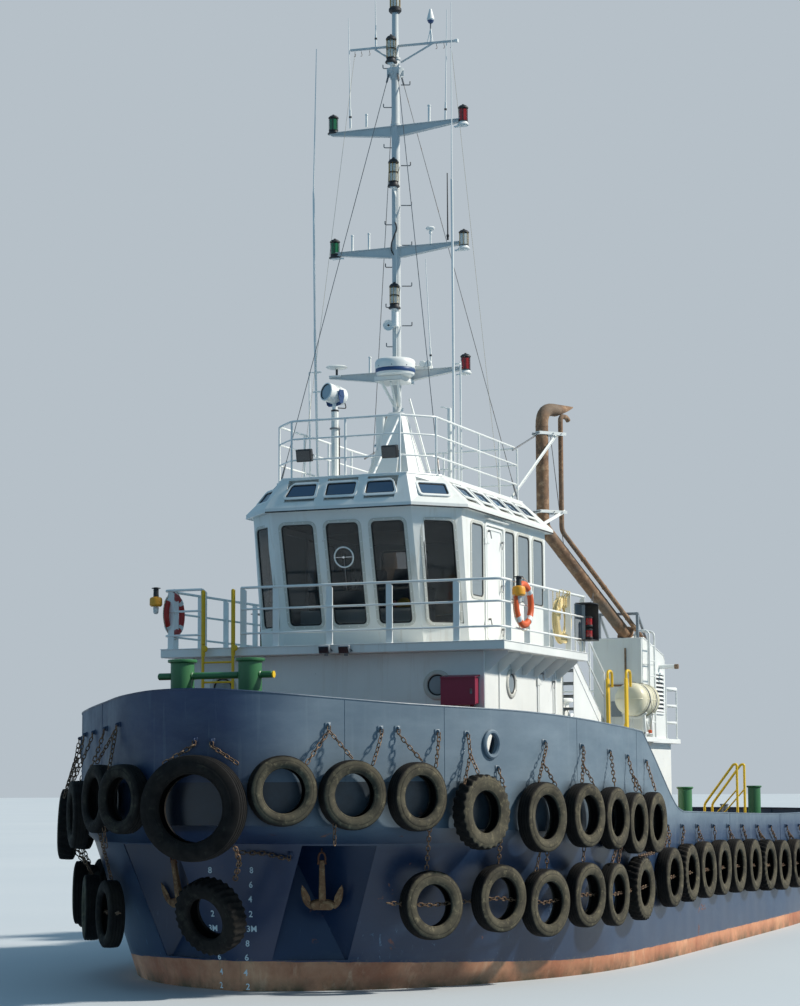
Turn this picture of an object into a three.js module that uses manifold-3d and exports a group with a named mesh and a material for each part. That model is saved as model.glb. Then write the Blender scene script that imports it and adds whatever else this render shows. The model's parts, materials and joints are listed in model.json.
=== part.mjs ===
// Harbour tug, 24.5 m over the hull, afloat. Millimetres. +X is the bow, +Y is port, +Z is up.
// The origin is on the centreline at the waterline, halfway along the hull.
import * as THREE from 'three';
import { mergeVertices } from 'three/addons/utils/BufferGeometryUtils.js';
import Module from 'manifold-3d';

const wasm = await Module();
wasm.setup();

// ---------------------------------------------------------------- driving dimensions
const GAP = 0.3;               // clearance between pieces that touch
const FORE_DECK = 2900;        // height of the raised fore deck above the waterline
const MAIN_DECK = 1300;        // height of the main deck
const BREAK_X = 3300;          // where the fore deck drops to the main deck
const BULWARK_T = 60;          // bulwark with its cap and stays taken together
const BOAT_DECK = 3660;        // top of the boat deck, aft of the wheelhouse
const BRIDGE_DECK = 4987;      // top of the bridge deck
const BRIDGE_DECK_T = 130;
const HOUSE_WALL = 80;
const EAVE_Z = 7145;           // lower edge of the wheelhouse roof
const ROOF_Z = 7690;           // top of the wheelhouse roof
const ROOF_RAIL_Z = 8662;
const BRIDGE_RAIL_H = 978;
const MAST_X = 4350;
const MAST_TOP = 16450;
const PROP_X = -10300, PROP_Y = 1350, PROP_Z = -1850, PROP_R = 780;
const RUDDER_X = -11150;

// ---------------------------------------------------------------- materials
const paint = (color, roughness = 0.5, metalness = 0.1) => ({ color, roughness, metalness });
const NAVY = paint(0x24405f), WHITE = paint(0xe6e8e6), GREEN = paint(0x2e6b45), YELLOW = paint(0xd8b012);
const RUBBER = paint(0x24221f, 0.9, 0), RUST = paint(0x7b4a33, 0.85, 0.2), BRONZE = paint(0xa07a3c, 0.35, 0.9);
const DECK = paint(0x5c2f28, 0.8), CREAM = paint(0xe8e2cf, 0.45, 0), DARK = paint(0x2b2d2f, 0.6), STEEL = paint(0x6d7073, 0.5, 0.6), LINE = paint(0xd9bd78, 0.9, 0);

const group = new THREE.Group();

// ---------------------------------------------------------------- making solids
function toSolid(geometry) {
  const g = geometry.index ? geometry.toNonIndexed() : geometry.clone();
  const bare = new THREE.BufferGeometry().setAttribute('position', g.getAttribute('position'));
  const m = mergeVertices(bare, 1e-3);
  return new wasm.Manifold(new wasm.Mesh({
    numProp: 3, vertProperties: new Float32Array(m.attributes.position.array), triVerts: new Uint32Array(m.index.array),
  }));
}
function toGeometry(solid) {
  const mesh = solid.getMesh();
  const n = mesh.numProp, count = mesh.vertProperties.length / n;
  const p = new Float32Array(count * 3);
  for (let i = 0; i < count; i++) for (let k = 0; k < 3; k++) p[i * 3 + k] = mesh.vertProperties[i * n + k];
  const g = new THREE.BufferGeometry();
  g.setAttribute('position', new THREE.BufferAttribute(p, 3));
  g.setIndex(new THREE.BufferAttribute(new Uint32Array(mesh.triVerts), 1));
  g.computeVertexNormals();
  return g;
}
const join = (...parts) => parts.flat().reduce((a, b) => a.add(b));
const cut = (a, ...tools) => tools.flat().reduce((s, t) => s.subtract(t), a);

function fromTriangles(tris) {                       // tris: flat list of points [x, y, z]
  let volume = 0;
  for (let i = 0; i < tris.length; i += 3) {
    const [a, b, c] = [tris[i], tris[i + 1], tris[i + 2]];
    volume += a[0] * (b[1] * c[2] - b[2] * c[1]) - a[1] * (b[0] * c[2] - b[2] * c[0]) + a[2] * (b[0] * c[1] - b[1] * c[0]);
  }
  const flat = [];
  for (let i = 0; i < tris.length; i += 3) {
    const t = volume > 0 ? [0, 1, 2] : [0, 2, 1];
    for (const k of t) flat.push(...tris[i + k]);
  }
  return toSolid(new THREE.BufferGeometry().setAttribute('position', new THREE.BufferAttribute(new Float32Array(flat), 3)));
}
function box(x0, x1, y0, y1, z0, z1) {
  return toSolid(new THREE.BoxGeometry(x1 - x0, y1 - y0, z1 - z0).translate((x0 + x1) / 2, (y0 + y1) / 2, (z0 + z1) / 2));
}
// Box of size dx, dy, dz centred at c, turned about Z by angle (radians), then tilted about its own Y.
function turnedBox(c, dx, dy, dz, angle, tilt = 0) {
  return toSolid(new THREE.BoxGeometry(dx, dy, dz).rotateY(tilt).rotateZ(angle).translate(...c));
}
function rod(p, q, r, n = 6, r2 = r) {
  const a = new THREE.Vector3(...p), b = new THREE.Vector3(...q), d = b.clone().sub(a);
  const g = new THREE.CylinderGeometry(r2, r, d.length(), n);
  g.applyQuaternion(new THREE.Quaternion().setFromUnitVectors(new THREE.Vector3(0, 1, 0), d.clone().normalize()));
  return toSolid(g.translate(...a.add(b).multiplyScalar(0.5).toArray()));
}
const path = (points, r, n = 6) => points.slice(1).map((q, i) => rod(points[i], q, r, n));
function outline(points, height, place) {            // closed outline in its own XY, raised by height
  const s = new THREE.Shape(points.map(([x, y]) => new THREE.Vector2(x, y)));
  return toSolid(place(new THREE.ExtrudeGeometry(s, { depth: height, bevelEnabled: false })));
}
const prismZ = (points, z0, z1) => outline(points, z1 - z0, (g) => g.translate(0, 0, z0));
const prismY = (points, y0, y1) => outline(points, y1 - y0, (g) => g.rotateX(Math.PI / 2).translate(0, y1, 0)); // points are (x, z)
// Loft between closed rings of the same number of points, capped by fans of strips across.
function loft(rings, strips) {
  const n = rings[0].length, tris = [];
  for (let k = 0; k + 1 < rings.length; k++) for (let i = 0; i < n; i++) {
    const j = (i + 1) % n, a = rings[k][i], b = rings[k][j], c = rings[k + 1][j], d = rings[k + 1][i];
    tris.push(a, b, c, a, c, d);
  }
  const cap = (ring, flip) => {
    for (let i = 0; i < strips.length; i++) {
      const [a, b, c] = strips[i].map((v) => ring[v]);
      if (flip) tris.push(a, c, b); else tris.push(a, b, c);
    }
  };
  cap(rings[0], true);
  cap(rings[rings.length - 1], false);
  return fromTriangles(tris);
}
// Port half outline (from the bow on the centreline to the stern on the centreline) mirrored to a ring.
function mirrored(half) {
  const last = half.length - 1;
  return half.concat(half.slice(1, last).reverse().map(([x, y, z]) => [x, -y, z]));
}
function stripsAcross(halfCount) {                   // ring made by mirrored(): strips between port i and starboard i
  const last = halfCount - 1, ringLength = 2 * halfCount - 2;
  const star = (i) => (i === 0 ? 0 : i === last ? last : ringLength - i);
  const out = [];
  for (let i = 0; i < last; i++) {
    const a = i, b = i + 1, c = star(i + 1), d = star(i);
    if (b !== c) out.push([a, b, c]);
    if (a !== d) out.push([a, c, d]);
  }
  return out;
}
// Wall of thickness t inside a plan path. Rows: x, y, bottom, top.
function wall(rows, t) {
  const normals = rows.map((_, i) => {
    const a = rows[Math.max(i - 1, 0)], b = rows[Math.min(i + 1, rows.length - 1)];
    const d = new THREE.Vector2(b[0] - a[0], b[1] - a[1]).normalize();
    return [d.y, -d.x];
  });
  const quads = rows.map(([x, y, z0, z1], i) => {
    const [nx, ny] = normals[i];
    return [[x, y, z0], [x, y, z1], [x - nx * t, y - ny * t, z1], [x - nx * t, y - ny * t, z0]];
  });
  const tris = [];
  for (let i = 0; i + 1 < quads.length; i++) for (let k = 0; k < 4; k++) {
    const a = quads[i][k], b = quads[i][(k + 1) % 4], c = quads[i + 1][(k + 1) % 4], d = quads[i + 1][k];
    tris.push(a, b, c, a, c, d);
  }
  const [p, q] = [quads[0], quads[quads.length - 1]];
  tris.push(p[0], p[2], p[1], p[0], p[3], p[2], q[0], q[1], q[2], q[0], q[2], q[3]);
  return fromTriangles(tris);
}
const mirrorY = (solid) => solid.mirror([0, 1, 0]);
function add(name, solid, look) {
  const mesh = new THREE.Mesh(toGeometry(solid), new THREE.MeshStandardMaterial(look));
  mesh.name = name;
  group.add(mesh);
}
const addPair = (name, solid, look) => { add(`${name}_port`, solid, look); add(`${name}_starboard`, mirrorY(solid), look); };

// ---------------------------------------------------------------- hull form
// Columns: upper plan x y | knuckle x y (z 2040) | waterline x y | chine x y z | bottom x y z
const HULL = [
  [12180, 0, 10400, 0, 10350, 0, 10050, 0, -900, 9300, 0, -2160],
  [12060, 520, 10480, 550, 10220, 350, 9900, 200, -900, 9150, 60, -2160],
  [11790, 1050, 10450, 1110, 9950, 1000, 9500, 680, -900, 8700, 150, -2180],
  [11090, 1780, 10200, 1880, 9500, 1680, 8900, 1200, -900, 8000, 300, -2200],
  [10310, 2480, 9750, 2500, 8950, 2220, 8200, 1700, -900, 7200, 500, -2230],
  [9460, 3060, 9050, 3050, 8330, 2680, 7400, 2200, -900, 6400, 800, -2260],
  [8550, 3440, 8200, 3450, 7500, 3130, 6500, 2700, -900, 5500, 1150, -2300],
  [7600, 3720, 7350, 3720, 6700, 3480, 5600, 3080, -900, 4600, 1500, -2330],
  [6630, 3900, 6450, 3900, 5900, 3720, 4700, 3380, -900, 3700, 1800, -2360],
  [5140, 4020, 5100, 4020, 4700, 3920, 3800, 3620, -900, 2600, 2100, -2400],
  [BREAK_X, 4050, BREAK_X, 4050, BREAK_X, 4010, 2300, 3780, -900, 1000, 2300, -2400],
  [0, 4050, 0, 0, 0, 4050, 0, 3850, -900, -1500, 2300, -2400],
  [-3300, 4050, 0, 0, -3300, 4050, -3300, 3850, -950, -3500, 2200, -2350],
  [-6500, 4050, 0, 0, -6500, 4030, -6300, 3750, -900, -5500, 1900, -2250],
  [-9300, 4000, 0, 0, -9200, 3900, -8800, 3500, -700, -7300, 1400, -2000],
  [-11000, 3850, 0, 0, -10800, 3700, -10300, 3200, -450, -8600, 900, -1600],
  [-12000, 3300, 0, 0, -11800, 3150, -11300, 2700, -350, -9500, 500, -1200],
  [-12200, 2600, 0, 0, -12050, 2500, -11500, 2200, -350, -9800, 300, -1100],
  [-12250, 0, 0, 0, -12100, 0, -11550, 0, -350, -9850, 0, -1100],
];
const FORE = 11;                                     // rows that the raised fore body takes
const MIX = MAIN_DECK / 2040;                        // main deck level between waterline and knuckle
const atMainDeck = HULL.map((r, i) => (i < FORE
  ? [r[4] + (r[2] - r[4]) * MIX, r[5] + (r[3] - r[5]) * MIX, MAIN_DECK] : [r[0], r[1], MAIN_DECK]));
const lowerHull = loft([
  mirrored(HULL.map((r) => [r[9], r[10], r[11]])),
  mirrored(HULL.map((r) => [r[6], r[7], r[8]])),
  mirrored(HULL.map((r) => [r[4], r[5], 0])),
  mirrored(atMainDeck),
], stripsAcross(HULL.length));
function foreRing(pick) {                            // ring of the fore body, closed straight across at the break
  const half = HULL.slice(0, FORE).map(pick);
  return half.concat(half.slice(1).reverse().map(([x, y, z]) => [x, -y, z]));
}
const foreStrips = (() => {
  const out = [], n = FORE, len = 2 * n - 1;
  for (let i = 0; i + 1 < n; i++) {
    const s = (k) => (k === 0 ? 0 : len - k);
    out.push([i, i + 1, s(i + 1)]);
    if (i > 0) out.push([i, s(i + 1), s(i)]);
  }
  return out;
})();
const SHELF = [2330, 2330, 2320, 2300, 2270, 2240, 2200, 2160, 2120, 2090, 2060];
const foreBody = loft([
  foreRing((r, i) => [...atMainDeck[i].slice(0, 2), MAIN_DECK]),
  foreRing((r) => [r[2], r[3], 2040]),
  foreRing((r, i) => [r[0], r[1], SHELF[i]]),
  foreRing((r) => [r[0], r[1], FORE_DECK]),
], foreStrips);
const skeg = prismY([[8900, -2150], [7500, -2450], [-8300, -2900], [-8600, -2900], [-8900, -1400], [-5000, -1900], [6000, -2100]], -110, 110);
const shaftTube = join(rod([-6600, PROP_Y, PROP_Z + 60], [PROP_X + 330, PROP_Y, PROP_Z], 150, 10),
  turnedBox([PROP_X + 520, PROP_Y, (PROP_Z - 600) / 2], 260, 70, 1250, 0));
// Anchor recess in the flare: forward edge, valley and after edge at its foot and at its ceiling.
const POCKET = [[430, [10261, 442], [9800, 1350], [9836, 1412]], [2020, [10448, 984], [9752, 455], [10116, 1972]]];
const pocket = loft(POCKET.map(([z, f, v, a]) => [f, v, a, [a[0] + 1128, a[1] + 420], [f[0] + 1128, f[1] + 420]].map(([x, y]) => [x, y, z])), [[0, 1, 2], [0, 2, 3], [0, 3, 4]]);
const pads = [box(-9700, -9300, -200, 200, MAIN_DECK - 10, MAIN_DECK + 20), box(8000, 8300, 1100, 1400, FORE_DECK - 10, FORE_DECK + 20)];
const hull = cut(join(lowerHull, foreBody, skeg, shaftTube, mirrorY(shaftTube), pads), pocket, mirrorY(pocket));
add('hull', hull, NAVY);

// ---------------------------------------------------------------- bulwarks
const BOW_TOP = [4160, 4150, 4110, 4040, 3975, 3935, 3910, 3870, 3820, 3745];
const bowHalf = HULL.slice(0, 10).map((r, i) => [r[0], r[1], FORE_DECK + GAP, BOW_TOP[i]]).concat([
  [3950, 4035, FORE_DECK + GAP, 3680], [BREAK_X, 4050, FORE_DECK + GAP, 3264], [BREAK_X - GAP, 4050, MAIN_DECK + GAP, 3264],
  [2340, 4050, MAIN_DECK + GAP, 2650], [1950, 4050, MAIN_DECK + GAP, 2450], [1600, 4050, MAIN_DECK + GAP, 2380]]);
const bowPath = bowHalf.slice(1).reverse().map(([x, y, a, b]) => [x, -y, a, b]).concat(bowHalf);
const CHOCK = { x: 8960, y: 3285, z: 3415 };
const chock = (s) => toSolid(new THREE.CylinderGeometry(145, 145, 900, 16).scale(1, 1, 1.2)
  .rotateZ(-s * 0.38).translate(CHOCK.x, s * CHOCK.y, CHOCK.z));
add('bulwark_bow', cut(wall(bowPath, BULWARK_T), chock(1), chock(-1)), NAVY);
// Columns: x, y, top
const aftHalf = [[1600 - GAP, 4050, 2380], [0, 4050, 2345], [-3300, 4050, 2275], [-6500, 4050, 2230], [-9300, 4000, 2230], [-11000, 3850, 2240],
  [-12000, 3300, 2260], [-12200, 2600, 2270], [-12250, 0, 2280]].map(([x, y, z]) => [x, y, MAIN_DECK + GAP, z]);
const freeingPorts = [-400, -3600, -6800].flatMap((x) => [1, -1].map((s) => box(x, x + 700, Math.min(s * 3900, s * 4200), Math.max(s * 3900, s * 4200), MAIN_DECK - 50, MAIN_DECK + 180)));
add('bulwark_aft', cut(wall(aftHalf.concat(aftHalf.slice(0, -1).reverse().map(([x, y, a, b]) => [x, -y, a, b])), BULWARK_T), freeingPorts), NAVY);

// ---------------------------------------------------------------- tyre fenders
// A tyre's half section, closed: radius and height from its middle plane.
function tyre(radius, width) {
  const r = radius, w = width / 2;
  const profile = [[r * 0.52, -w * 0.8], [r, -w], [r, w], [r * 0.52, w * 0.8], [r * 0.52, -w * 0.8]];
  return new THREE.LatheGeometry(profile.map(([a, b]) => new THREE.Vector2(a, b)), 10);
}
// Tyre hung flat against the side: centre c, heading of its axis in plan, lean of its axis up or down.
function hung(c, radius, width, heading, lean = 0) {
  return toSolid(tyre(radius, width).rotateZ(-Math.PI / 2).rotateY(-lean).rotateZ(heading).translate(...c));
}
function planAt(x, table) {                          // y and outward heading of a plan curve at x
  for (let i = 0; i + 1 < table.length; i++) {
    const [a, b] = [table[i], table[i + 1]];
    if (x <= a[0] && x >= b[0]) {
      const t = (a[0] - x) / (a[0] - b[0] || 1);
      return [a[1] + (b[1] - a[1]) * t, Math.atan2(a[0] - b[0], b[1] - a[1])];
    }
  }
  return [table[table.length - 1][1], Math.PI / 2];
}
const UPPER = HULL.map((r) => [r[0], r[1]]);
// Columns: x, y, z, radius, width
const TYRES_UPPER = [[11800, 1300, 2780, 480, 240], [11100, 2020, 2720, 480, 240], [10360, 2670, 2690, 480, 240], [9440, 3270, 2470, 530, 250],
  [8170, 3740, 2380, 510, 240], [7020, 4010, 2390, 480, 240], [5870, 4140, 2330, 480, 240], [4950, 4200, 2240, 480, 240], [3910, 4215, 2230, 490, 240]];
const TYRES_LOWER = [[9860, 2670, 1200, 480, 240], [8920, 3330, 1260, 480, 240], [8030, 3720, 1160, 490, 240], [7010, 4000, 1230, 480, 240],
  [5930, 4150, 1190, 480, 240], [4730, 4220, 1230, 500, 250]];
const TYRES_MAIN = [[2950, 1330], [1850, 1360], [730, 1370], [-370, 1370], [-1480, 1360], [-2700, 1330], [-3900, 1290], [-5150, 1250], [-6400, 1240], [-7650, 1240], [-8850, 1240]];
function headingOf(x, y) {                           // outward heading of the side at a point near it
  let best = [1e9, 0];
  for (let i = 0; i + 1 < UPPER.length; i++) {
    const [a, b] = [UPPER[i], UPPER[i + 1]], dx = b[0] - a[0], dy = b[1] - a[1];
    const t = Math.min(1, Math.max(0, ((x - a[0]) * dx + (y - a[1]) * dy) / (dx * dx + dy * dy)));
    const d = Math.hypot(x - a[0] - t * dx, y - a[1] - t * dy);
    if (d < best[0]) best = [d, Math.atan2(-dx, dy)];
  }
  return best[1];
}
const hangers = [];
const rowOfTyres = (rows) => rows.map(([x, y, z, r, w]) => hung([x, y, z], r, w, headingOf(x, y)));
// Chain line behind a row: short straight bars from tyre to tyre, and one up or down between two tyres.
const chain = (rows, r = 28) => path(rows.map(([x, y, z]) => [x, y, z]), r, 3);
const bowTyres = (upper, lower) => join(rowOfTyres(upper), rowOfTyres(lower), chain(upper), chain(lower), rod(lower[0].slice(0, 3), upper[2].slice(0, 3), 28, 3));
add('fenders_bow_port', bowTyres(TYRES_UPPER, TYRES_LOWER), RUBBER);
// The starboard bow's own first tyres, written for port and mirrored. Columns as above.
const UPPER_STARBOARD = [[12050, 950, 2680, 480, 240], [11480, 1640, 2680, 480, 240], [10600, 2470, 2450, 490, 240], [9440, 3290, 2290, 530, 250]].concat(TYRES_UPPER.slice(4));
const LOWER_STARBOARD = [[10750, 1850, 1060, 480, 240], [9950, 2600, 1100, 480, 240]].concat(TYRES_LOWER.slice(1));
add('fenders_bow_starboard', mirrorY(bowTyres(UPPER_STARBOARD, LOWER_STARBOARD)), RUBBER);
const mainRows = TYRES_MAIN.map(([x, z]) => [x, 4215, z, 490, 240]);
const mainTyres = join(mainRows.map(([x, y, z, r, w]) => hung([x, y, z], r, w, Math.PI / 2)), chain([mainRows[0], mainRows[4], mainRows[10]]));
addPair('fenders_side', mainTyres, RUBBER);
add('fenders_centre', join(hung([12400, 290, 2560], 710, 420, 0.12), hung([11500, 100, 1100], 530, 330, -0.24, -0.32),
  rod([12250, 260, 2000], [11550, 110, 1500], 40, 5)), RUBBER);
const STERN_TYRES = [[-12430, 2000], [-12440, 700], [-12440, -700], [-12430, -2000]];
add('fenders_stern', join(STERN_TYRES.map(([x, y]) => hung([x, y, 1300], 490, 240, Math.PI)), chain([STERN_TYRES[0], STERN_TYRES[3]].map(([x, y]) => [x, y, 1300]))), RUBBER);

// ---------------------------------------------------------------- deckhouse on the fore deck
const DH = { x0: 2000, x1: 7000, y: 2450, step: 3100, ya: 1950, z0: FORE_DECK + GAP, z1: BRIDGE_DECK - BRIDGE_DECK_T - GAP };
const T = HOUSE_WALL;
const porthole = (x, y, z, axis) => {
  const g = new THREE.CylinderGeometry(150, 150, 400, 16);
  return toSolid((axis === 'x' ? g.rotateZ(Math.PI / 2) : g).translate(x, y, z));
};
add('deckhouse_front', cut(box(DH.x1 - T, DH.x1, -DH.y, DH.y, DH.z0, DH.z1), porthole(DH.x1, 1700, 4350, 'x'), porthole(DH.x1, -1920, 4370, 'x')), WHITE);
const HOUSE_DOOR = { x0: 3600, x1: 4400, z0: 3060, z1: 4700 };
const doorHole = (d, y0, y1) => box(d.x0, d.x1, y0, y1, d.z0, d.z1);
const sidePanel = cut(join(box(DH.step, DH.x1 - T - GAP, DH.y - T, DH.y, DH.z0, DH.z1),
  box(DH.step, DH.step + T, DH.ya, DH.y, DH.z0, DH.z1)), porthole(5760, DH.y, 4400, 'y'), doorHole(HOUSE_DOOR, DH.y - 200, DH.y + 100));
addPair('deckhouse_side', sidePanel, WHITE);
add('deckhouse_aft', join(box(DH.x0, DH.x0 + T, -DH.ya + GAP, DH.ya - GAP, DH.z0, DH.z1),
  box(DH.x0, DH.step + T, DH.ya - T - GAP, DH.ya - GAP, DH.z0, DH.z1), box(DH.x0, DH.step + T, -DH.ya + GAP, -DH.ya + T + GAP, DH.z0, DH.z1)), WHITE);
const DOOR_GAP = 8;
const hingedDoor = (d, y0, y1) => box(d.x0 + DOOR_GAP, d.x1 - DOOR_GAP, y0, y1, d.z0 + DOOR_GAP, d.z1 - DOOR_GAP);
addPair('deckhouse_door', hingedDoor(HOUSE_DOOR, DH.y - 55, DH.y - 5), WHITE);

add('bridge_deck', prismZ([[7290, -2883], [7290, 2883], [DH.step, 2883], [DH.step, 1980], [1900, 1980], [1900, -1980], [DH.step, -1980], [DH.step, -2883]],
  BRIDGE_DECK - BRIDGE_DECK_T, BRIDGE_DECK), WHITE);

// ---------------------------------------------------------------- wheelhouse
// Outer plan, port half: bottom x, top x, y. The front leans forward.
const WH = [[6260, 6780, 1195], [5820, 6160, 1795], [2000, 2000, 1795]];
const whRing = (z, k, inset) => {
  const half = [[WH[0][k] - inset, WH[0][2] - inset * 0.42], [WH[1][k] - inset * 0.42, WH[1][2] - inset], [WH[2][k] + inset, WH[2][2] - inset]];
  return half.map(([x, y]) => [x, y, z]).concat(half.slice().reverse().map(([x, y]) => [x, -y, z]));
};
const WALL = 70, z0 = BRIDGE_DECK + GAP, z1 = EAVE_Z - GAP;
const hexStrips = [[0, 1, 4], [0, 4, 5], [1, 2, 3], [1, 3, 4]];
const lean = (z) => (z - z0) / (z1 - z0);
const ringAt = (z, inset) => whRing(0, 1, inset).map(([x1, y]) => [x1, y, z]).map(([x1, y], i) => {
  const xb = whRing(0, 0, inset)[i][0];
  return [xb + (x1 - xb) * lean(z), y, z];
});
const whShell = loft([ringAt(z0, 0), ringAt(z1, 0)], hexStrips).subtract(loft([ringAt(z0 - 200, WALL), ringAt(z1 + 200, WALL)], hexStrips));
// Front of the wheelhouse: ahead of a plane through the leaning corner between chamfer and side.
const frontCut = (g) => prismY([[5820 + g, z0 - 100], [8000, z0 - 100], [8000, z1 + 100], [6160 + g, z1 + 100]], -3000, 3000);
const halfFront = frontCut(0), halfBack = frontCut(-GAP);
const FRONT_WINDOWS = [-770, 0, 770];
const windowsFront = FRONT_WINDOWS.map((y) => box(6100, 7100, y - 288, y + 288, 5350, 6950));
// The chamfer's window leans forward as much as the front does.
const LEAN = 430 / (EAVE_Z - BRIDGE_DECK);
const chamferWindow = (s) => toSolid(new THREE.BoxGeometry(700, 540, 1600).rotateZ(s * 0.81)
  .applyMatrix4(new THREE.Matrix4().makeShear(0, 0, 0, 0, LEAN, 0)).translate(6220, s * 1500, 6150));
add('wheelhouse_front', cut(whShell.intersect(halfFront), windowsFront, chamferWindow(1), chamferWindow(-1)), WHITE);
const rest = whShell.subtract(halfBack);
const WH_DOOR = { x0: 4220, x1: 5020, z0: 5120, z1: 6990 };
// Side windows, columns: x0, x1, z0, z1
const SIDE_WINDOWS = [[5170, 5720, 5800, 6980], [3640, 4130, 5850, 6990], [2860, 3470, 5850, 6990], [2130, 2680, 5850, 6990]];
const sideCuts = (s) => [...SIDE_WINDOWS.map(([a, b, c, d]) => box(a, b, Math.min(s * 1600, s * 1900), Math.max(s * 1600, s * 1900), c, d)),
  box(WH_DOOR.x0, WH_DOOR.x1, Math.min(s * 1600, s * 1900), Math.max(s * 1600, s * 1900), WH_DOOR.z0, WH_DOOR.z1)];
const aftBand = box(1900, 2000 + WALL + GAP, -1724, 1724, z0 - 100, z1 + 100);
const sideBody = (s) => cut(rest.intersect(box(1900, 7000, s > 0 ? 10 : -2500, s > 0 ? 2500 : -10, z0 - 100, z1 + 100)),
  box(1900, 2000 + WALL + GAP, -1725 - GAP, 1725 + GAP, z0 - 100, z1 + 100), sideCuts(s));
add('wheelhouse_side_port', sideBody(1), WHITE);
add('wheelhouse_side_starboard', sideBody(-1), WHITE);
add('wheelhouse_aft', cut(box(2000, 2000 + WALL, -1725 + 0, 1725 - 0, z0, z1), box(1900, 2200, 350, 1250, 5850, 6950), box(1900, 2200, -1250, -350, 5850, 6950)), WHITE);
addPair('wheelhouse_door', hingedDoor(WH_DOOR, 1795 - 55, 1795 - 5), WHITE);

// Roof: a visor that slopes out to the eave, hollow below, with its skylights cut.
const roofRing = (z, fx, fy, cx, cy, ax) => [[fx, fy, z], [cx, cy, z], [ax, cy, z], [ax, -cy, z], [cx, -cy, z], [fx, -fy, z]];
const roofStrips = [[0, 1, 4], [0, 4, 5], [1, 2, 3], [1, 3, 4]];
const roofOuter = loft([roofRing(EAVE_Z, 6903, 1243, 6184, 1917, 1900), roofRing(EAVE_Z + 55, 6903, 1243, 6184, 1917, 1900), roofRing(ROOF_Z, 6630, 1060, 6040, 1420, 2100)], roofStrips);
const roofInner = loft([roofRing(EAVE_Z - 50, 6700, 1160, 6080, 1720, 2075), roofRing(EAVE_Z + 1, 6700, 1160, 6080, 1720, 2075), roofRing(ROOF_Z - 90, 6480, 990, 5940, 1290, 2230)], roofStrips);
const skylights = [-680, 0, 680].map((y) => turnedBox([6750, y, 7470], 500, 520, 250, 0, 0.45))
  .concat([1, -1].map((s) => turnedBox([6480, s * 1480, 7470], 500, 500, 250, s * 0.8, 0.45)))
  .concat([5660, 4870, 4100, 3400, 2660].flatMap((x) => [1, -1].map((s) => turnedBox([x, s * 1710, 7470], 500, 540, 250, s * Math.PI / 2, 0.45))));
const LIGHT = { x: 6400, y: -250, z: 9040 };
const lightPost = rod([LIGHT.x, LIGHT.y, ROOF_Z - 20], [LIGHT.x, LIGHT.y, 8760], 60, 10);
add('wheelhouse_roof', join(cut(roofOuter.subtract(roofInner), skylights), lightPost, box(2850, 3150, 450, 750, ROOF_Z - 5, ROOF_Z + 20)), WHITE);

add('helm_console', join(box(5250, 5750, -1000, 1000, BRIDGE_DECK + GAP, 5950), box(3650, 4200, -260, 260, BRIDGE_DECK + GAP, 5480),
  box(3650, 3760, -240, 240, 5400, 6150), box(3750, 5300, -60, 60, BRIDGE_DECK + GAP, BRIDGE_DECK + 60)), DARK);

// ---------------------------------------------------------------- rails
// Rail with three bars along a path of post feet; z0 is the deck under it.
function rails(feet, z, heights, r = 24) {
  const posts = feet.map(([x, y]) => rod([x, y, z + GAP], [x, y, z + Math.max(...heights) + r * 0.8], r, 4));
  const bars = heights.flatMap((h) => path(feet.map(([x, y]) => [x, y, z + h]), r * 0.8, 4));
  return join(posts, bars);
}
const BAR_HEIGHTS = [220, 600, BRIDGE_RAIL_H - 20];
const RX = 7240, RY = 2840;
add('bridge_railing_port', rails([[RX, -1630], [RX, -1000], [RX, -50], [RX, 950], [RX, 1950], [RX, RY], [6100, RY], [5100, RY], [4100, RY], [3160, RY]], BRIDGE_DECK, BAR_HEIGHTS), WHITE);
add('bridge_railing_starboard', rails([[RX, -2180], [RX, -RY], [6100, -RY], [5100, -RY], [4100, -RY], [3160, -RY]], BRIDGE_DECK, BAR_HEIGHTS), WHITE);
const roofFeet = [[6570, 930], [6100, 1360], [5100, 1360], [4100, 1360], [3100, 1360], [2160, 1360]];
const roofLoop = roofFeet.slice().reverse().map(([x, y]) => [x, -y]).concat([[6570, 0]], roofFeet, [[2160, 0]], [[2160, -1360]]);
add('roof_railing', rails(roofLoop, ROOF_Z, [300, 640, ROOF_RAIL_Z - ROOF_Z - 20]), WHITE);

// Coil of line hung inside the port rail. Its section, closed: radius and height along Y.
const COIL = { x: 4060, y: 2750, z: 5490, inner: 232, outer: 398, half: 52 };
add('heaving_line', toSolid(new THREE.LatheGeometry([[COIL.inner, -COIL.half], [COIL.outer, -COIL.half], [COIL.outer, COIL.half], [COIL.inner, COIL.half], [COIL.inner, -COIL.half]]
  .map(([a, b]) => new THREE.Vector2(a, b)), 20).translate(COIL.x, COIL.y, COIL.z)), LINE);

// ---------------------------------------------------------------- mast and what stands on the roof
const pedestal = loft([
  [[MAST_X + 480, 420, ROOF_Z + GAP], [MAST_X - 480, 420, ROOF_Z + GAP], [MAST_X - 480, -420, ROOF_Z + GAP], [MAST_X + 480, -420, ROOF_Z + GAP]],
  [[MAST_X + 100, 100, 9000], [MAST_X - 100, 100, 9000], [MAST_X - 100, -100, 9000], [MAST_X + 100, -100, 9000]]], [[0, 1, 2], [0, 2, 3]]);
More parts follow.
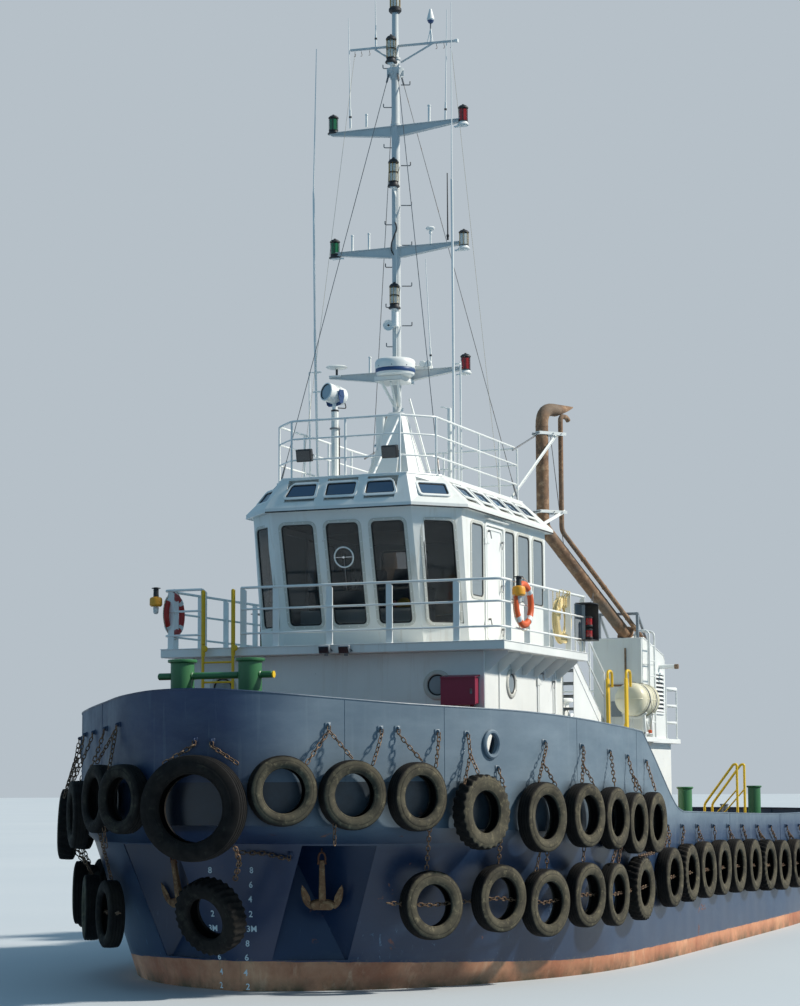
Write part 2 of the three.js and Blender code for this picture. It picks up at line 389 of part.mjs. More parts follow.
// Crosstrees, columns: z, half span, depth at the mast
const CROSSTREES = [[9680, 1220, 150], [11800, 1150, 130], [13900, 1180, 130]];
const crosstree = CROSSTREES.map(([z, y, d]) => {
  const pts = [[-y, z + 40], [y, z + 40], [y, z], [120, z - d], [-120, z - d], [-y, z]];
  return outline(pts, 120, (g) => g.rotateX(Math.PI / 2).rotateZ(Math.PI / 2).translate(MAST_X - 60, 0, 0));
});
const mast = join(pedestal, rod([MAST_X, 0, 8600], [MAST_X, 0, MAST_TOP - 440], 75, 10, 50), rod([MAST_X, 0, MAST_TOP - 450], [MAST_X, 0, MAST_TOP], 95, 12), crosstree,
  rod([MAST_X, -800, 15450], [MAST_X, 1100, 15520], 30, 6), box(MAST_X, 4960, -170, 320, 9480, 9560),
  rod([MAST_X, 0, 9150], [4850, 0, 9500], 45, 6));
add('mast', mast, WHITE);
add('radar_dome', toSolid(new THREE.LatheGeometry([[0, 0], [300, 0], [335, 50], [340, 100], [338, 240], [305, 285], [0, 300]].map(([a, b]) => new THREE.Vector2(a, b)), 14)
  .rotateX(Math.PI / 2).translate(4800, 150, 9560 + GAP)), WHITE);
// The lamp looks forward, 29 degrees to starboard and 10 degrees up, on a fork over its post.
const BEAM = [0.861, -0.477, 0.174];
const alongBeam = (d) => [LIGHT.x + BEAM[0] * d, LIGHT.y + BEAM[1] * d, LIGHT.z + BEAM[2] * d];
add('searchlight', join(rod(alongBeam(-150), alongBeam(190), 150, 14), rod(alongBeam(-210), alongBeam(-145), 90, 14, 148),
  rod([LIGHT.x, LIGHT.y, 8766], [LIGHT.x, LIGHT.y, 8900], 40, 10)), WHITE);

// ---------------------------------------------------------------- main deck house, boat deck, casings, exhausts
const LH = { x0: -3400, x1: BREAK_X - GAP, y: 2500, z0: MAIN_DECK + GAP, low: FORE_DECK - GAP, high: BOAT_DECK - 60 - GAP };
const lhProfile = (d) => [[LH.x0 + d, LH.z0 - (d ? 100 : 0)], [LH.x1 - d, LH.z0 - (d ? 100 : 0)], [LH.x1 - d, LH.low - d], [1990 - d, LH.low - d], [1990 - d, LH.high - d], [LH.x0 + d, LH.high - d]];
const AFT_DOOR = { y0: 900, y1: 1650, z0: 1500, z1: 3200 };
add('main_deck_house', cut(prismY(lhProfile(0), -LH.y, LH.y), prismY(lhProfile(T), -LH.y + T, LH.y - T),
  box(LH.x0 - 100, LH.x0 + 200, AFT_DOOR.y0, AFT_DOOR.y1, AFT_DOOR.z0, AFT_DOOR.z1),
  porthole(900, LH.y, 2500, 'y'), porthole(900, -LH.y, 2500, 'y')), WHITE);
add('main_deck_house_door', box(LH.x0 + 5, LH.x0 + 55, AFT_DOOR.y0 + DOOR_GAP, AFT_DOOR.y1 - DOOR_GAP, AFT_DOOR.z0 + DOOR_GAP, AFT_DOOR.z1 - DOOR_GAP), WHITE);
add('boat_deck', join(box(-800, -400, 0, 400, BOAT_DECK - 10, BOAT_DECK + 20), prismZ([[1990, -LH.y], [1990, LH.y], [1300, LH.y], [1300, 2920], [-1010, 2920], [-1010, 2630], [-3600, 2630], [-3600, -2630], [-1010, -2630], [-1010, -2920], [1300, -2920], [1300, -LH.y]], BOAT_DECK - 60, BOAT_DECK)), WHITE);
addPair('casing', prismY([[-1100, BOAT_DECK + GAP], [-1100, 5480], [-1250, 5500], [-2590, 5240], [-2700, 5130], [-2700, BOAT_DECK + GAP]], 1680, 2600), WHITE);
const PIPE = [[-1500, 2300, 5470], [1130, 1480, 7350], [1130, 1480, 9180], [1050, 1508, 9380], [880, 1570, 9470], [320, 1775, 9490]];
const THIN = [[-1650, 2520, 5440], [830, 1730, 7300], [830, 1730, 9250], [640, 1790, 9330]];
const exhaust = join(path(PIPE, 115, 8), PIPE.slice(1, -1).map((p) => toSolid(new THREE.SphereGeometry(114, 8, 5).translate(...p))),
  path(THIN, 48, 6), box(780, 1180, 1450, 1790, 7600, 7640), box(780, 1180, 1450, 1790, 9000, 9040));
const casingTop = prismY([[-3000, 5000], [-500, 5000], [-500, 5505 + GAP], [-1250, 5500 + GAP], [-2590, 5240 + GAP], [-2700, 5130]], 1600, 2700);
addPair('exhaust', exhaust.subtract(casingTop), RUST);
const CAN = { x: -450, y: 2700, z: 4330 };
const cradle = [-220, 220].map((d) => box(CAN.x + d - 30, CAN.x + d + 30, CAN.y - 210, CAN.y + 210, BOAT_DECK + GAP, CAN.z - 180));
addPair('liferaft', join(rod([CAN.x - 600, CAN.y, CAN.z], [CAN.x + 600, CAN.y, CAN.z], 300, 16), cradle), CREAM);

// Stairs from the bridge deck down to the boat deck, and the yellow upright ladders.
const ST = { x1: DH.step - GAP, x0: 1290, y0: 2040, y1: 2640 };
const slope = (ST.x1 - ST.x0) / (BRIDGE_DECK - BOAT_DECK);
const stringer = (y) => prismY([[ST.x1, BRIDGE_DECK - 210], [ST.x1, BRIDGE_DECK - 10], [ST.x0, BOAT_DECK + 190], [ST.x0, BOAT_DECK + GAP], [ST.x0 + 60, BOAT_DECK + GAP]], y, y + 30);
const treads = [1, 2, 3, 4, 5].map((i) => {
  const z = BOAT_DECK + 60 + i * 205, x = ST.x0 + (z - BOAT_DECK) * slope;
  return box(x - 130, x + 110, ST.y0 + 15, ST.y1 - 15, z - 15, z + 15);
});
// Plate that closes the triangle under the outboard stringer.
const sidePlate = prismY([[ST.x1, BRIDGE_DECK - 190], [ST.x0 + 70, BOAT_DECK + GAP], [ST.x1, BOAT_DECK + GAP]], ST.y1 - 20, ST.y1 - 8);
addPair('stairs', join(stringer(ST.y0), stringer(ST.y1 - 30), treads, sidePlate), STEEL);
function ladder(x, ya, yb, zBottom, zTop, pitch) {
  const rungs = [];
  for (let z = zBottom + pitch; z < zTop - 900; z += pitch) rungs.push(rod([x, ya, z], [x, yb, z], 16, 5));
  return join(rod([x, ya, zBottom], [x, ya, zTop], 26, 6), rod([x, yb, zBottom], [x, yb, zTop], 26, 6), rungs);
}
add('bow_ladder', join(ladder(7400, -2080, -1560, FORE_DECK + GAP, 5960, 310)), YELLOW);
add('boat_deck_ladder', ladder(1380, 2700, 3030, MAIN_DECK + GAP, 4800, 300), YELLOW);

// ---------------------------------------------------------------- deck fittings
function bitts(x, y, base, top, r, along, spacing, bar) {
  const a = along === 'y' ? [[x, y - spacing / 2], [x, y + spacing / 2]] : [[x - spacing / 2, y], [x + spacing / 2, y]];
  const posts = a.flatMap(([px, py]) => [rod([px, py, base + GAP], [px, py, top - 40], r, 14), rod([px, py, top - 40], [px, py, top], r * 1.25, 14)]);
  const plate = along === 'y' ? box(x - r * 1.7, x + r * 1.7, y - spacing / 2 - r * 1.7, y + spacing / 2 + r * 1.7, base + GAP, base + 30)
    : box(x - spacing / 2 - r * 1.7, x + spacing / 2 + r * 1.7, y - r * 1.7, y + r * 1.7, base + GAP, base + 30);
  return join(posts, plate, bar || []);
}
add('bow_bitts', bitts(11140, -10, FORE_DECK, 4600, 165, 'y', 1040, [rod([11140, -900, 4370], [11140, 880, 4370], 50, 8)]), GREEN);
const bollard = (x) => join(rod([x, 3480, MAIN_DECK + GAP], [x, 3480, 2740], 125, 16), rod([x, 3480, 2740], [x, 3480, 2775], 150, 16),
  box(x - 220, x + 220, 3260, 3700, MAIN_DECK + GAP, MAIN_DECK + 30));
addPair('bollard_forward', bollard(-690), GREEN);
addPair('bollard_aft', bollard(-6000), GREEN);
add('anchor_windlass', join(box(8700, 9300, -700, 700, FORE_DECK + GAP, 3100), rod([9000, -850, 3380], [9000, 850, 3380], 60, 10),
  rod([9000, -420, 3380], [9000, -180, 3380], 270, 14), rod([9000, 180, 3380], [9000, 420, 3380], 270, 14),
  rod([9000, -850, 3380], [9000, -650, 3380], 190, 12), rod([9000, 650, 3380], [9000, 850, 3380], 190, 12), box(8850, 9150, -120, 120, 3090, 3500)), GREEN);
// Stockless anchor hung in its recess, broad side along the hull's skin, shank up.
const anchor = join(box(-45, 45, -50, 50, -240, 390), box(-70, 70, -180, 180, -310, -170), rod([0, -150, -250], [40, -290, 20], 55, 8, 14),
  rod([0, 150, -250], [40, 290, 20], 55, 8, 14), rod([0, 0, 380], [0, 0, 560], 30, 6)).rotate([0, 12, 0]).rotate([0, 0, 20.4]).translate([10085, 1130, 1430]);
addPair('anchor', anchor, RUST);

const TB_X = -7200, HOOK_X = -4300;
add('towing_bitts', bitts(TB_X, 0, MAIN_DECK, 2450, 170, 'y', 1300, [rod([TB_X, -1000, 2150], [TB_X, 1000, 2150], 85, 10)]), GREEN);
add('towing_post', join(box(HOOK_X - 250, HOOK_X + 250, -300, 300, MAIN_DECK + GAP, 2000), rod([HOOK_X, 0, 1990], [HOOK_X, 0, 2290], 70, 12)), GREEN);
const hook = join(cut(rod([0, 0, 2060], [0, 0, 2200], 150, 14), rod([0, 0, 1900], [0, 0, 2400], 78, 12)),
  box(-600, -120, -50, 50, 2070, 2190), cut(rod([-730, 0, 2060], [-730, 0, 2200], 200, 14), rod([-730, 0, 1900], [-730, 0, 2400], 90, 12), box(-1000, -730, 20, 120, 1900, 2400)));
add('towing_hook', hook.translate([HOOK_X, 0, 0]), DARK);
// Boarding steps that climb outboard to the port bulwark, with their yellow handrails.
const STEPS = { x0: -3440, x1: -2720 };
add('boarding_steps', join(box(STEPS.x0 + 40, STEPS.x1 - 40, 3240, 3480, MAIN_DECK + GAP, 1560), box(STEPS.x0 + 40, STEPS.x1 - 40, 3470, 3710, MAIN_DECK + GAP, 1820),
  box(STEPS.x0 + 40, STEPS.x1 - 40, 3700, 3940, MAIN_DECK + GAP, 2080),
  [STEPS.x0 + 70, STEPS.x1 - 70].flatMap((x) => path([[x, 3290, 1500], [x, 3290, 2440], [x, 3860, 3180], [x, 3920, 3180], [x, 3920, 2000]], 24, 6))), YELLOW);

// ---------------------------------------------------------------- propellers and rudders
function propeller(side) {
  const blades = [0, 1, 2, 3].map((k) => {
    const blade = new THREE.BoxGeometry(60, 420, PROP_R - 150).rotateZ(side * 0.62).translate(0, 0, (PROP_R + 150) / 2 - 20);
    return toSolid(blade.rotateX(k * Math.PI / 2 + 0.4));
  });
  return join(rod([-190, 0, 0], [200, 0, 0], 150, 14, 105), rod([-330, 0, 0], [-185, 0, 0], 50, 12, 148), blades).translate([PROP_X, side * PROP_Y, PROP_Z]);
}
add('propeller_port', propeller(1), BRONZE);
add('propeller_starboard', propeller(-1), BRONZE);
const blade = (s) => join(outline([[310, 0], [200, 55], [-100, 80], [-700, 14], [-700, -14], [-100, -80], [200, -55]], 1560, (g) => g.translate(RUDDER_X, s * PROP_Y, -2500)),
  rod([RUDDER_X, s * PROP_Y, -1000], [RUDDER_X, s * PROP_Y, -560], 70, 12));
add('rudder_port', blade(1), NAVY);
add('rudder_starboard', blade(-1), NAVY);

export default group;
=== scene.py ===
# Harbour tug afloat: finished surfaces around the fixed frame. Metres, +X bow, +Y port, +Z up, waterline at z = 0.
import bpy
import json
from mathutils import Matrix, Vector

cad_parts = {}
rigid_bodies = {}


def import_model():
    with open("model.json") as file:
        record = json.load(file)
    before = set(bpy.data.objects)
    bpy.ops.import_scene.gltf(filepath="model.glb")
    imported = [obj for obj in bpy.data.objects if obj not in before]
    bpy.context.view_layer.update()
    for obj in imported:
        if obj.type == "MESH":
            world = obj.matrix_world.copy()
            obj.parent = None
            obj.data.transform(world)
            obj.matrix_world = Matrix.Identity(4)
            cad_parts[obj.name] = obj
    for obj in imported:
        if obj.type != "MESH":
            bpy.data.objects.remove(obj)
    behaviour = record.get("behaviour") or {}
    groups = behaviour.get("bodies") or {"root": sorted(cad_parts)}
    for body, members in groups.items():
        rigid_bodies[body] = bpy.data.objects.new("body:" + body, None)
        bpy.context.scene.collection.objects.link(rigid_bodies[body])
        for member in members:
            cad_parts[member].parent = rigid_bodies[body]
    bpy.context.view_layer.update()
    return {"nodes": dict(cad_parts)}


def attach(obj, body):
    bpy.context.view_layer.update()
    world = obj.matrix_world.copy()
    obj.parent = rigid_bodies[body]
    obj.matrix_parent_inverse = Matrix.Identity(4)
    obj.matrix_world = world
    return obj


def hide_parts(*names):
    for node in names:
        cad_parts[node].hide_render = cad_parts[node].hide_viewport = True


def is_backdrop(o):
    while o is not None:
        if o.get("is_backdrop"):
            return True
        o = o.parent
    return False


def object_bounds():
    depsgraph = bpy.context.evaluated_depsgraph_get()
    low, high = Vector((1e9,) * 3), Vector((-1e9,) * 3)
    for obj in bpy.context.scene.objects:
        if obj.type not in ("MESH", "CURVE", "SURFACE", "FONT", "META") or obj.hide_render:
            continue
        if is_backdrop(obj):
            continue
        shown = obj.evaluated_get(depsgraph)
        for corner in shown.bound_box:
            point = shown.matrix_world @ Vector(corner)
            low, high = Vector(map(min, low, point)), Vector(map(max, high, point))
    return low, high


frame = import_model()

import json
import math
import bpy
import bmesh
import numpy as np
from mathutils import Vector, Matrix
from mathutils.bvhtree import BVHTree

RNG = np.random.default_rng(11)
SCENE = bpy.context.scene
NODES = frame["nodes"]

# ------------------------------------------------------------------ camera
EYE = Vector((40.721, 14.540, 2.911))
YAW, PITCH, ROLL = (math.radians(a) for a in (21.732, 6.689, -0.300))
FOCAL_PX = 2366.56


def camera_axes():
    fw = Vector((-math.cos(YAW) * math.cos(PITCH), -math.sin(YAW) * math.cos(PITCH), math.sin(PITCH)))
    r = fw.cross(Vector((0, 0, 1))).normalized()
    u = r.cross(fw)
    return fw, math.cos(ROLL) * r + math.sin(ROLL) * u, -math.sin(ROLL) * r + math.cos(ROLL) * u


FW, RIGHT, UP = camera_axes()
cam = bpy.data.objects.new("camera", bpy.data.cameras.new("camera"))
SCENE.collection.objects.link(cam)
cam.data.sensor_fit, cam.data.sensor_width, cam.data.lens = "AUTO", 36.0, FOCAL_PX * 36.0 / 1006.0
cam.data.clip_start, cam.data.clip_end = 0.5, 900.0
cam.matrix_world = Matrix((
    (RIGHT.x, UP.x, -FW.x, EYE.x), (RIGHT.y, UP.y, -FW.y, EYE.y), (RIGHT.z, UP.z, -FW.z, EYE.z), (0, 0, 0, 1)))
SCENE.camera = cam


def at(px, py, x=None, y=None, z=None):
    """Point of the ship seen at a pixel of the 800 x 1006 frame, on the plane of constant x, y or z."""
    d = FW * FOCAL_PX + RIGHT * (px - 400.0) - UP * (py - 503.0)
    k, value = (0, x) if x is not None else (1, y) if y is not None else (2, z)
    t = (value - EYE[k]) / d[k]
    return np.array(EYE + d * t)


# ------------------------------------------------------------------ mesh making
def V3(p):
    return np.asarray(p, float)


def unit(v):
    v = np.asarray(v, float)
    return v / max(np.linalg.norm(v), 1e-12)


def axes(n, up=(0, 0, 1)):
    """Right handed frame whose third axis is n: rows u, v, n."""
    n = unit(n)
    if abs(np.dot(n, unit(up))) > 0.98:
        up = (1, 0, 0)
    u = unit(np.cross(up, n))
    return np.array([u, np.cross(n, u), n])


def box_template():
    corners = [(a, b, c) for a in (-1, 1) for b in (-1, 1) for c in (-1, 1)]
    at_ = {c: i * 3 for i, c in enumerate(corners)}
    quads, tris = [], [[at_[c], at_[c] + 1, at_[c] + 2] for c in corners]
    for a in range(3):
        b, c = (a + 1) % 3, (a + 2) % 3
        key = lambda s, t, w: at_[tuple(s if k == a else t if k == b else w for k in range(3))]
        for s in (-1, 1):
            quads.append([key(s, t, w) + a for t, w in ((-1, -1), (1, -1), (1, 1), (-1, 1))])
        for t in (-1, 1):
            for w in (-1, 1):
                i, j = key(-1, t, w), key(1, t, w)
                quads.append([i + b, j + b, j + c, i + c])
    sign = np.repeat(np.array(corners, float), 3, axis=0)
    own = np.tile(np.eye(3), (8, 1))
    return sign, own, np.array(quads), np.array(tris)


BOX_SIGN, BOX_OWN, BOX_QUADS, BOX_TRIS = box_template()


class Shape:
    """Faces gathered in the ship's frame, made into one object by build()."""

    def __init__(self):
        self.v, self.f, self.w, self.n = [], [], [], 0

    def add(self, v, faces, m=0, w=0.0):
        v = np.asarray(v, float).reshape(-1, 3)
        if isinstance(faces, np.ndarray):
            groups = [faces]
        else:
            by = {}
            for f in faces:
                by.setdefault(len(f), []).append(list(f))
            groups = [np.array(g) for g in by.values()]
        for g in groups:
            self.f.append((g + self.n, m))
        self.v.append(v)
        self.w.append(np.full(len(v), float(w)) if np.isscalar(w) else np.asarray(w, float))
        self.n += len(v)

    def box(self, x0, x1, y0, y1, z0, z1, m=0, b=0.006, w=0.0):
        self.obox(((x0 + x1) / 2, (y0 + y1) / 2, (z0 + z1) / 2), (abs(x1 - x0), abs(y1 - y0), abs(z1 - z0)), m=m, b=b, w=w)

    def obox(self, c, size, ax=None, m=0, b=0.006, w=0.0):
        """Box with broken edges, centred at c; ax holds its three axes as rows."""
        h = np.asarray(size, float) / 2
        b = min(b, 0.45 * h.min())
        v = BOX_SIGN * (h - b * (1 - BOX_OWN))
        if ax is not None:
            v = v @ np.asarray(ax, float)
        v = v + V3(c)
        base = self.n
        self.v.append(v)
        self.w.append(np.full(24, float(w)))
        self.f.append((BOX_QUADS + base, m))
        self.f.append((BOX_TRIS + base, m))
        self.n += 24

    def bar(self, p, q, width, depth, m=0, up=(0, 0, 1), b=0.004, w=0.0):
        """Flat bar from p to q; width lies across up, depth along it."""
        p, q = V3(p), V3(q)
        a = axes(q - p, up)
        self.obox((p + q) / 2, (width, depth, np.linalg.norm(q - p)), ax=a, m=m, b=b, w=w)

    def tube(self, pts, r, n=8, m=0, closed=False, w=0.0, caps=True, ends=0.0):
        P = np.asarray(pts, float)
        keep = [0] + [i for i in range(1, len(P)) if np.linalg.norm(P[i] - P[i - 1]) > 1e-6]
        P = P[keep]
        k = len(P)
        R = np.full(k, float(r)) if np.isscalar(r) else np.asarray(r, float)[keep]
        if closed:
            T = np.array([unit(P[(i + 1) % k] - P[i - 1]) for i in range(k)])
        else:
            T = np.array([unit(P[min(i + 1, k - 1)] - P[max(i - 1, 0)]) for i in range(k)])
        u = axes(T[0])[0]
        ring, ang = [], np.linspace(0, 2 * math.pi, n, endpoint=False)
        for i in range(k):
            u = unit(u - T[i] * np.dot(u, T[i]))
            v = np.cross(T[i], u)
            s = R[i]
            if 0 < i < k - 1 and not closed:
                c = np.dot(unit(P[i] - P[i - 1]), T[i])
                s = R[i] / max(c, 0.5) if c < 0.96 else R[i]
            ring.append(P[i] + s * (np.outer(np.cos(ang), u) + np.outer(np.sin(ang), v)))
        if ends > 0 and not closed:
            first = P[0] + (ring[0] - P[0]) * (1 - ends)
            last = P[-1] + (ring[-1] - P[-1]) * (1 - ends)
            e = ends * R[0]
            ring = [first] + [ring[0] + T[0] * e] + ring[1:-1] + [ring[-1] - T[-1] * e] + [last]
            k += 2
        v = np.concatenate(ring)
        i = np.arange(n)
        j = (i + 1) % n
        rows = k if closed else k - 1
        quads = np.concatenate([np.stack([a * n + i, a * n + j, ((a + 1) % k) * n + j, ((a + 1) % k) * n + i], 1) for a in range(rows)])
        self.add(v, quads, m, w)
        if caps and not closed:
            base = self.n - len(v)
            self.f.append((np.array([list(range(base + n))[base:]]), m))
            self.f.append((np.array([[base + (k - 1) * n + a for a in range(n)]]), m))

    def rod(self, p, q, r, n=10, m=0, r2=None, w=0.0, ends=0.12):
        p, q = V3(p), V3(q)
        L = np.linalg.norm(q - p)
        r2 = r if r2 is None else r2
        e = min(ends * max(r, r2), L * 0.3)
        self.lathe([(0, 0), (r - e, 0), (r, e), (r2, L - e), (r2 - e, L), (0, L)], p, q - p, n, m, w)

    def lathe(self, prof, p, axis, n=24, m=0, w=0.0, up=(0, 0, 1), closed=False, arc=None):
        """Turns the profile rows (radius, height) about the axis through p."""
        a = axes(axis, up)
        p = V3(p)
        ang = np.linspace(0, 2 * math.pi, n, endpoint=False)
        ca, sa = np.cos(ang), np.sin(ang)
        idx, verts, ws, k = [], [], [], 0
        for s, (r, h) in enumerate(prof):
            if r < 1e-7 and not closed:
                verts.append((p + a[2] * h)[None])
                idx.append(np.full(n, k))
                k += 1
                c = 1
            else:
                verts.append(p + r * (np.outer(ca, a[0]) + np.outer(sa, a[1])) + a[2] * h)
                idx.append(np.arange(n) + k)
                k += n
                c = n
            ws.append(np.full(c, float(w)) if np.isscalar(w) else np.full(c, float(w[s])))
        quads, tris = [], []
        pairs = list(zip(idx, idx[1:]))
        if closed:
            pairs.append((idx[-1], idx[0]))
        for lo, hi in pairs:
            if lo[0] == lo[1] and hi[0] == hi[1]:
                continue
            l2, h2 = np.roll(lo, -1), np.roll(hi, -1)
            if lo[0] == lo[1]:
                tris.append(np.stack([lo, h2, hi], 1))
            elif hi[0] == hi[1]:
                tris.append(np.stack([lo, l2, hi], 1))
            else:
                quads.append(np.stack([lo, l2, h2, hi], 1))
        base = self.n
        self.v.append(np.concatenate(verts))
        self.w.append(np.concatenate(ws))
        for g in quads + tris:
            self.f.append((g + base, m))
        self.n += k

    def prism(self, poly, o, u, v, t, m=0, w=0.0, b=0.0):
        """Outline (rows u, v) in the plane at o, given the thickness vector t; b breaks both rims."""
        o, u, v, t = V3(o), V3(u), V3(v), V3(t)
        poly = np.asarray(poly, float)
        n = len(poly)
        base = o + np.outer(poly[:, 0], u) + np.outer(poly[:, 1], v)
        if b > 0:
            area = 0.5 * np.sum(poly[:, 0] * np.roll(poly[:, 1], -1) - np.roll(poly[:, 0], -1) * poly[:, 1])
            s = 1 if area > 0 else -1
            e = np.roll(poly, -1, 0) - poly
            e = e / np.maximum(np.linalg.norm(e, axis=1), 1e-9)[:, None]
            inn = s * np.stack([-e[:, 1], e[:, 0]], 1)
            both = inn + np.roll(inn, 1, 0)
            mit = both / np.maximum((both * inn).sum(1), 0.3)[:, None]
            small = poly + mit * b
            sm = o + np.outer(small[:, 0], u) + np.outer(small[:, 1], v)
            tn = unit(t)
            rings = [sm, base + tn * b, base + t - tn * b, sm + t]
        else:
            rings = [base, base + t]
        k = len(rings)
        i = np.arange(n)
        j = (i + 1) % n
        quads = np.concatenate([np.stack([a * n + i, a * n + j, (a + 1) * n + j, (a + 1) * n + i], 1) for a in range(k - 1)])
        self.add(np.concatenate(rings), quads, m, w)
        s0 = self.n - k * n
        self.f.append((np.array([[s0 + a for a in range(n)]]), m))
        self.f.append((np.array([[s0 + (k - 1) * n + a for a in range(n)]]), m))

    def build(self, name, mats, body="root", slot=None, hides=(), sharp=35.0, recalc=True, bevel=0.0, flat=False):
        me = bpy.data.meshes.new(name)
        v = np.concatenate(self.v)
        me.vertices.add(len(v))
        me.vertices.foreach_set("co", v.astype(np.float32).ravel())
        loops = np.concatenate([g.ravel() for g, _ in self.f])
        totals = np.concatenate([np.full(len(g), g.shape[1]) for g, _ in self.f])
        starts = np.concatenate([[0], np.cumsum(totals)[:-1]])
        me.loops.add(len(loops))
        me.loops.foreach_set("vertex_index", loops.astype(np.int32))
        me.polygons.add(len(totals))
        me.polygons.foreach_set("loop_start", starts.astype(np.int32))
        me.polygons.foreach_set("material_index", np.concatenate([np.full(len(g), m) for g, m in self.f]).astype(np.int32))
        me.update(calc_edges=True)
        me.validate()
        me.attributes.new("wear", "FLOAT", "POINT").data.foreach_set("value", np.concatenate(self.w).astype(np.float32))
        for x in (mats if isinstance(mats, (list, tuple)) else [mats]):
            me.materials.append(x)
        if recalc:
            bm = bmesh.new()
            bm.from_mesh(me)
            bmesh.ops.recalc_face_normals(bm, faces=bm.faces)
            bm.to_mesh(me)
            bm.free()
        me.polygons.foreach_set("use_smooth", [not flat] * len(me.polygons))
        if not flat:
            me.set_sharp_from_angle(angle=math.radians(sharp))
        ob = bpy.data.objects.new(name, me)
        SCENE.collection.objects.link(ob)
        if bevel > 0:
            mod = ob.modifiers.new("edges", "BEVEL")
            mod.width, mod.segments, mod.limit_method, mod.angle_limit = bevel, 2, "ANGLE", math.radians(40)
        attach(ob, body)
        if hides:
            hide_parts(*hides)
        return ob


def fillet(pts, r, seg=4, closed=False):
    """Rounds the corners of a line of points."""
    P = [V3(p) for p in pts]
    out, n = [], len(P)
    for i in range(n):
        if not closed and i in (0, n - 1):
            out.append(P[i])
            continue
        a, b, c = P[i - 1], P[i], P[(i + 1) % n]
        la, lc = np.linalg.norm(a - b), np.linalg.norm(c - b)
        d = min(r, la * 0.49, lc * 0.49)
        p, q = b + (a - b) / la * d, b + (c - b) / lc * d
        for k in range(seg + 1):
            t = k / seg
            out.append((1 - t) ** 2 * p + 2 * t * (1 - t) * b + t * t * q)
    return np.array(out)


def spline(P, per, ghost=None, closed=False):
    """Curve through the points with chord-length tangents, per steps to a span; ghost gives the two end neighbours."""
    P = np.asarray(P, float)
    n = len(P)
    first = ghost[0] if ghost is not None else 2 * P[0] - P[1]
    last = ghost[1] if ghost is not None else 2 * P[-1] - P[-2]
    Q = np.vstack([first, P, last])
    d = np.maximum(np.linalg.norm(np.diff(Q, axis=0), axis=1), 1e-9)
    T = [(d[i] * (Q[i] - Q[i - 1]) / d[i - 1] + d[i - 1] * (Q[i + 1] - Q[i]) / d[i]) / (d[i] + d[i - 1]) for i in range(1, n + 1)]
    out = []
    for i in range(n - 1):
        L = d[i + 1]
        steps = per if np.isscalar(per) else per[i]
        for s in range(steps):
            t = s / steps
            h00, h10, h01, h11 = 2 * t**3 - 3 * t**2 + 1, t**3 - 2 * t**2 + t, -2 * t**3 + 3 * t**2, t**3 - t**2
            out.append(h00 * P[i] + h10 * L * T[i] + h01 * P[i + 1] + h11 * L * T[i + 1])
    out.append(P[-1])
    return np.array(out)


def circle(c, r, n, u, v):
    a = np.linspace(0, 2 * math.pi, n, endpoint=False)
    return V3(c) + r * (np.outer(np.cos(a), V3(u)) + np.outer(np.sin(a), V3(v)))


def rounded(w, h, r, seg=5):
    """Outline of a rectangle w by h with round corners, centred on 0."""
    out = []
    for cx, cy, a0 in ((w / 2 - r, h / 2 - r, 0), (-w / 2 + r, h / 2 - r, 90), (-w / 2 + r, -h / 2 + r, 180), (w / 2 - r, -h / 2 + r, 270)):
        for k in range(seg + 1):
            a = math.radians(a0 + 90 * k / seg)
            out.append((cx + r * math.cos(a), cy + r * math.sin(a)))
    return out


def ring_plate(s, outer, inner, o, u, v, t, m=0, w=0.0):
    """Flat frame between two outlines of equally many points, with the thickness vector t."""
    o, u, v, t = V3(o), V3(u), V3(v), V3(t)
    A, B = np.asarray(outer, float), np.asarray(inner, float)
    n = len(A)
    pa = o + np.outer(A[:, 0], u) + np.outer(A[:, 1], v)
    pb = o + np.outer(B[:, 0], u) + np.outer(B[:, 1], v)
    tn = unit(t) * min(0.004, np.linalg.norm(t) * 0.3)
    ca, cb = pa.mean(0), pb.mean(0)
    pa2, pb2 = pa + (ca - pa) * 0.004 / np.maximum(np.linalg.norm(ca - pa, axis=1), 1e-6)[:, None] + t, pb - (cb - pb) * 0.004 / np.maximum(np.linalg.norm(cb - pb, axis=1), 1e-6)[:, None] + t
    rings = [pa, pa + t - tn, pa2, pb2, pb + t - tn, pb]
    i = np.arange(n)
    j = (i + 1) % n
    k = len(rings)
    quads = np.concatenate([np.stack([a * n + i, a * n + j, ((a + 1) % k) * n + j, ((a + 1) % k) * n + i], 1) for a in range(k)])
    s.add(np.concatenate(rings), quads, m, w)


def link_template(length=0.1, width=0.062, d=0.016, n=6, k=6):
    r, half = (width - d) / 2, (length - width) / 2
    line = [(half + r * math.cos(a), r * math.sin(a)) for a in np.linspace(-math.pi / 2, math.pi / 2, n)]
    line += [(-x, -y) for x, y in line]
    C = np.array([(x, y, 0) for x, y in line])
    m = len(C)
    verts = []
    for i in range(m):
        t = unit(C[(i + 1) % m] - C[i - 1])
        s = np.cross((0, 0, 1), t)
        for a in np.linspace(0, 2 * math.pi, k, endpoint=False):
            verts.append(C[i] + d / 2 * (math.cos(a) * s + math.sin(a) * np.array((0, 0, 1))))
    i = np.arange(k)
    j = (i + 1) % k
    quads = np.concatenate([np.stack([a * k + i, a * k + j, ((a + 1) % m) * k + j, ((a + 1) % m) * k + i], 1) for a in range(m)])
    return np.array(verts), quads


LINK = link_template()


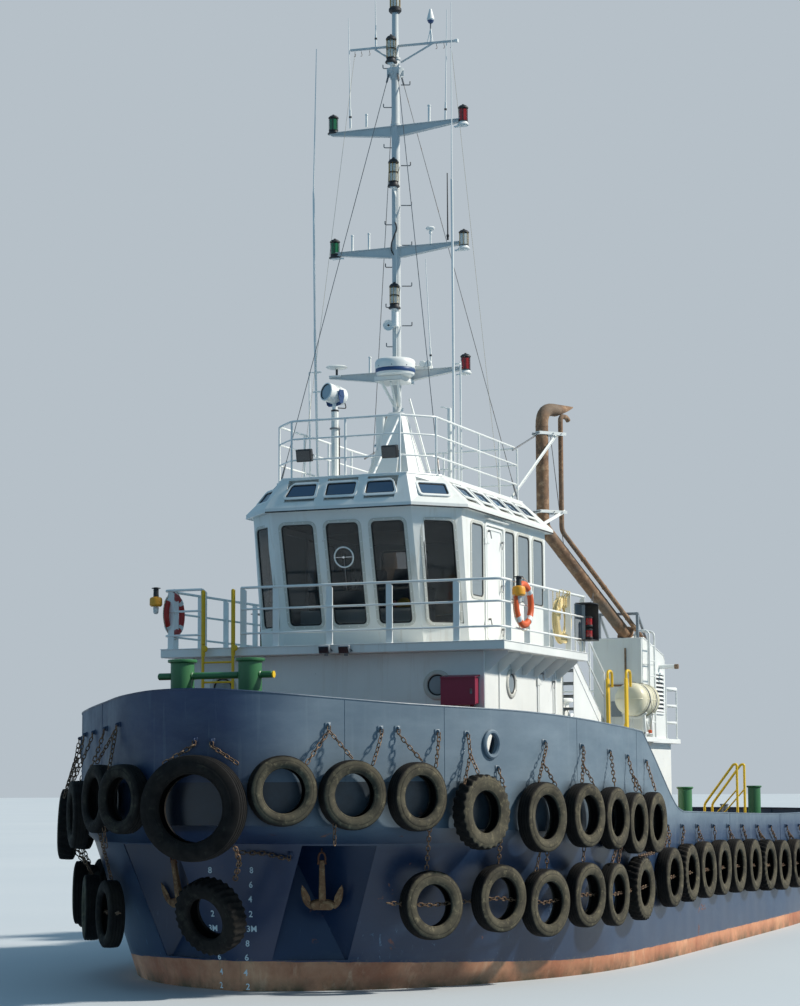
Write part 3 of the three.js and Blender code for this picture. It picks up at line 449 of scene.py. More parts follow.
def chain(s, pts, m=0, size=1.0, sag=0.0, twist=0.0):
    """Run of stadium links along a line of points, each turned a quarter from the last."""
    P = np.asarray(pts, float)
    if sag and len(P) == 2:
        t = np.linspace(0, 1, 9)
        P = P[0] + np.outer(t, P[1] - P[0]) - np.outer(4 * t * (1 - t) * sag, (0, 0, 1))
    seg = np.linalg.norm(np.diff(P, axis=0), axis=1)
    at_ = np.concatenate([[0], np.cumsum(seg)])
    pitch = 0.068 * size
    count = max(1, int(round(at_[-1] / pitch)))
    v0, q0 = LINK
    for i in range(count):
        d = (i + 0.5) * at_[-1] / count
        k = min(np.searchsorted(at_, d, side="right") - 1, len(seg) - 1)
        c = P[k] + (P[k + 1] - P[k]) * ((d - at_[k]) / max(seg[k], 1e-9))
        T = unit(P[k + 1] - P[k])
        a = axes(T)
        phi = twist + (i % 2) * math.pi / 2 + 0.25 + float(RNG.uniform(-0.18, 0.18))
        side = math.cos(phi) * a[0] + math.sin(phi) * a[1]
        s.add(v0[:, :1] * size * T + v0[:, 1:2] * size * side + v0[:, 2:3] * size * np.cross(T, side) + c, q0, m)


def mirrored(fn):
    """Runs fn once for each side of the ship: name suffix and sign of y."""
    return [fn("port", 1.0), fn("starboard", -1.0)]


# ------------------------------------------------------------------ materials
def srgb(r, g, b):
    f = lambda c: c / 12.92 if c <= 0.04045 else ((c + 0.055) / 1.055) ** 2.4
    return (f(r / 255), f(g / 255), f(b / 255), 1.0)


class Nodes:
    """Small helper that wires one material."""

    def __init__(self, name):
        self.m = bpy.data.materials.new(name)
        self.m.use_nodes = True
        self.t = self.m.node_tree
        self.bsdf = self.t.nodes["Principled BSDF"]
        self.co = self.n("ShaderNodeTexCoord").outputs["Object"]

    def n(self, kind, **sets):
        x = self.t.nodes.new(kind)
        for k, v in sets.items():
            setattr(x, k, v)
        return x

    def link(self, a, b):
        self.t.links.new(a, b)

    def put(self, socket, v):
        if isinstance(v, bpy.types.NodeSocket):
            self.link(v, socket)
        else:
            socket.default_value = v

    def scaled(self, s):
        mp = self.n("ShaderNodeMapping")
        self.link(self.co, mp.inputs["Vector"])
        mp.inputs["Scale"].default_value = s if isinstance(s, (tuple, list)) else (s, s, s)
        return mp.outputs["Vector"]

    def noise(self, scale, detail=4.0, rough=0.55, stretch=None, distort=0.0):
        x = self.n("ShaderNodeTexNoise")
        self.link(self.scaled(stretch) if stretch else self.co, x.inputs["Vector"])
        x.inputs["Scale"].default_value, x.inputs["Detail"].default_value = scale, detail
        x.inputs["Roughness"].default_value, x.inputs["Distortion"].default_value = rough, distort
        return x.outputs["Fac"]

    def voronoi(self, scale, feature="F1", out="Distance"):
        x = self.n("ShaderNodeTexVoronoi", feature=feature)
        self.link(self.co, x.inputs["Vector"])
        x.inputs["Scale"].default_value = scale
        return x.outputs[out]

    def ramp(self, fac, lo, hi, a=0.0, b=1.0):
        """Straight ramp of fac from lo..hi to a..b, clamped."""
        x = self.n("ShaderNodeMapRange", clamp=True)
        self.link(fac, x.inputs["Value"])
        x.inputs["From Min"].default_value, x.inputs["From Max"].default_value = lo, hi
        x.inputs["To Min"].default_value, x.inputs["To Max"].default_value = a, b
        return x.outputs["Result"]

    def math(self, op, a, b=0.0):
        x = self.n("ShaderNodeMath", operation=op)
        self.put(x.inputs[0], a)
        self.put(x.inputs[1], b)
        return x.outputs[0]

    def mix(self, fac, a, b):
        x = self.n("ShaderNodeMix", data_type="RGBA")
        self.put(x.inputs["Factor"], fac)
        self.put(x.inputs[6], a)
        self.put(x.inputs[7], b)
        return x.outputs[2]

    def split(self):
        x = self.n("ShaderNodeSeparateXYZ")
        self.link(self.co, x.inputs[0])
        return x.outputs

    def attr(self, name="wear"):
        x = self.n("ShaderNodeAttribute", attribute_type="GEOMETRY", attribute_name=name)
        return x.outputs["Fac"]

    def bump(self, height, strength, distance, chain_=None):
        x = self.n("ShaderNodeBump")
        self.link(height, x.inputs["Height"])
        x.inputs["Strength"].default_value, x.inputs["Distance"].default_value = strength, distance
        if chain_ is not None:
            self.link(chain_, x.inputs["Normal"])
        return x.outputs["Normal"]

    def out(self, color=None, rough=None, normal=None, metal=None, **consts):
        for key, v in (("Base Color", color), ("Roughness", rough), ("Normal", normal), ("Metallic", metal)):
            if v is not None:
                self.put(self.bsdf.inputs[key], v)
        for k, v in consts.items():
            self.bsdf.inputs[k.replace("_", " ")].default_value = v
        return self.m


RUST_DARK, RUST_MID, RUST_PALE = srgb(58, 34, 24), srgb(112, 62, 36), srgb(160, 98, 58)


def painted(name, base, rough=0.42, vary=0.12, streak=0.25, streak_color=None, rust=0.3, orange_peel=0.06, chips=0.0, coat=0.0, plates=0.0):
    """Brushed ship's paint over steel: uneven fading, run marks down the sides, specks of rust, a slightly lumpy film."""
    k = Nodes(name)
    dark = tuple(c * (1 - vary) for c in base[:3]) + (1.0,)
    pale = tuple(min(1.0, c * (1 + vary) + 0.012 * vary) for c in base[:3]) + (1.0,)
    cloud = k.noise(0.9, 5, 0.6)
    col = k.mix(k.ramp(cloud, 0.32, 0.68), dark, pale)
    run = k.noise(1.0, 5, 0.62, stretch=(9.0, 9.0, 0.55))
    mask = k.math("MULTIPLY", k.ramp(run, 0.54, 0.78), k.ramp(k.noise(0.55, 3, 0.5), 0.42, 0.66, 0.0, streak))
    col = k.mix(mask, col, streak_color or srgb(120, 100, 78))
    speck = k.noise(11.0, 8, 0.72)
    zone = k.noise(0.8, 4, 0.6, distort=0.4)
    spots = k.math("MULTIPLY", k.ramp(speck, 0.655, 0.70), k.ramp(zone, 0.52, 0.64))
    spots = k.math("MULTIPLY", spots, rust)
    rustc = k.mix(k.ramp(k.noise(40.0, 3), 0.35, 0.65), RUST_DARK, RUST_PALE)
    col = k.mix(spots, col, rustc)
    ro = k.ramp(k.noise(3.0, 6, 0.65), 0.3, 0.75, max(0.05, rough - 0.10), min(1.0, rough + 0.14))
    ro = k.math("ADD", ro, k.math("MULTIPLY", spots, 0.4))
    nb = k.bump(k.noise(60.0, 3, 0.5), 0.25, orange_peel * 0.01)
    nb = k.bump(k.noise(1.6, 3, 0.5), 0.35, 0.004 + plates, nb)
    nb = k.bump(spots, 0.5, 0.0015, nb)
    return k.out(col, ro, nb, Coat_Weight=coat, Coat_Roughness=0.25)


def topside(k, xyz):
    """Navy paint, slightly darker near the centreline; paler steel blue on the upper plating, strongest on the port
    side: partly faded paint, partly painted sheen, and painted sunlight on the port side.
    """
    cloud = k.noise(0.45, 6, 0.62)
    navy = k.mix(k.ramp(cloud, 0.35, 0.68), (0.008, 0.022, 0.066, 1.0), (0.018, 0.042, 0.112, 1.0))
    low = k.mix(k.ramp(cloud, 0.35, 0.68), (0.010, 0.026, 0.066, 1.0), (0.020, 0.048, 0.104, 1.0))
    chalk_and_sheen = k.mix(k.ramp(k.noise(0.8, 6, 0.62, stretch=(0.8, 0.8, 2.4)), 0.35, 0.68), (0.125, 0.175, 0.215, 1.0), (0.190, 0.245, 0.290, 1.0))
    side = k.ramp(k.math("ABSOLUTE", xyz[1]), 0.55, 1.7)
    top = k.ramp(xyz[2], 1.95, 2.35)
    navy = k.mix(side, navy, low)
    # paler on the port side only: painted sunlight and sheen from the port side, the starboard side kept dark
    lit = k.ramp(xyz[1], 0.55, 1.7, 0.10, 1.0)
    mask = k.math("MULTIPLY", lit, k.math("ADD", k.math("MULTIPLY", top, 0.92), 0.03))
    mask = k.math("ADD", mask, k.ramp(k.noise(1.3, 7, 0.68, stretch=(0.9, 0.9, 2.0)), 0.42, 0.75, -0.10, 0.10))
    return k.mix(mask, navy, chalk_and_sheen)


def navy_material():
    """The same paint on the bulwark and its bars."""
    k = Nodes("navy_paint_finish")
    col = topside(k, k.split())
    run = k.noise(1.0, 5, 0.62, stretch=(9.0, 9.0, 0.55))
    col = k.mix(k.math("MULTIPLY", k.ramp(run, 0.56, 0.78), 0.35), col, srgb(128, 142, 150))
    spots = k.math("MULTIPLY", k.ramp(k.noise(11.0, 8, 0.72), 0.655, 0.70), k.ramp(k.noise(0.8, 4, 0.6, distort=0.4), 0.52, 0.64))
    col = k.mix(k.math("MULTIPLY", spots, 0.6), col, k.mix(k.ramp(k.noise(40.0, 3), 0.35, 0.65), RUST_DARK, RUST_PALE))
    nb = k.bump(k.noise(1.6, 3, 0.5), 0.4, 0.014)
    nb = k.bump(k.noise(60.0, 3, 0.5), 0.25, 0.0006, nb)
    return k.out(col, k.ramp(k.noise(3.0, 6, 0.65), 0.3, 0.75, 0.36, 0.56), nb, Coat_Weight=0.06, Coat_Roughness=0.3)


# Tyre places against the plating, port half, where the hull is darkened behind each tyre as painted shade with some rub
# marks: x, y, z, radius
RUB_AND_SHADE_SPOTS = [(11.80, 1.30, 2.78, .42), (11.10, 2.02, 2.72, .42), (10.36, 2.67, 2.69, .42), (9.44, 3.27, 2.47, .46), (8.17, 3.74, 2.38, .44), (7.02, 4.01, 2.39, .42),
        (5.87, 4.14, 2.33, .42), (4.95, 4.20, 2.24, .42), (3.91, 4.21, 2.23, .42), (9.86, 2.67, 1.20, .46), (8.92, 3.33, 1.26, .46), (8.03, 3.72, 1.16, .46),
        (7.01, 4.00, 1.23, .44), (5.93, 4.15, 1.19, .44), (4.73, 4.22, 1.23, .44), (12.20, 0.20, 2.56, .60)] + [
        (x, 4.12, z, .40) for x, z in ((2.95, 1.33), (1.85, 1.36), (0.73, 1.37), (-0.37, 1.37), (-1.48, 1.36), (-2.70, 1.33), (-3.90, 1.29), (-5.15, 1.25), (-6.40, 1.24), (-7.65, 1.24))]


def hull_material():
    """Topside paint down to a sloping line, faded antifouling below it with scrapes and green at the water."""
    k = Nodes("hull_finish")
    xyz = k.split()
    # topside
    cloud = k.noise(0.45, 6, 0.62)
    navy = topside(k, xyz)
    # near black behind the tyres: painted shade of the tyres and their open middles, with some rub marks where they
    # work against the plating
    both = k.n("ShaderNodeCombineXYZ")
    k.link(xyz[0], both.inputs[0])
    k.link(k.math("ABSOLUTE", xyz[1]), both.inputs[1])
    k.link(xyz[2], both.inputs[2])
    rub_and_shade = None
    for x, y, z, r in RUB_AND_SHADE_SPOTS:
        d = k.n("ShaderNodeVectorMath", operation="DISTANCE")
        k.link(both.outputs[0], d.inputs[0])
        d.inputs[1].default_value = (x, y, z)
        f = k.ramp(d.outputs["Value"], r + 0.22, r - 0.04)
        rub_and_shade = f if rub_and_shade is None else k.math("MAXIMUM", rub_and_shade, f)
    rub_and_shade = k.math("MULTIPLY", rub_and_shade, k.ramp(k.noise(3.0, 5, 0.6), 0.25, 0.6, 0.62, 0.86))
    navy = k.mix(rub_and_shade, navy, (0.006, 0.009, 0.014, 1.0))
    scrape = k.noise(1.0, 7, 0.7, stretch=(14.0, 14.0, 1.6), distort=0.6)
    low = k.ramp(xyz[2], 1.7, 0.5)
    sc = k.math("MULTIPLY", k.ramp(scrape, 0.62, 0.70), k.math("MULTIPLY", low, k.ramp(k.noise(0.9, 4), 0.48, 0.62)))
    navy = k.mix(sc, navy, srgb(120, 146, 168))
    patch = k.math("MULTIPLY", k.ramp(k.noise(2.2, 8, 0.68, distort=0.8), 0.63, 0.67), k.ramp(k.noise(0.35, 3, 0.5), 0.50, 0.60))
    patch = k.math("MULTIPLY", patch, k.ramp(xyz[2], 2.9, 2.0))
    rustc = k.mix(k.ramp(k.noise(26.0, 4), 0.35, 0.65), RUST_DARK, RUST_PALE)
    navy = k.mix(k.math("MULTIPLY", patch, 0.85), navy, rustc)
    # antifouling
    red = k.mix(k.ramp(k.noise(0.8, 7, 0.68), 0.36, 0.66), srgb(180, 108, 74), srgb(226, 160, 118))
    worn = k.noise(1.0, 7, 0.7, stretch=(2.6, 2.6, 0.9), distort=0.5)
    red = k.mix(k.ramp(worn, 0.56, 0.70, 0.0, 0.7), red, srgb(236, 186, 146))
    red = k.mix(k.math("MULTIPLY", k.ramp(k.noise(1.0, 6, 0.7, stretch=(10, 10, 0.8)), 0.55, 0.72), 0.40), red, srgb(128, 96, 68))
    slime = k.math("MULTIPLY", k.ramp(xyz[2], 0.20, -0.02), k.ramp(k.noise(2.4, 6, 0.7), 0.30, 0.60))
    red = k.mix(slime, red, srgb(58, 62, 36))
    # line between them: 0.43 m up at the stem, 0.25 m from x = 6.5 aft
    line = k.math("ADD", k.ramp(xyz[0], 6.5, 10.6, 0.245, 0.43), k.ramp(k.noise(3.0, 3), 0.3, 0.7, -0.008, 0.008))
    above = k.math("SUBTRACT", xyz[2], line)
    fac = k.ramp(above, -0.004, 0.004)
    col = k.mix(fac, red, navy)
    edge = k.math("MULTIPLY", k.ramp(k.math("ABSOLUTE", above), 0.05, 0.0, 0.0, 1.0), k.ramp(k.noise(9.0, 5, 0.7), 0.52, 0.66))
    col = k.mix(k.math("MULTIPLY", edge, 0.6), col, srgb(120, 112, 96))
    ro = k.mix(fac, k.ramp(k.noise(5, 4), 0.3, 0.7, 0.62, 0.9), k.ramp(cloud, 0.3, 0.7, 0.30, 0.46))
    ro = k.math("ADD", ro, k.math("MULTIPLY", k.math("ADD", sc, patch), 0.3))
    frames = k.n("ShaderNodeTexWave", wave_type="BANDS", bands_direction="X", wave_profile="SIN")
    k.link(k.co, frames.inputs["Vector"])
    frames.inputs["Scale"].default_value, frames.inputs["Distortion"].default_value = 0.52, 0.6
    nb = k.bump(frames.outputs["Fac"], 0.35, 0.006)
    nb = k.bump(k.noise(0.9, 4, 0.5), 0.5, 0.02, nb)
    nb = k.bump(k.noise(45.0, 3, 0.5), 0.2, 0.0008, nb)
    nb = k.bump(k.math("ADD", sc, patch), 0.5, 0.002, nb)
    return k.out(col, ro, nb, Coat_Weight=0.12, Coat_Roughness=0.3)


def rubber_material():
    """Worn tyre rubber: near black tread, olive grey scuffed side wall where wear is 1; tyres in shade are given little
    wear, so their dark side walls are painted shade.
    """
    k = Nodes("tyre_rubber_finish")
    w = k.attr()
    black = k.mix(k.ramp(k.noise(3.0, 6, 0.6), 0.3, 0.7), srgb(11, 11, 12), srgb(27, 25, 23))
    wall = k.mix(k.ramp(k.noise(4.0, 6, 0.65), 0.32, 0.7), srgb(50, 47, 39), srgb(96, 90, 74))
    wall = k.mix(k.ramp(k.noise(14.0, 6, 0.7), 0.54, 0.70, 0.0, 0.6), wall, srgb(142, 131, 104))
    fac = k.ramp(k.math("ADD", w, k.ramp(k.noise(6.0, 5, 0.7), 0.3, 0.7, -0.22, 0.22)), 0.25, 0.8)
    col = k.mix(fac, black, wall)
    dust = k.math("MULTIPLY", k.ramp(k.noise(1.6, 4, 0.6), 0.52, 0.7), 0.10)
    col = k.mix(dust, col, srgb(104, 92, 74))
    nb = k.bump(k.noise(26.0, 5, 0.65), 0.5, 0.003)
    nb = k.bump(k.noise(150.0, 2, 0.5), 0.3, 0.0006, nb)
    return k.out(col, k.ramp(k.noise(8, 4), 0.3, 0.7, 0.72, 0.95), nb, Specular_IOR_Level=0.22)


def rusty(name, dark, mid, pale, rough=0.82, scale=1.0, metal=0.15, wash=None):
    k = Nodes(name)
    a = k.noise(3.5 * scale, 8, 0.68, distort=0.3)
    col = k.mix(k.ramp(a, 0.30, 0.52), dark, mid)
    col = k.mix(k.ramp(k.noise(9.0 * scale, 6, 0.7), 0.50, 0.70), col, pale)
    if wash is not None:
        col = k.mix(k.ramp(k.noise(1.2 * scale, 5, 0.6), 0.48, 0.62, 0.0, 0.8), col, wash)
    nb = k.bump(k.noise(30.0 * scale, 6, 0.7), 0.55, 0.003)
    nb = k.bump(a, 0.4, 0.006, nb)
    return k.out(col, k.ramp(a, 0.3, 0.7, rough - 0.12, min(1, rough + 0.12)), nb, Metallic=metal)


def bare(name, color, rough, metal=1.0, grain=60.0, vary=0.18, tarnish=None):
    k = Nodes(name)
    dark = tuple(c * (1 - vary) for c in color[:3]) + (1.0,)
    col = k.mix(k.ramp(k.noise(5.0, 6, 0.6), 0.35, 0.65), dark, color)
    if tarnish is not None:
        col = k.mix(k.ramp(k.noise(9.0, 6, 0.7), 0.50, 0.68, 0.0, 0.8), col, tarnish)
    nb = k.bump(k.noise(grain, 4, 0.6), 0.25, 0.0008)
    return k.out(col, k.ramp(k.noise(12, 5), 0.3, 0.7, max(0.04, rough - 0.08), rough + 0.12), nb, Metallic=metal)


def glass_material(name, color, alpha, rough=0.04, tint_dirt=True):
    k = Nodes(name)
    dirt = k.ramp(k.noise(2.5, 6, 0.65), 0.45, 0.8, 0.0, 0.25)
    col = k.mix(dirt, color, srgb(120, 126, 124))
    m = k.out(col, k.ramp(k.noise(3.0, 4), 0.3, 0.7, rough, rough + 0.07), k.bump(k.noise(1.1, 2, 0.4), 0.15, 0.004))
    k.bsdf.inputs["Alpha"].default_value = alpha
    k.bsdf.inputs["Specular IOR Level"].default_value = 0.75
    return m


def deck_material():
    k = Nodes("deck_paint_finish")
    a = k.noise(1.3, 7, 0.65)
    col = k.mix(k.ramp(a, 0.34, 0.66), srgb(84, 40, 34), srgb(124, 66, 52))
    col = k.mix(k.ramp(k.noise(4.0, 8, 0.7, distort=0.5), 0.60, 0.70, 0.0, 0.75), col, srgb(96, 84, 76))
    col = k.mix(k.ramp(k.noise(0.7, 4, 0.6), 0.56, 0.72, 0.0, 0.5), col, srgb(60, 42, 38))
    grit = k.noise(220.0, 2, 0.5)
    nb = k.bump(grit, 0.45, 0.0012)
    nb = k.bump(a, 0.3, 0.006, nb)
    return k.out(col, k.ramp(a, 0.3, 0.7, 0.6, 0.9), nb)


def rope_material(name="rope_finish", dark=srgb(150, 138, 112), pale=srgb(214, 204, 178), soil=srgb(120, 108, 84)):
    k = Nodes(name)
    w = k.n("ShaderNodeTexWave", wave_type="BANDS", bands_direction="DIAGONAL")
    k.link(k.co, w.inputs["Vector"])
    w.inputs["Scale"].default_value, w.inputs["Distortion"].default_value = 18.0, 1.5
    col = k.mix(w.outputs["Fac"], dark, pale)
    col = k.mix(k.ramp(k.noise(8, 5, 0.7), 0.5, 0.7, 0, 0.4), col, soil)
    nb = k.bump(w.outputs["Fac"], 0.7, 0.006)
    nb = k.bump(k.noise(160, 3), 0.3, 0.001, nb)
    return k.out(col, 0.9, nb, Sheen_Weight=0.2)


def raft_material():
    k = Nodes("liferaft_shell_finish")
    xyz = k.split()
    col = k.mix(k.ramp(k.noise(1.4, 6, 0.6), 0.35, 0.68), srgb(214, 204, 170), srgb(238, 232, 206))
    col = k.mix(k.math("MULTIPLY", k.ramp(k.noise(1.0, 6, 0.7, stretch=(7, 7, 0.8)), 0.55, 0.75), 0.45), col, srgb(150, 128, 92))
    nb = k.bump(k.noise(90, 3), 0.2, 0.0006)
    nb = k.bump(k.noise(5, 3), 0.3, 0.003, nb)
    return k.out(col, k.ramp(k.noise(4, 4), 0.3, 0.7, 0.30, 0.48), nb, Coat_Weight=0.25, Coat_Roughness=0.15)


M = {
    "hull": hull_material(),
    "navy": navy_material(),
    "white": painted("white_paint_finish", srgb(232, 233, 228), rough=0.38, vary=0.05, streak=0.42, streak_color=srgb(168, 146, 112), rust=0.75),
    "white_clean": painted("white_trim_finish", srgb(236, 237, 233), rough=0.36, vary=0.05, streak=0.16, streak_color=srgb(160, 140, 108), rust=0.45),
    "frame": painted("window_frame_finish", srgb(198, 198, 190), rough=0.42, vary=0.07, streak=0.25, streak_color=srgb(150, 132, 104), rust=0.6),
    "mast": painted("mast_paint_finish", srgb(205, 208, 207), rough=0.44, vary=0.06, streak=0.30, streak_color=srgb(160, 138, 106), rust=0.8),
    "green": painted("green_paint_finish", srgb(52, 112, 66), rough=0.40, vary=0.16, streak=0.35, streak_color=srgb(112, 132, 84), rust=0.9, coat=0.1),
    "yellow": painted("yellow_paint_finish", srgb(226, 184, 24), rough=0.40, vary=0.10, streak=0.30, streak_color=srgb(150, 108, 40), rust=0.9),
    "red": painted("red_paint_finish", srgb(168, 36, 30), rough=0.40, vary=0.12, streak=0.25, streak_color=srgb(110, 50, 40), rust=0.4),
    "blue": painted("blue_trim_finish", srgb(40, 72, 118), rough=0.40, vary=0.10, streak=0.2, rust=0.3),
    "dark": painted("dark_paint_finish", srgb(36, 38, 41), rough=0.50, vary=0.2, streak=0.2, rust=0.5),
    "grey": painted("grey_paint_finish", srgb(138, 146, 152), rough=0.46, vary=0.12, streak=0.35, rust=0.7),
    "deck": deck_material(),
    "rubber": rubber_material(),
    "crimson": painted("crimson_paint_finish", srgb(142, 40, 66), rough=0.42, vary=0.12, streak=0.25, streak_color=srgb(96, 44, 48), rust=0.4),
    "rust": rusty("rusty_steel_finish", srgb(50, 32, 26), srgb(104, 62, 42), srgb(150, 96, 62)),
    "anchor": rusty("anchor_finish", srgb(88, 58, 40), srgb(150, 106, 72), srgb(196, 156, 112), scale=1.6),
    "pipe": rusty("exhaust_finish", srgb(78, 58, 46), srgb(140, 108, 82), srgb(188, 156, 124), wash=srgb(122, 108, 94)),
    "chain": rusty("chain_steel_finish", srgb(46, 38, 34), srgb(108, 84, 66), srgb(168, 146, 118), scale=3.0, metal=0.5, rough=0.62),
    "bronze": bare("bronze_finish", srgb(176, 132, 66), 0.30, tarnish=srgb(92, 96, 60)),
    "brass": bare("brass_fitting_finish", srgb(196, 158, 84), 0.30, tarnish=srgb(120, 96, 52)),
    "chrome": bare("chrome_fitting_finish", srgb(206, 208, 210), 0.16),
    "steel": bare("grey_steel_finish", srgb(128, 132, 136), 0.42, metal=0.85, tarnish=srgb(110, 86, 66)),
    "raft": raft_material(),
    "rope": rope_material(),
    "line": rope_material("line_finish", srgb(220, 190, 126), srgb(250, 234, 182), srgb(200, 166, 104)),
    "amber": painted("amber_plastic_finish", srgb(230, 160, 40), rough=0.42, vary=0.12, streak=0.2, streak_color=srgb(170, 110, 40), rust=0.0),
    "orange": painted("orange_plastic_finish", srgb(214, 92, 38), rough=0.45, vary=0.12, streak=0.2, rust=0.0),
    "glass": glass_material("window_glass_finish", srgb(14, 22, 26), 0.40),
    # pale, nearly opaque grey panes: painted sky reflection
    "shade": glass_material("pale_reflection_glass_finish", srgb(150, 158, 162), 0.82),
    "sky": glass_material("skylight_glass_finish", srgb(70, 96, 122), 0.90),
    "flood": glass_material("floodlight_glass_finish", srgb(44, 50, 54), 0.95),
    "lamp": glass_material("lamp_glass_finish", srgb(214, 220, 216), 0.75, 0.08),
    "lens": glass_material("searchlight_lens_finish", srgb(176, 192, 200), 0.9, 0.06),
    "redlamp": glass_material("red_lamp_finish", srgb(170, 24, 20), 0.92, 0.08),
    "greenlamp": glass_material("green_lamp_finish", srgb(24, 120, 70), 0.92, 0.08),
    "mark": painted("mark_white_finish", srgb(222, 226, 224), rough=0.5, vary=0.1, streak=0.3, rust=0.4),
    "seal": painted("rubber_seal_finish", srgb(26, 27, 28), rough=0.7, vary=0.2, streak=0.0, rust=0.0),
    "panel": painted("console_finish", srgb(52, 54, 56), rough=0.55, vary=0.1, streak=0.0, rust=0.0),
    "wood": painted("cabin_lining_finish", srgb(150, 124, 92), rough=0.6, vary=0.18, streak=0.0, rust=0.0),
    "fabric": painted("seat_cover_finish", srgb(40, 46, 56), rough=0.9, vary=0.2, streak=0.0, rust=0.0),
}
SLOT = {"hull": "hull_paint", "navy": "navy_paint", "white": "white_paint", "white_clean": "white_paint", "mast": "white_paint", "frame": "white_paint", "green": "green_paint", "yellow": "yellow_paint",
        "red": "red_paint", "crimson": "red_paint", "dark": "dark_paint", "grey": "grey_steel", "deck": "deck_paint", "rubber": "tyre_rubber", "rust": "rusty_steel", "anchor": "rusty_steel",
        "pipe": "rusty_steel", "chain": "chain_steel", "bronze": "bronze", "brass": "brass_fitting", "chrome": "chrome_fitting", "steel": "grey_steel",
        "raft": "liferaft_shell", "rope": "rope", "orange": "orange_plastic", "amber": "orange_plastic", "glass": "window_glass", "shade": "window_glass", "sky": "window_glass", "flood": "lamp_glass", "line": "rope", "lamp": "lamp_glass", "redlamp": "red_lamp",
        "greenlamp": "green_lamp", "mark": "mark_white", "seal": "rubber_seal"}


class Piece(Shape):
    """A shape whose faces name their material by word."""

    def __init__(self):
        super().__init__()
        self.words = []

    def k(self, word):
        if word not in self.words:
            self.words.append(word)
        return self.words.index(word)

    def done(self, name, body="root", hides=(), **kw):
        if self.n == 0:
            return None
        return self.build(name, [M[w] for w in self.words], body, SLOT.get(self.words[0]), hides, **kw)


# ------------------------------------------------------------------ hull form
# Columns: upper plan x y | knuckle x y (z 2.040) | waterline x y | chine x y z | bottom x y z
HULL = np.array([
    [12180, 0, 10400, 0, 10350, 0, 10050, 0, -900, 9300, 0, -2160],
    [12060, 520, 10480, 550, 10220, 350, 9900, 200, -900, 9150, 60, -2160],
    [11790, 1050, 10450, 1110, 9950, 1000, 9500, 680, -900, 8700, 150, -2180],
    [11090, 1780, 10200, 1880, 9500, 1680, 8900, 1200, -900, 8000, 300, -2200],
    [10310, 2480, 9750, 2500, 8950, 2220, 8200, 1700, -900, 7200, 500, -2230],
    [9460, 3060, 9050, 3050, 8330, 2680, 7400, 2200, -900, 6400, 800, -2260],
    [8550, 3440, 8200, 3450, 7500, 3130, 6500, 2700, -900, 5500, 1150, -2300],
    [7600, 3720, 7350, 3720, 6700, 3480, 5600, 3080, -900, 4600, 1500, -2330],
    [6630, 3900, 6450, 3900, 5900, 3720, 4700, 3380, -900, 3700, 1800, -2360],
    [5140, 4020, 5100, 4020, 4700, 3920, 3800, 3620, -900, 2600, 2100, -2400],
    [3300, 4050, 3300, 4050, 3300, 4010, 2300, 3780, -900, 1000, 2300, -2400],
    [0, 4050, 0, 0, 0, 4050, 0, 3850, -900, -1500, 2300, -2400],
    [-3300, 4050, 0, 0, -3300, 4050, -3300, 3850, -950, -3500, 2200, -2350],
    [-6500, 4050, 0, 0, -6500, 4030, -6300, 3750, -900, -5500, 1900, -2250],
    [-9300, 4000, 0, 0, -9200, 3900, -8800, 3500, -700, -7300, 1400, -2000],
    [-11000, 3850, 0, 0, -10800, 3700, -10300, 3200, -450, -8600, 900, -1600],
    [-12000, 3300, 0, 0, -11800, 3150, -11300, 2700, -350, -9500, 500, -1200],
    [-12200, 2600, 0, 0, -12050, 2500, -11500, 2200, -350, -9800, 300, -1100],
    [-12250, 0, 0, 0, -12100, 0, -11550, 0, -350, -9850, 0, -1100],
]) / 1000.0
SHELF = np.array([2330, 2330, 2320, 2300, 2270, 2240, 2200, 2160, 2120, 2090, 2060]) / 1000.0
BOW_TOP = np.array([4160, 4150, 4110, 4040, 3975, 3935, 3910, 3870, 3820, 3745]) / 1000.0
FORE_DECK, MAIN_DECK, BREAK_X = 2.900, 1.300, 3.300
PER = [8] * 10 + [4, 4, 4, 4, 6, 8, 6, 10]
FORE_COLS = sum(PER[:10]) + 1


def mirror_ghost(P, both=True):
    f = np.array([1.0, -1.0] + [1.0] * (P.shape[1] - 2))
    return (P[1] * f, P[-2] * f if both else 2 * P[-1] - P[-2])


def fore_line(P, after):
    return spline(P, PER[:10], (P[1] * np.array([1.0, -1.0] + [1.0] * (P.shape[1] - 2)), after))


def full_line(P):
    return spline(P, PER, mirror_ghost(P))


def with_z(P, z):
    return np.column_stack([P[:, :2], np.broadcast_to(z, (len(P),))])


mix = MAIN_DECK / 2.040
water = full_line(with_z(HULL[:, 4:6], 0.0))
chine = full_line(HULL[:, 6:9])
bottom = full_line(HULL[:, 9:12])
knuckle = fore_line(with_z(HULL[:11, 2:4], 2.040), (0.0, 4.050, 2.040))
shelf = fore_line(np.column_stack([HULL[:11, 0:2], SHELF]), (0.0, 4.050, 2.02))
upper = fore_line(with_z(HULL[:11, 0:2], FORE_DECK), (0.0, 4.050, FORE_DECK))
main = np.vstack([HULL[:11, 4:6] + (HULL[:11, 2:4] - HULL[:11, 4:6]) * mix, HULL[11:, 0:2]])
main = full_line(with_z(main, MAIN_DECK))

p0, p2 = water + (chine - water) * 0.5, chine + (bottom - chine) * 0.42
bilge = [(1 - t) ** 2 * p0 + 2 * t * (1 - t) * chine + t * t * p2 for t in (1.0, 0.8, 0.6, 0.4, 0.2, 0.0)]
LOW = [bottom, (bottom + p2) / 2] + bilge + [water, (water + main) / 2, main]
HIGH = [main[:FORE_COLS], (main[:FORE_COLS] + knuckle) / 2, knuckle, shelf, (shelf + upper) / 2, upper]


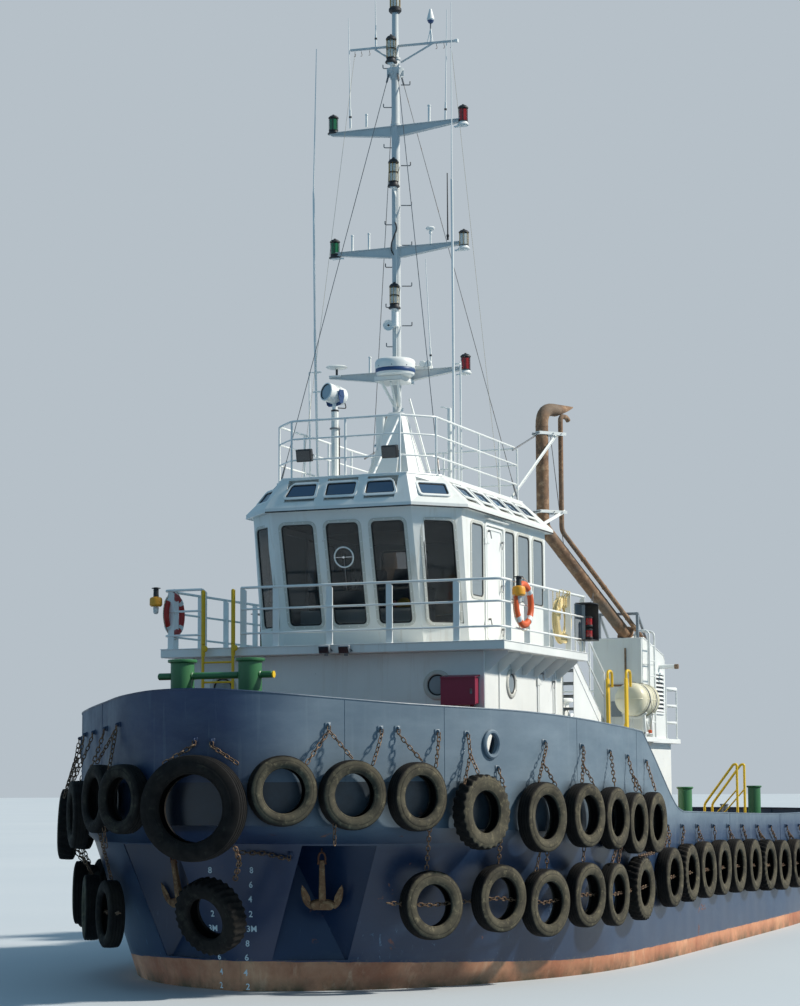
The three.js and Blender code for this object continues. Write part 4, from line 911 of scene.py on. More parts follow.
def hull_solid():
    s = Shape()
    for sign in (1.0, -1.0):
        flip = np.array([1.0, sign, 1.0])
        for levels in (LOW, HIGH):
            g = np.array(levels) * flip
            a, b = g.shape[:2]
            i, j = np.meshgrid(np.arange(a - 1), np.arange(b - 1), indexing="ij")
            i, j = i.ravel(), j.ravel()
            s.add(g.reshape(-1, 3), np.stack([i * b + j, i * b + j + 1, (i + 1) * b + j + 1, (i + 1) * b + j], 1))
    other = np.array([1.0, -1.0, 1.0])

    def strips(line):
        n = len(line)
        j = np.arange(n - 1)
        s.add(np.vstack([line, line * other]), np.stack([j, j + 1, n + j + 1, n + j], 1))

    strips(bottom)
    strips(upper)
    strips(main[FORE_COLS - 1:])
    strips(np.array([l[FORE_COLS - 1] for l in HIGH]))
    me = bpy.data.meshes.new("hull_raw")
    v = np.concatenate(s.v)
    me.from_pydata(v.tolist(), [], [list(map(int, f)) for g, _ in s.f for f in g])
    bm = bmesh.new()
    bm.from_mesh(me)
    bmesh.ops.remove_doubles(bm, verts=bm.verts, dist=2e-5)
    bmesh.ops.dissolve_degenerate(bm, edges=bm.edges, dist=1e-6)
    bmesh.ops.recalc_face_normals(bm, faces=bm.faces)
    bm.to_mesh(me)
    bm.free()
    return me


def temp_object(name, me):
    o = bpy.data.objects.new(name, me)
    SCENE.collection.objects.link(o)
    return o


def closed_mesh(name, verts, faces):
    me = bpy.data.meshes.new(name)
    me.from_pydata([tuple(map(float, v)) for v in verts], [], [list(map(int, f)) for f in faces])
    bm = bmesh.new()
    bm.from_mesh(me)
    bmesh.ops.remove_doubles(bm, verts=bm.verts, dist=1e-6)
    bmesh.ops.recalc_face_normals(bm, faces=bm.faces)
    bm.to_mesh(me)
    bm.free()
    return me


def shape_mesh(name, s):
    return closed_mesh(name, np.concatenate(s.v), [f for g, _ in s.f for f in g])


def carve(me, cutters, op="DIFFERENCE"):
    """Mesh after exact booleans with the cutter meshes; the cutters and helpers are removed again."""
    base = temp_object("carve_base", me)
    made = []
    for i, c in enumerate(cutters):
        o = temp_object(f"carve_tool_{i}", c)
        made.append(o)
        mod = base.modifiers.new(f"c{i}", "BOOLEAN")
        mod.object, mod.operation, mod.solver = o, op, "EXACT"
    bpy.context.view_layer.update()
    dg = bpy.context.evaluated_depsgraph_get()
    out = bpy.data.meshes.new_from_object(base.evaluated_get(dg))
    for o in made + [base]:
        bpy.data.objects.remove(o)
    return out


POCKET = [(0.430, (10.261, 0.442), (9.800, 1.350), (9.836, 1.412)), (2.020, (10.448, 0.984), (9.752, 0.455), (10.116, 1.972))]


def pocket_mesh(sign):
    rings = []
    for z, f, v, a in POCKET:
        rings.append([(x, y * sign, z) for x, y in (f, v, a, (a[0] + 1.128, a[1] + 0.420), (f[0] + 1.128, f[1] + 0.420))])
    v = rings[0] + rings[1]
    faces = [f for i in range(5) for f in ([i, (i + 1) % 5, 5 + (i + 1) % 5], [i, 5 + (i + 1) % 5, 5 + i])] + [[0, 1, 2], [0, 2, 3], [0, 3, 4], [5, 6, 7], [5, 7, 8], [5, 8, 9]]
    return closed_mesh("pocket", v, faces)


def finish_mesh(me, name, mats, hides=(), sharp=28.0, body="root"):
    me.name = name
    for x in mats:
        me.materials.append(x)
    me.polygons.foreach_set("use_smooth", [True] * len(me.polygons))
    me.set_sharp_from_angle(angle=math.radians(sharp))
    o = temp_object(name, me)
    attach(o, body)
    if hides:
        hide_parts(*hides)
    return o


hull_me = carve(hull_solid(), [pocket_mesh(1.0), pocket_mesh(-1.0)])
hull_me.materials.clear()
for p in hull_me.polygons:
    p.material_index = 1 if p.normal.z > 0.98 and p.center.z > 1.2 else 0
hull_ob = finish_mesh(hull_me, "hull_shell", [M["hull"], M["deck"]], ("hull",))


def sweep(s, P, N, section, m=0, w=0.0, up=None, caps=True):
    """Section rows (outward, up) carried along the line P whose outward directions are N."""
    P, N = np.asarray(P, float), np.asarray(N, float)
    U = np.array([(0.0, 0.0, 1.0)] * len(P)) if up is None else np.asarray(up, float)
    k, n = len(P), len(section)
    rings = [P + a * N + b * U for a, b in section]
    v = np.stack(rings, 1).reshape(-1, 3)
    i = np.arange(n)
    j = (i + 1) % n
    quads = np.concatenate([np.stack([a * n + i, a * n + j, (a + 1) * n + j, (a + 1) * n + i], 1) for a in range(k - 1)])
    base = s.n
    s.add(v, quads, m, w)
    if caps:
        s.f.append((np.array([[base + a for a in range(n)]]), m))
        s.f.append((np.array([[base + (k - 1) * n + a for a in range(n)]]), m))


def outward(P):
    P = np.asarray(P, float)
    T = np.gradient(P[:, :2], axis=0)
    T /= np.maximum(np.linalg.norm(T, axis=1), 1e-9)[:, None]
    return np.column_stack([T[:, 1], -T[:, 0], np.zeros(len(P))])


# Bulwark round the bow: plan of the hull's upper line, top edge falling to the main deck bulwark.
plan = spline(np.column_stack([HULL[:11, 0:2], np.append(BOW_TOP, 3.70)]), PER[:10], ((12.060, -0.520, 4.150), (0.0, 4.050, 3.0)))
x_tail = np.arange(5.14 - 0.07, 1.5999, -0.0708)
tab_x = [1.2, 1.60, 1.95, 2.34, 3.30, 3.95, 5.14, 6.2]
tab_z = [2.371, 2.380, 2.450, 2.650, 3.264, 3.680, 3.745, 3.80]
soft_z = lambda x, h: float(np.mean([np.interp(x + d, tab_x, tab_z) for d in np.linspace(-h, h, 9)]))
tail = np.array([(x, np.interp(x, [-1, 3.3, 5.14], [4.050, 4.050, 4.020]), soft_z(x, 0.06 if x > 3.6 else 0.16 if x < 2.8 else 0.05)) for x in x_tail])
head = plan[:sum(PER[:9]) + 1]
edge_port = np.vstack([head, tail])
# stern bulwark, port half, from the break to the centreline
aft_rows = np.array([[1600, 4050, 2380], [0, 4050, 2345], [-3300, 4050, 2275], [-6500, 4050, 2230], [-9300, 4000, 2230], [-11000, 3850, 2240],
                     [-12000, 3300, 2260], [-12200, 2600, 2270], [-12250, 0, 2280]]) / 1000.0
edge_aft = spline(aft_rows, [6, 8, 8, 8, 8, 10, 8, 12], ((3.3, 4.05, 2.45), (-12.200, -2.600, 2.270)))


def bulwark(edge, floor_of, name, hides, cutters, mirror_at_start, seams, stays):
    full = np.vstack([edge[1:][::-1] * (1, -1, 1), edge]) if mirror_at_start else np.vstack([edge, edge[:-1][::-1] * (1, -1, 1)])
    N = outward(full)
    if N[len(N) // 4][1] * full[len(N) // 4][1] < 0:
        N = -N
    T = 0.012
    s = Shape()
    rows = []
    for p, n in zip(full, N):
        for f in floor_of(p):
            lo = np.array([p[0], p[1], f])
            rows.append([lo, p, p - T * n, lo - T * n])
    g = np.array(rows)
    k = len(g)
    i, j = np.meshgrid(np.arange(k - 1), np.arange(4), indexing="ij")
    i, j = i.ravel(), j.ravel()
    s.add(g.reshape(-1, 3), np.stack([i * 4 + j, i * 4 + (j + 1) % 4, (i + 1) * 4 + (j + 1) % 4, (i + 1) * 4 + j], 1))
    s.f.append((np.array([[0, 1, 2, 3]]), 0))
    s.f.append((np.array([[(k - 1) * 4 + a for a in range(4)]]), 0))
    me = carve(shape_mesh(name + "_raw", s), cutters)
    me.materials.clear()
    plate = finish_mesh(me, name, [M["navy"]], hides)
    trim = Piece()
    cap = [(0.006, -0.010), (0.010, -0.004), (0.006, 0.004), (-0.080, 0.004), (-0.084, -0.004), (-0.080, -0.010)]
    P = full - np.array([0, 0, 0.0045])
    sweep(trim, P, N, cap, trim.k("navy"))
    sweep(trim, P - np.array([0, 0, 0.0]), N, [(0.0 + 0.011 * math.cos(a) - 0.002, 0.011 * math.sin(a) - 0.008) for a in np.linspace(0, 2 * math.pi, 8, endpoint=False)], trim.k("navy"))
    acc = 0.0
    last = full[0]
    for p, n in zip(full[2:-2], N[2:-2]):
        acc += float(np.linalg.norm(p[:2] - last[:2]))
        last = p
        if acc < stays:
            continue
        acc = 0.0
        f = floor_of(p)[-1] + 0.002
        h = p[2] - 0.02 - f
        foot, top = min(0.42, 0.34 * h), 0.055
        t = np.cross((0, 0, 1), n)
        trim.prism([(0.014, 0), (foot, 0), (foot, 0.05), (top + 0.02, h - 0.10), (top, h), (0.014, h)], np.array([p[0], p[1], f]) - t * 0.005, -n, (0, 0, 1), t * 0.010, trim.k("navy"))
        fl = unit(np.array([top + 0.02 - foot, h - 0.15]))
        a = np.array([p[0], p[1], f]) - n * foot + np.array([0, 0, 0.05])
        b = np.array([p[0], p[1], f]) - n * (top + 0.02) + np.array([0, 0, h - 0.10])
        trim.bar(a, b, 0.07, 0.010, trim.k("navy"), up=n)
    for x, side in seams:
        d = np.abs(full[:, 0] - x) + np.where(np.sign(full[:, 1]) == side, 0, 99)
        q = int(np.argmin(d))
        p, n = full[q], N[q]
        a, b = np.array([p[0], p[1], floor_of(p)[0]]), p - np.array([0, 0, 0.012])
        trim.tube([a, (a + b) / 2, b], 0.0055, 6, trim.k("navy"))
    trim.done(name + "_trim")
    return plate, full, N


def oval_cut(x, y, z, side, r=0.145, tall=1.20, depth=0.5):
    h = Shape()
    n = unit((math.sin(0.38), side * math.cos(0.38), 0))
    t = np.cross((0, 0, 1), n)
    ring = [(r * math.cos(a), r * tall * math.sin(a)) for a in np.linspace(0, 2 * math.pi, 28, endpoint=False)]
    h.prism(ring, V3((x, y, z)) - n * depth / 2, t, (0, 0, 1), n * depth)
    return shape_mesh("oval", h)


def box_mesh(x0, x1, y0, y1, z0, z1):
    v = [(x, y, z) for x in (x0, x1) for y in (y0, y1) for z in (z0, z1)]
    return closed_mesh("block", v, [[0, 1, 3, 2], [4, 5, 7, 6], [0, 1, 5, 4], [2, 3, 7, 6], [0, 2, 6, 4], [1, 3, 7, 5]])


CHOCK = (8.960, 3.285, 3.415)
fore_floor = lambda p: [FORE_DECK - 0.002] if p[0] > BREAK_X + 0.05 else ([FORE_DECK - 0.002, MAIN_DECK - 0.002] if p[1] > 0 else [MAIN_DECK - 0.002, FORE_DECK - 0.002]) if abs(p[0] - BREAK_X) <= 0.05 else [MAIN_DECK - 0.002]
snap = int(np.argmin(np.abs(edge_port[:, 0] - BREAK_X)))
edge_port[snap, 0] = BREAK_X
bow_plate, BOW_EDGE, BOW_OUT = bulwark(edge_port, lambda p: fore_floor(p) if abs(p[0] - BREAK_X) < 1e-6 or abs(p[0] - BREAK_X) > 0.05 else fore_floor(np.array([p[0] + (0.2 if p[0] > BREAK_X else -0.2), p[1], p[2]])),
                                       "bulwark_bow_plate", ("bulwark_bow",), [oval_cut(CHOCK[0], CHOCK[1], CHOCK[2], 1), oval_cut(CHOCK[0], -CHOCK[1], CHOCK[2], -1)],
                                       True, [(10.95, 1), (9.75, 1), (6.9, 1), (4.32, 1), (10.95, -1), (9.75, -1), (6.9, -1), (4.32, -1)], 0.78)
ports = [box_mesh(x, x + 0.7, *(sorted((s * 3.9, s * 4.2))), MAIN_DECK - 0.05, MAIN_DECK + 0.18) for x in (-0.4, -3.6, -6.8) for s in (1, -1)]
aft_plate, AFT_EDGE, AFT_OUT = bulwark(edge_aft, lambda p: [MAIN_DECK - 0.002], "bulwark_aft_plate", ("bulwark_aft",), ports, False, [(-1.62, 1), (-5.6, 1), (-1.62, -1), (-5.6, -1), (-10.4, 1), (-10.4, -1)], 0.95)

# Raised rims of the chocks.
rims = Piece()
for side in (1, -1):
    c = V3((CHOCK[0], side * CHOCK[1], CHOCK[2]))
    i = int(np.argmin(np.linalg.norm(BOW_EDGE[:, :2] - c[:2], axis=1)))
    n, c0 = BOW_OUT[i], V3((BOW_EDGE[i][0], BOW_EDGE[i][1], CHOCK[2]))
    t = np.cross((0, 0, 1), n)
    for off, r in ((0.016, 0.034), (-0.028, 0.030)):
        oval = [c0 + n * off + t * 0.149 * math.cos(a) + np.array([0, 0, 1]) * 0.149 * 1.19 * math.sin(a) for a in np.linspace(0, 2 * math.pi, 32, endpoint=False)]
        rims.tube(oval, r, 8, rims.k("navy"), closed=True)
rims.done("mooring_chock_rims")

marks_on = BVHTree.FromObject(hull_ob, bpy.context.evaluated_depsgraph_get())


def on_skin(px, py, tree=None, out=0.0):
    """Point of the skin seen at a pixel, moved outwards by out, with its normal."""
    d = (FW * FOCAL_PX + RIGHT * (px - 400.0) - UP * (py - 503.0)).normalized()
    hit, nor, _, _ = (tree or marks_on).ray_cast(EYE, d)
    if hit is None:
        return None, None
    if nor.dot(d) > 0:
        nor = -nor
    return V3(hit + nor * out), V3(nor)


# Draft figures, raised and painted, read up the stem beside the centreline, and load line bars amidships.
def figure(s, text, place, nrm, height, right=None, depth=0.004, tree=None):
    """One generic numeral laid on the skin round a point."""
    cu = bpy.data.curves.new("numeral", "FONT")
    cu.body, cu.size, cu.extrude = text, height * 1.38, 0.0
    cu.align_x, cu.align_y = "CENTER", "CENTER"
    cu.offset = 0.0016
    cu.resolution_u = 3
    o = temp_object("numeral", cu)
    bpy.context.view_layer.update()
    me = bpy.data.meshes.new_from_object(o.evaluated_get(bpy.context.evaluated_depsgraph_get()))
    n = unit(nrm)
    u = unit(np.cross((0, 0, 1), n)) if right is None else unit(right)
    v = np.cross(n, u)
    base = []
    for p in me.vertices:
        q = V3(place) + u * p.co.x + v * p.co.y
        hit, nor, _, _ = (tree or marks_on).ray_cast(Vector(q + n * 0.25), Vector(-n), 0.6)
        base.append(V3(hit) if hit is not None else q)
    base = np.array(base)
    top = base + n * depth
    faces = [list(f.vertices) for f in me.polygons]
    k = len(base)
    edges = {}
    for f in faces:
        for a, b in zip(f, f[1:] + f[:1]):
            edges[(a, b)] = True
    side = [[a, b, b + k, a + k] for (a, b) in edges if (b, a) not in edges]
    s.add(np.vstack([base - n * 0.002, top]), side + [[a + k for a in f] for f in faces] + [f[::-1] for f in faces], s.k("mark"))
    bpy.data.objects.remove(o)
    bpy.data.curves.remove(cu)
    bpy.data.meshes.remove(me)


marks = Piece()
for text, px, py in (("8", 251.5, 870.5), ("6", 250.9, 885.0), ("4", 250.3, 899.5), ("2", 250.8, 914.4), ("3M", 251.8, 929.2), ("8", 247.6, 943.8), ("6", 246.8, 957.8), ("4", 245.8, 973.0), ("2", 248.0, 987.0)):
    c, n = on_skin(px, py)
    if c is not None:
        figure(marks, text, c, n, 0.088)
        if n[1] > 0.05 or True:
            figure(marks, text, c * np.array([1, -1, 1]) - np.array([.06, .26, 0]), n * np.array([1, -1, 1]), 0.088)
for side in (1, -1):
    tree = marks_on
    for k_, (z, txt) in enumerate(((1.06, "8"), (0.86, "6"), (0.66, "4"), (0.46, "2"))):
        figure(marks, txt, (-10.35, side * 3.80, z), (0.06, side, 0), 0.088)
    for k_ in range(6):
        z = 0.42 + k_ * 0.085
        x = 1.30
        y = float(np.interp(z, [0, 1.3], [4.03, 4.04])) * side
        marks.box(x, x + (0.23 if k_ % 2 else 0.14), y - 0.012, y + 0.012, z, z + 0.022, marks.k("mark"), b=0.003)
    marks.box(1.29, 1.315, side * 4.035 - 0.012, side * 4.035 + 0.012, 0.42, 0.87, marks.k("mark"), b=0.003)
marks.done("draft_marks", sharp=30)

# Keel plate, shaft tubes with their brackets, rudder trunks, and the raised seats on the decks.
under = Piece()
hk = under.k("hull")
keel = [(8.9, -2.15), (7.5, -2.45), (-8.3, -2.9), (-8.6, -2.88), (-8.9, -1.4), (-5.0, -1.9), (6.0, -2.1)]
under.prism(keel, (0, 0.105, 0), (1, 0, 0), (0, 0, 1), (0, -0.21, 0), hk, b=0.02)
for s_ in (1, -1):
    under.lathe([(0, -3.4), (0.15, -3.4), (0.15, 0.0), (0.135, 0.02), (0.135, 0.05), (0, 0.05)], (-10.0, s_ * 1.35, -1.85 + 0.0), (-1, 0, -0.016), 24, hk)
    for x, lo in ((-9.78, -0.9), (-9.78, -0.9)):
        under.prism([(0.13, 0), (0.06, 0.034), (-0.06, 0.034), (-0.13, 0), (-0.06, -0.034), (0.06, -0.034)], (x, s_ * 1.35, -1.78), (1, 0, 0), (0, 1, 0), (0, s_ * -0.22, 0.75), hk, b=0.006)
        under.prism([(0.13, 0), (0.06, 0.034), (-0.06, 0.034), (-0.13, 0), (-0.06, -0.034), (0.06, -0.034)], (x, s_ * 1.40, -1.78), (1, 0, 0), (0, 1, 0), (0, s_ * 0.30, 0.90), hk, b=0.006)
    under.lathe([(0, 0), (0.16, 0), (0.11, 0.10), (0.11, 0.50), (0, 0.50)], (-11.15, s_ * 1.35, -0.78), (0, 0, 1), 24, hk)
    for k_ in range(3):
        under.box(-4.4 + k_ * 3.2 - 0.22, -4.4 + k_ * 3.2 + 0.22, s_ * 2.05 - 0.05, s_ * 2.05 + 0.05, -2.42, -2.20, under.k("bronze"), b=0.02)
bilge_keel = [(x, float(np.interp(x, [-5, 3.5], [3.22, 3.12])) * 1.0, -1.35) for x in np.linspace(-5.0, 3.0, 24)]
for s_ in (1, -1):
    P = np.array(bilge_keel) * (1, s_, 1)
    N = np.array([(0, s_ * 0.75, -0.66)] * len(P))
    U = np.array([(0, s_ * 0.66, 0.75)] * len(P))
    sweep(under, P, N, [(-0.25, -0.01), (0.14, -0.008), (0.14, 0.008), (-0.25, 0.01)], hk, up=U)
under.done("keel_and_shaft_tubes")

seats = Piece()
seats.box(-9.7, -9.3, -0.2, 0.2, 1.29, 1.32, seats.k("deck"), b=0.004)
seats.box(8.0, 8.3, 1.1, 1.4, 2.89, 2.92, seats.k("deck"), b=0.004)
seats.done("deck_seats")


# ------------------------------------------------------------------ tyre fenders
TYRES_UPPER = [(11.800, 1.300, 2.780, .480, .240), (11.100, 2.020, 2.720, .480, .240), (10.360, 2.670, 2.690, .480, .240), (9.440, 3.270, 2.470, .530, .250),
               (8.170, 3.740, 2.380, .510, .240), (7.020, 4.010, 2.390, .480, .240), (5.870, 4.140, 2.330, .480, .240), (4.950, 4.200, 2.240, .480, .240), (3.910, 4.215, 2.230, .490, .240)]
TYRES_LOWER = [(9.860, 2.670, 1.200, .480, .240), (8.920, 3.330, 1.260, .480, .240), (8.030, 3.720, 1.160, .490, .240), (7.010, 4.000, 1.230, .480, .240),
               (5.930, 4.150, 1.190, .480, .240), (4.730, 4.220, 1.230, .500, .250)]
UPPER_STARBOARD = [(12.050, .950, 2.680, .480, .240), (11.480, 1.640, 2.680, .480, .240), (10.600, 2.470, 2.450, .490, .240), (9.440, 3.290, 2.290, .530, .250)] + TYRES_UPPER[4:]
LOWER_STARBOARD = [(10.750, 1.850, 1.060, .480, .240), (9.950, 2.600, 1.100, .480, .240)] + TYRES_LOWER[1:]
TYRES_MAIN = [(2.95, 1.33), (1.85, 1.36), (0.73, 1.37), (-0.37, 1.37), (-1.48, 1.36), (-2.70, 1.33), (-3.90, 1.29), (-5.15, 1.25), (-6.40, 1.24), (-7.65, 1.24), (-8.85, 1.24)]
UPPER_PLAN = HULL[:, 0:2]


def side_heading(x, y):
    best = (1e9, 0.0)
    for a, b in zip(UPPER_PLAN, UPPER_PLAN[1:]):
        d = b - a
        t = min(1.0, max(0.0, float(np.dot((x, y) - a, d) / np.dot(d, d))))
        e = float(np.hypot(*((x, y) - a - t * d)))
        if e < best[0]:
            best = (e, math.atan2(-d[0], d[1]))
    return best[1]


def tyre(s, c, R, width, heading, lean=0.0, lugs=0, worn=1.0, spin=0.0, squash=0.0, bead=0.565):
    """One tyre hung flat: moulded walls, ribbed or lugged tread, open casing behind the beads."""
    w = width / 2
    n = lugs * 4 if lugs else 56
    ang = np.linspace(0, 2 * math.pi, n, endpoint=False) + spin
    # rows: radius, height, wear, lug side (0 none, 1 front edge, 2 back edge, 3 middle)
    out = [(bead, .60, .35, 0), (bead - .004, .68, .55, 0), (bead + .012, .76, .9, 0), (bead + .026, .84, 1, 0), (bead + .040, .835, .6, 0), (bead + .054, .875, 1, 0), (.715, .955, 1, 0), (.790, 1.0, 1, 0),
           (.840, .998, .95, 0), (.846, .982, .5, 0), (.862, .978, .55, 0), (.868, .975, 1, 0), (.915, .925, .9, 1 if lugs else 0), (.952, .865, .65, 1 if lugs else 0)]
    if lugs:
        tread = [(.985, .80, .2, 1), (.997, .60, .05, 1), (1.0, .34, 0, 1), (1.0, .12, 0, 3), (1.0, -.12, 0, 3)]
    else:
        tread = [(.984, .79, .15, 0), (.993, .62, 0, 0), (.978, .60, 0, 0), (.978, .53, 0, 0), (.995, .51, 0, 0), (.999, .24, 0, 0), (.983, .22, 0, 0), (.983, .15, 0, 0), (1.0, .13, 0, 0)]
    back = [(r, -h, e, {1: 2, 3: 3}.get(k, 0)) for r, h, e, k in reversed(out + tread)]
    if lugs:
        back = [b for b in back if b[3] != 3]
    inner = [(bead, -.46, .1, 0), (bead + .05, -.70, 0, 0), (.78, -.86, 0, 0), (.89, -.78, 0, 0), (.93, -.45, 0, 0), (.935, 0, 0, 0), (.93, .45, 0, 0), (.89, .78, 0, 0), (.78, .86, 0, 0), (bead + .05, .70, 0, 0), (bead, .46, .1, 0)]
    prof = out + tread + back + inner
    a = axes((math.cos(heading) * math.cos(lean), math.sin(heading) * math.cos(lean), math.sin(lean)))
    c = V3(c)
    rows, ws = [], []
    k_ = np.arange(n)
    for r, h, e, kind in prof:
        rr = np.full(n, r * R)
        if kind:
            ph = {1: 0, 2: 2, 3: 1}[kind]
            mask = ((k_ + ph) % 4) >= 2
            rr = rr * np.where(mask, 1.0 - (0.052 if r > .96 else 0.030), 1.0)
        sq = 1.0 - squash * np.cos(ang) ** 2
        rows.append(c + np.outer(rr * np.cos(ang) * sq, a[0]) + np.outer(rr * np.sin(ang), a[1]) + a[2] * h * w)
        ws.append(np.full(n, e * worn))
    v = np.concatenate(rows)
    m = len(prof)
    i = np.arange(n)
    j = (i + 1) % n
    q = np.concatenate([np.stack([p * n + i, p * n + j, ((p + 1) % m) * n + j, ((p + 1) % m) * n + i], 1) for p in range(m)])
    s.add(v, q, s.k("rubber"), np.concatenate(ws))


def hang_points(c, R, heading, side, phi, behind=0.0):
    """Point on a tyre's tread at the angle phi from its top, towards the bow when phi is positive."""
    n = np.array([math.cos(heading), math.sin(heading), 0.0])
    t = np.array([math.sin(heading), -math.cos(heading), 0.0])
    if t[0] < 0:
        t = -t
    return V3(c) + t * R * math.sin(phi) + np.array([0, 0, R * math.cos(phi)]) + n * behind


def eye_plate(s, p, n):
    """Pad eye with a shackle, standing off the plating."""
    a = axes(n)
    up = np.array([0, 0, 1.0])
    t = unit(np.cross(up, n))
    s.obox(V3(p) + n * 0.006, (0.012, 0.085, 0.075), ax=[n, t, up], m=s.k("navy"), b=0.003)
    s.prism([(0, -0.035), (0.055, -0.020), (0.064, 0.0), (0.055, 0.020), (0, 0.035)], V3(p) - t * 0.007, n, up, t * 0.014, s.k("navy"), b=0.002)
    c = V3(p) + n * 0.045 - up * 0.012
    loop = [c + t * 0.024 * math.cos(b) - up * (0.030 + 0.042 * math.sin(b)) * (1 if math.sin(b) > 0 else 0.2) for b in np.linspace(0, 2 * math.pi, 14, endpoint=False)]
    s.tube(loop, 0.0085, 6, s.k("chain"), closed=True)


def plank(p):
    """Outward direction of the bow plating nearest a point."""
    i = int(np.argmin(np.linalg.norm(BOW_EDGE[:, :2] - V3(p)[:2], axis=1)))
    return BOW_OUT[i], V3((BOW_EDGE[i][0], BOW_EDGE[i][1], p[2]))


def bow_set(side_name, sg):
    s, ch = Piece(), Piece()
    flip = np.array([1.0, sg, 1.0])
    centres = {}
    uppers, lowers = (TYRES_UPPER, TYRES_LOWER) if sg > 0 else (UPPER_STARBOARD, LOWER_STARBOARD)
    for row, table in (("u", uppers), ("l", lowers)):
        for k_, (x, y, z, r, w) in enumerate(table):
            hd = side_heading(x, y)
            turn, lean = float(RNG.uniform(-.05, .05)), float(RNG.uniform(-.03, .05))
            if row == "u" and k_ == 2:
                turn = 0.10
            lug = 26 if (row, k_) == ("u", 3) else 30 if (row, k_) == ("l", len(lowers) - 1) else 0
            rr = r - 0.006 - (0.5 * w * abs(math.sin(lean)) if k_ > 3 else 0.0)
            ww = w - (0.02 if y > 4.1 else 0.0)
            # the starboard bow tyres forward of x = 10 get a third of the wear: their dark side walls are painted shade
            tyre(s, np.array((x, y - (0.035 if y > 4.1 else 0.0), z)) * flip, rr, ww, math.copysign(hd + turn * (0.3 if y > 4.1 else 1), sg), lean * (0.4 if y > 4.1 else 1), lug, worn=float(RNG.uniform(.75, 1.1)) * (1.0 if sg > 0 or x < 10 else .35),
                 spin=float(RNG.uniform(0, 1)), squash=float(RNG.uniform(0, .03)), bead=float(RNG.uniform(.60, .635)) if not lug else .56)
            centres[(row, k_)] = (V3((x, y, z)), r, hd, w)
    mk = ch.k("chain")

    def top(key, phi, out=0.0):
        c, r, hd, w = centres[key]
        return hang_points(c, r + 0.012, hd, 1, phi, out) * flip

    def eye(x, y, z):
        n, c = plank((x, y, z))
        p, nn = c * flip, n * flip
        eye_plate(ch, p, nn)
        return p + nn * 0.05 - np.array([0, 0, 0.075])

    def run(a, b, size=1.0, sag=0.0):
        chain(ch, [V3(a), V3(b)], mk, size, sag)

    E = ((11.15, 1.72, 3.66), (10.60, 2.27, 3.62), (10.43, 2.42, 3.62), (9.92, 2.80, 3.58)) if sg > 0 else ((11.62, 1.28, 3.70), (11.15, 1.75, 3.66), (10.75, 2.13, 3.62), (10.20, 2.57, 3.60))
    L = (lambda i: ("l", i)) if sg > 0 else (lambda i: ("l", i + 1))
    e1 = eye(*E[0])
    run(e1, top(("u", 0), -.75, .02), 1.05)
    run(e1, top(("u", 1), .05, .05), 1.0)
    e2 = eye(*E[1])
    run(e2, top(("u", 1), -.62, .04), 1.0, .01)
    e3 = eye(*E[2])
    run(e3, top(("u", 2), -.10, .05), 1.0, .01)
    e4 = eye(*E[3])
    run(e4, top(("u", 2), -.62, .04), 1.0)
    e5 = eye(9.46, 3.06, 3.56)
    mid = e5 + np.array([0.02, 0.03 * sg, -0.22])
    chain(ch, [e5, mid, top(("u", 3), .75, .02)], mk, 1.0)
    chain(ch, [mid, top(("u", 3), .15, .02)], mk, 1.0)
    e6 = eye(8.86, 3.33, 3.08)
    chain(ch, [e6, e6 + np.array([-.03, .06 * sg, -.20]), top(("u", 3), -.85, .06)], mk, 1.0)
    for (x, y, z), key, p1, p2 in (((7.84, 3.67, 3.46), ("u", 4), .22, -.55), ((6.77, 3.89, 3.41), ("u", 5), .20, -.5), ((5.76, 3.99, 3.34), ("u", 6), .12, None),
                                   ((4.86, 4.04, 3.27), ("u", 7), .08, -.3), ((3.85, 4.05, 3.20), ("u", 8), .05, None)):
        e = eye(x, y, z)
        run(e, top(key, p1, .02), 1.0)
        if p2 is not None:
            m2 = (e + top(key, p1, .02)) / 2 + np.array([0, 0.02 * sg, 0.0])
            run(m2, top(key, p2, .05), .95)
    # chains from the upper row to the lower one, and one through the lower row
    low = lambda key, phi, out=0.0: hang_points(centres[key][0], centres[key][1] - 0.02, centres[key][2], 1, phi, out) * flip
    run(low(("u", 1), 2.5, .02), low(("u", 1), 2.5, .02) + np.array([-.05, -.02 * sg, -.30]), 1.0)
    run(low(("u", 2), 3.6, .0), top(L(0), .15), 1.05)
    run(low(("u", 3), 3.9, .04), top(L(1), .0), 1.0)
    run(low(("u", 4), 3.0, .0), top(L(2), .45), 1.0)
    run(low(("u", 4), 3.3, .02), top(L(2), -.1), 1.0)
    run(low(("u", 5), 3.1, .0), top(L(3), .10), 1.0)
    run(low(("u", 6), 3.2, .0), top(L(4), .35), 1.0)
    run(low(("u", 6), 3.5, .02), top(L(4), -.25), 1.0)
    run(low(("u", 8), 3.1, .0), top(L(5), .30), 1.0)
    if sg < 0:
        run(low(("u", 1), 3.1, .0), top(("l", 0), .1), 1.0)
    line = [(c - np.array([math.cos(h), math.sin(h), 0]) * 0.02) * flip for (c, r, h, w) in (centres[("l", i)] for i in range(len(lowers)))]
    start = line[0] + np.array([0.55, -0.42 * sg, 0.05])
    chain(ch, [start] + line + [line[-1] + np.array([-0.7, 0, 0.05])], mk, 1.05)
    s.done(f"fenders_bow_{side_name}_tyres", hides=(f"fenders_bow_{side_name}",), sharp=50, recalc=True)
    ch.done(f"fenders_bow_{side_name}_chains", sharp=60)


mirrored(bow_set)


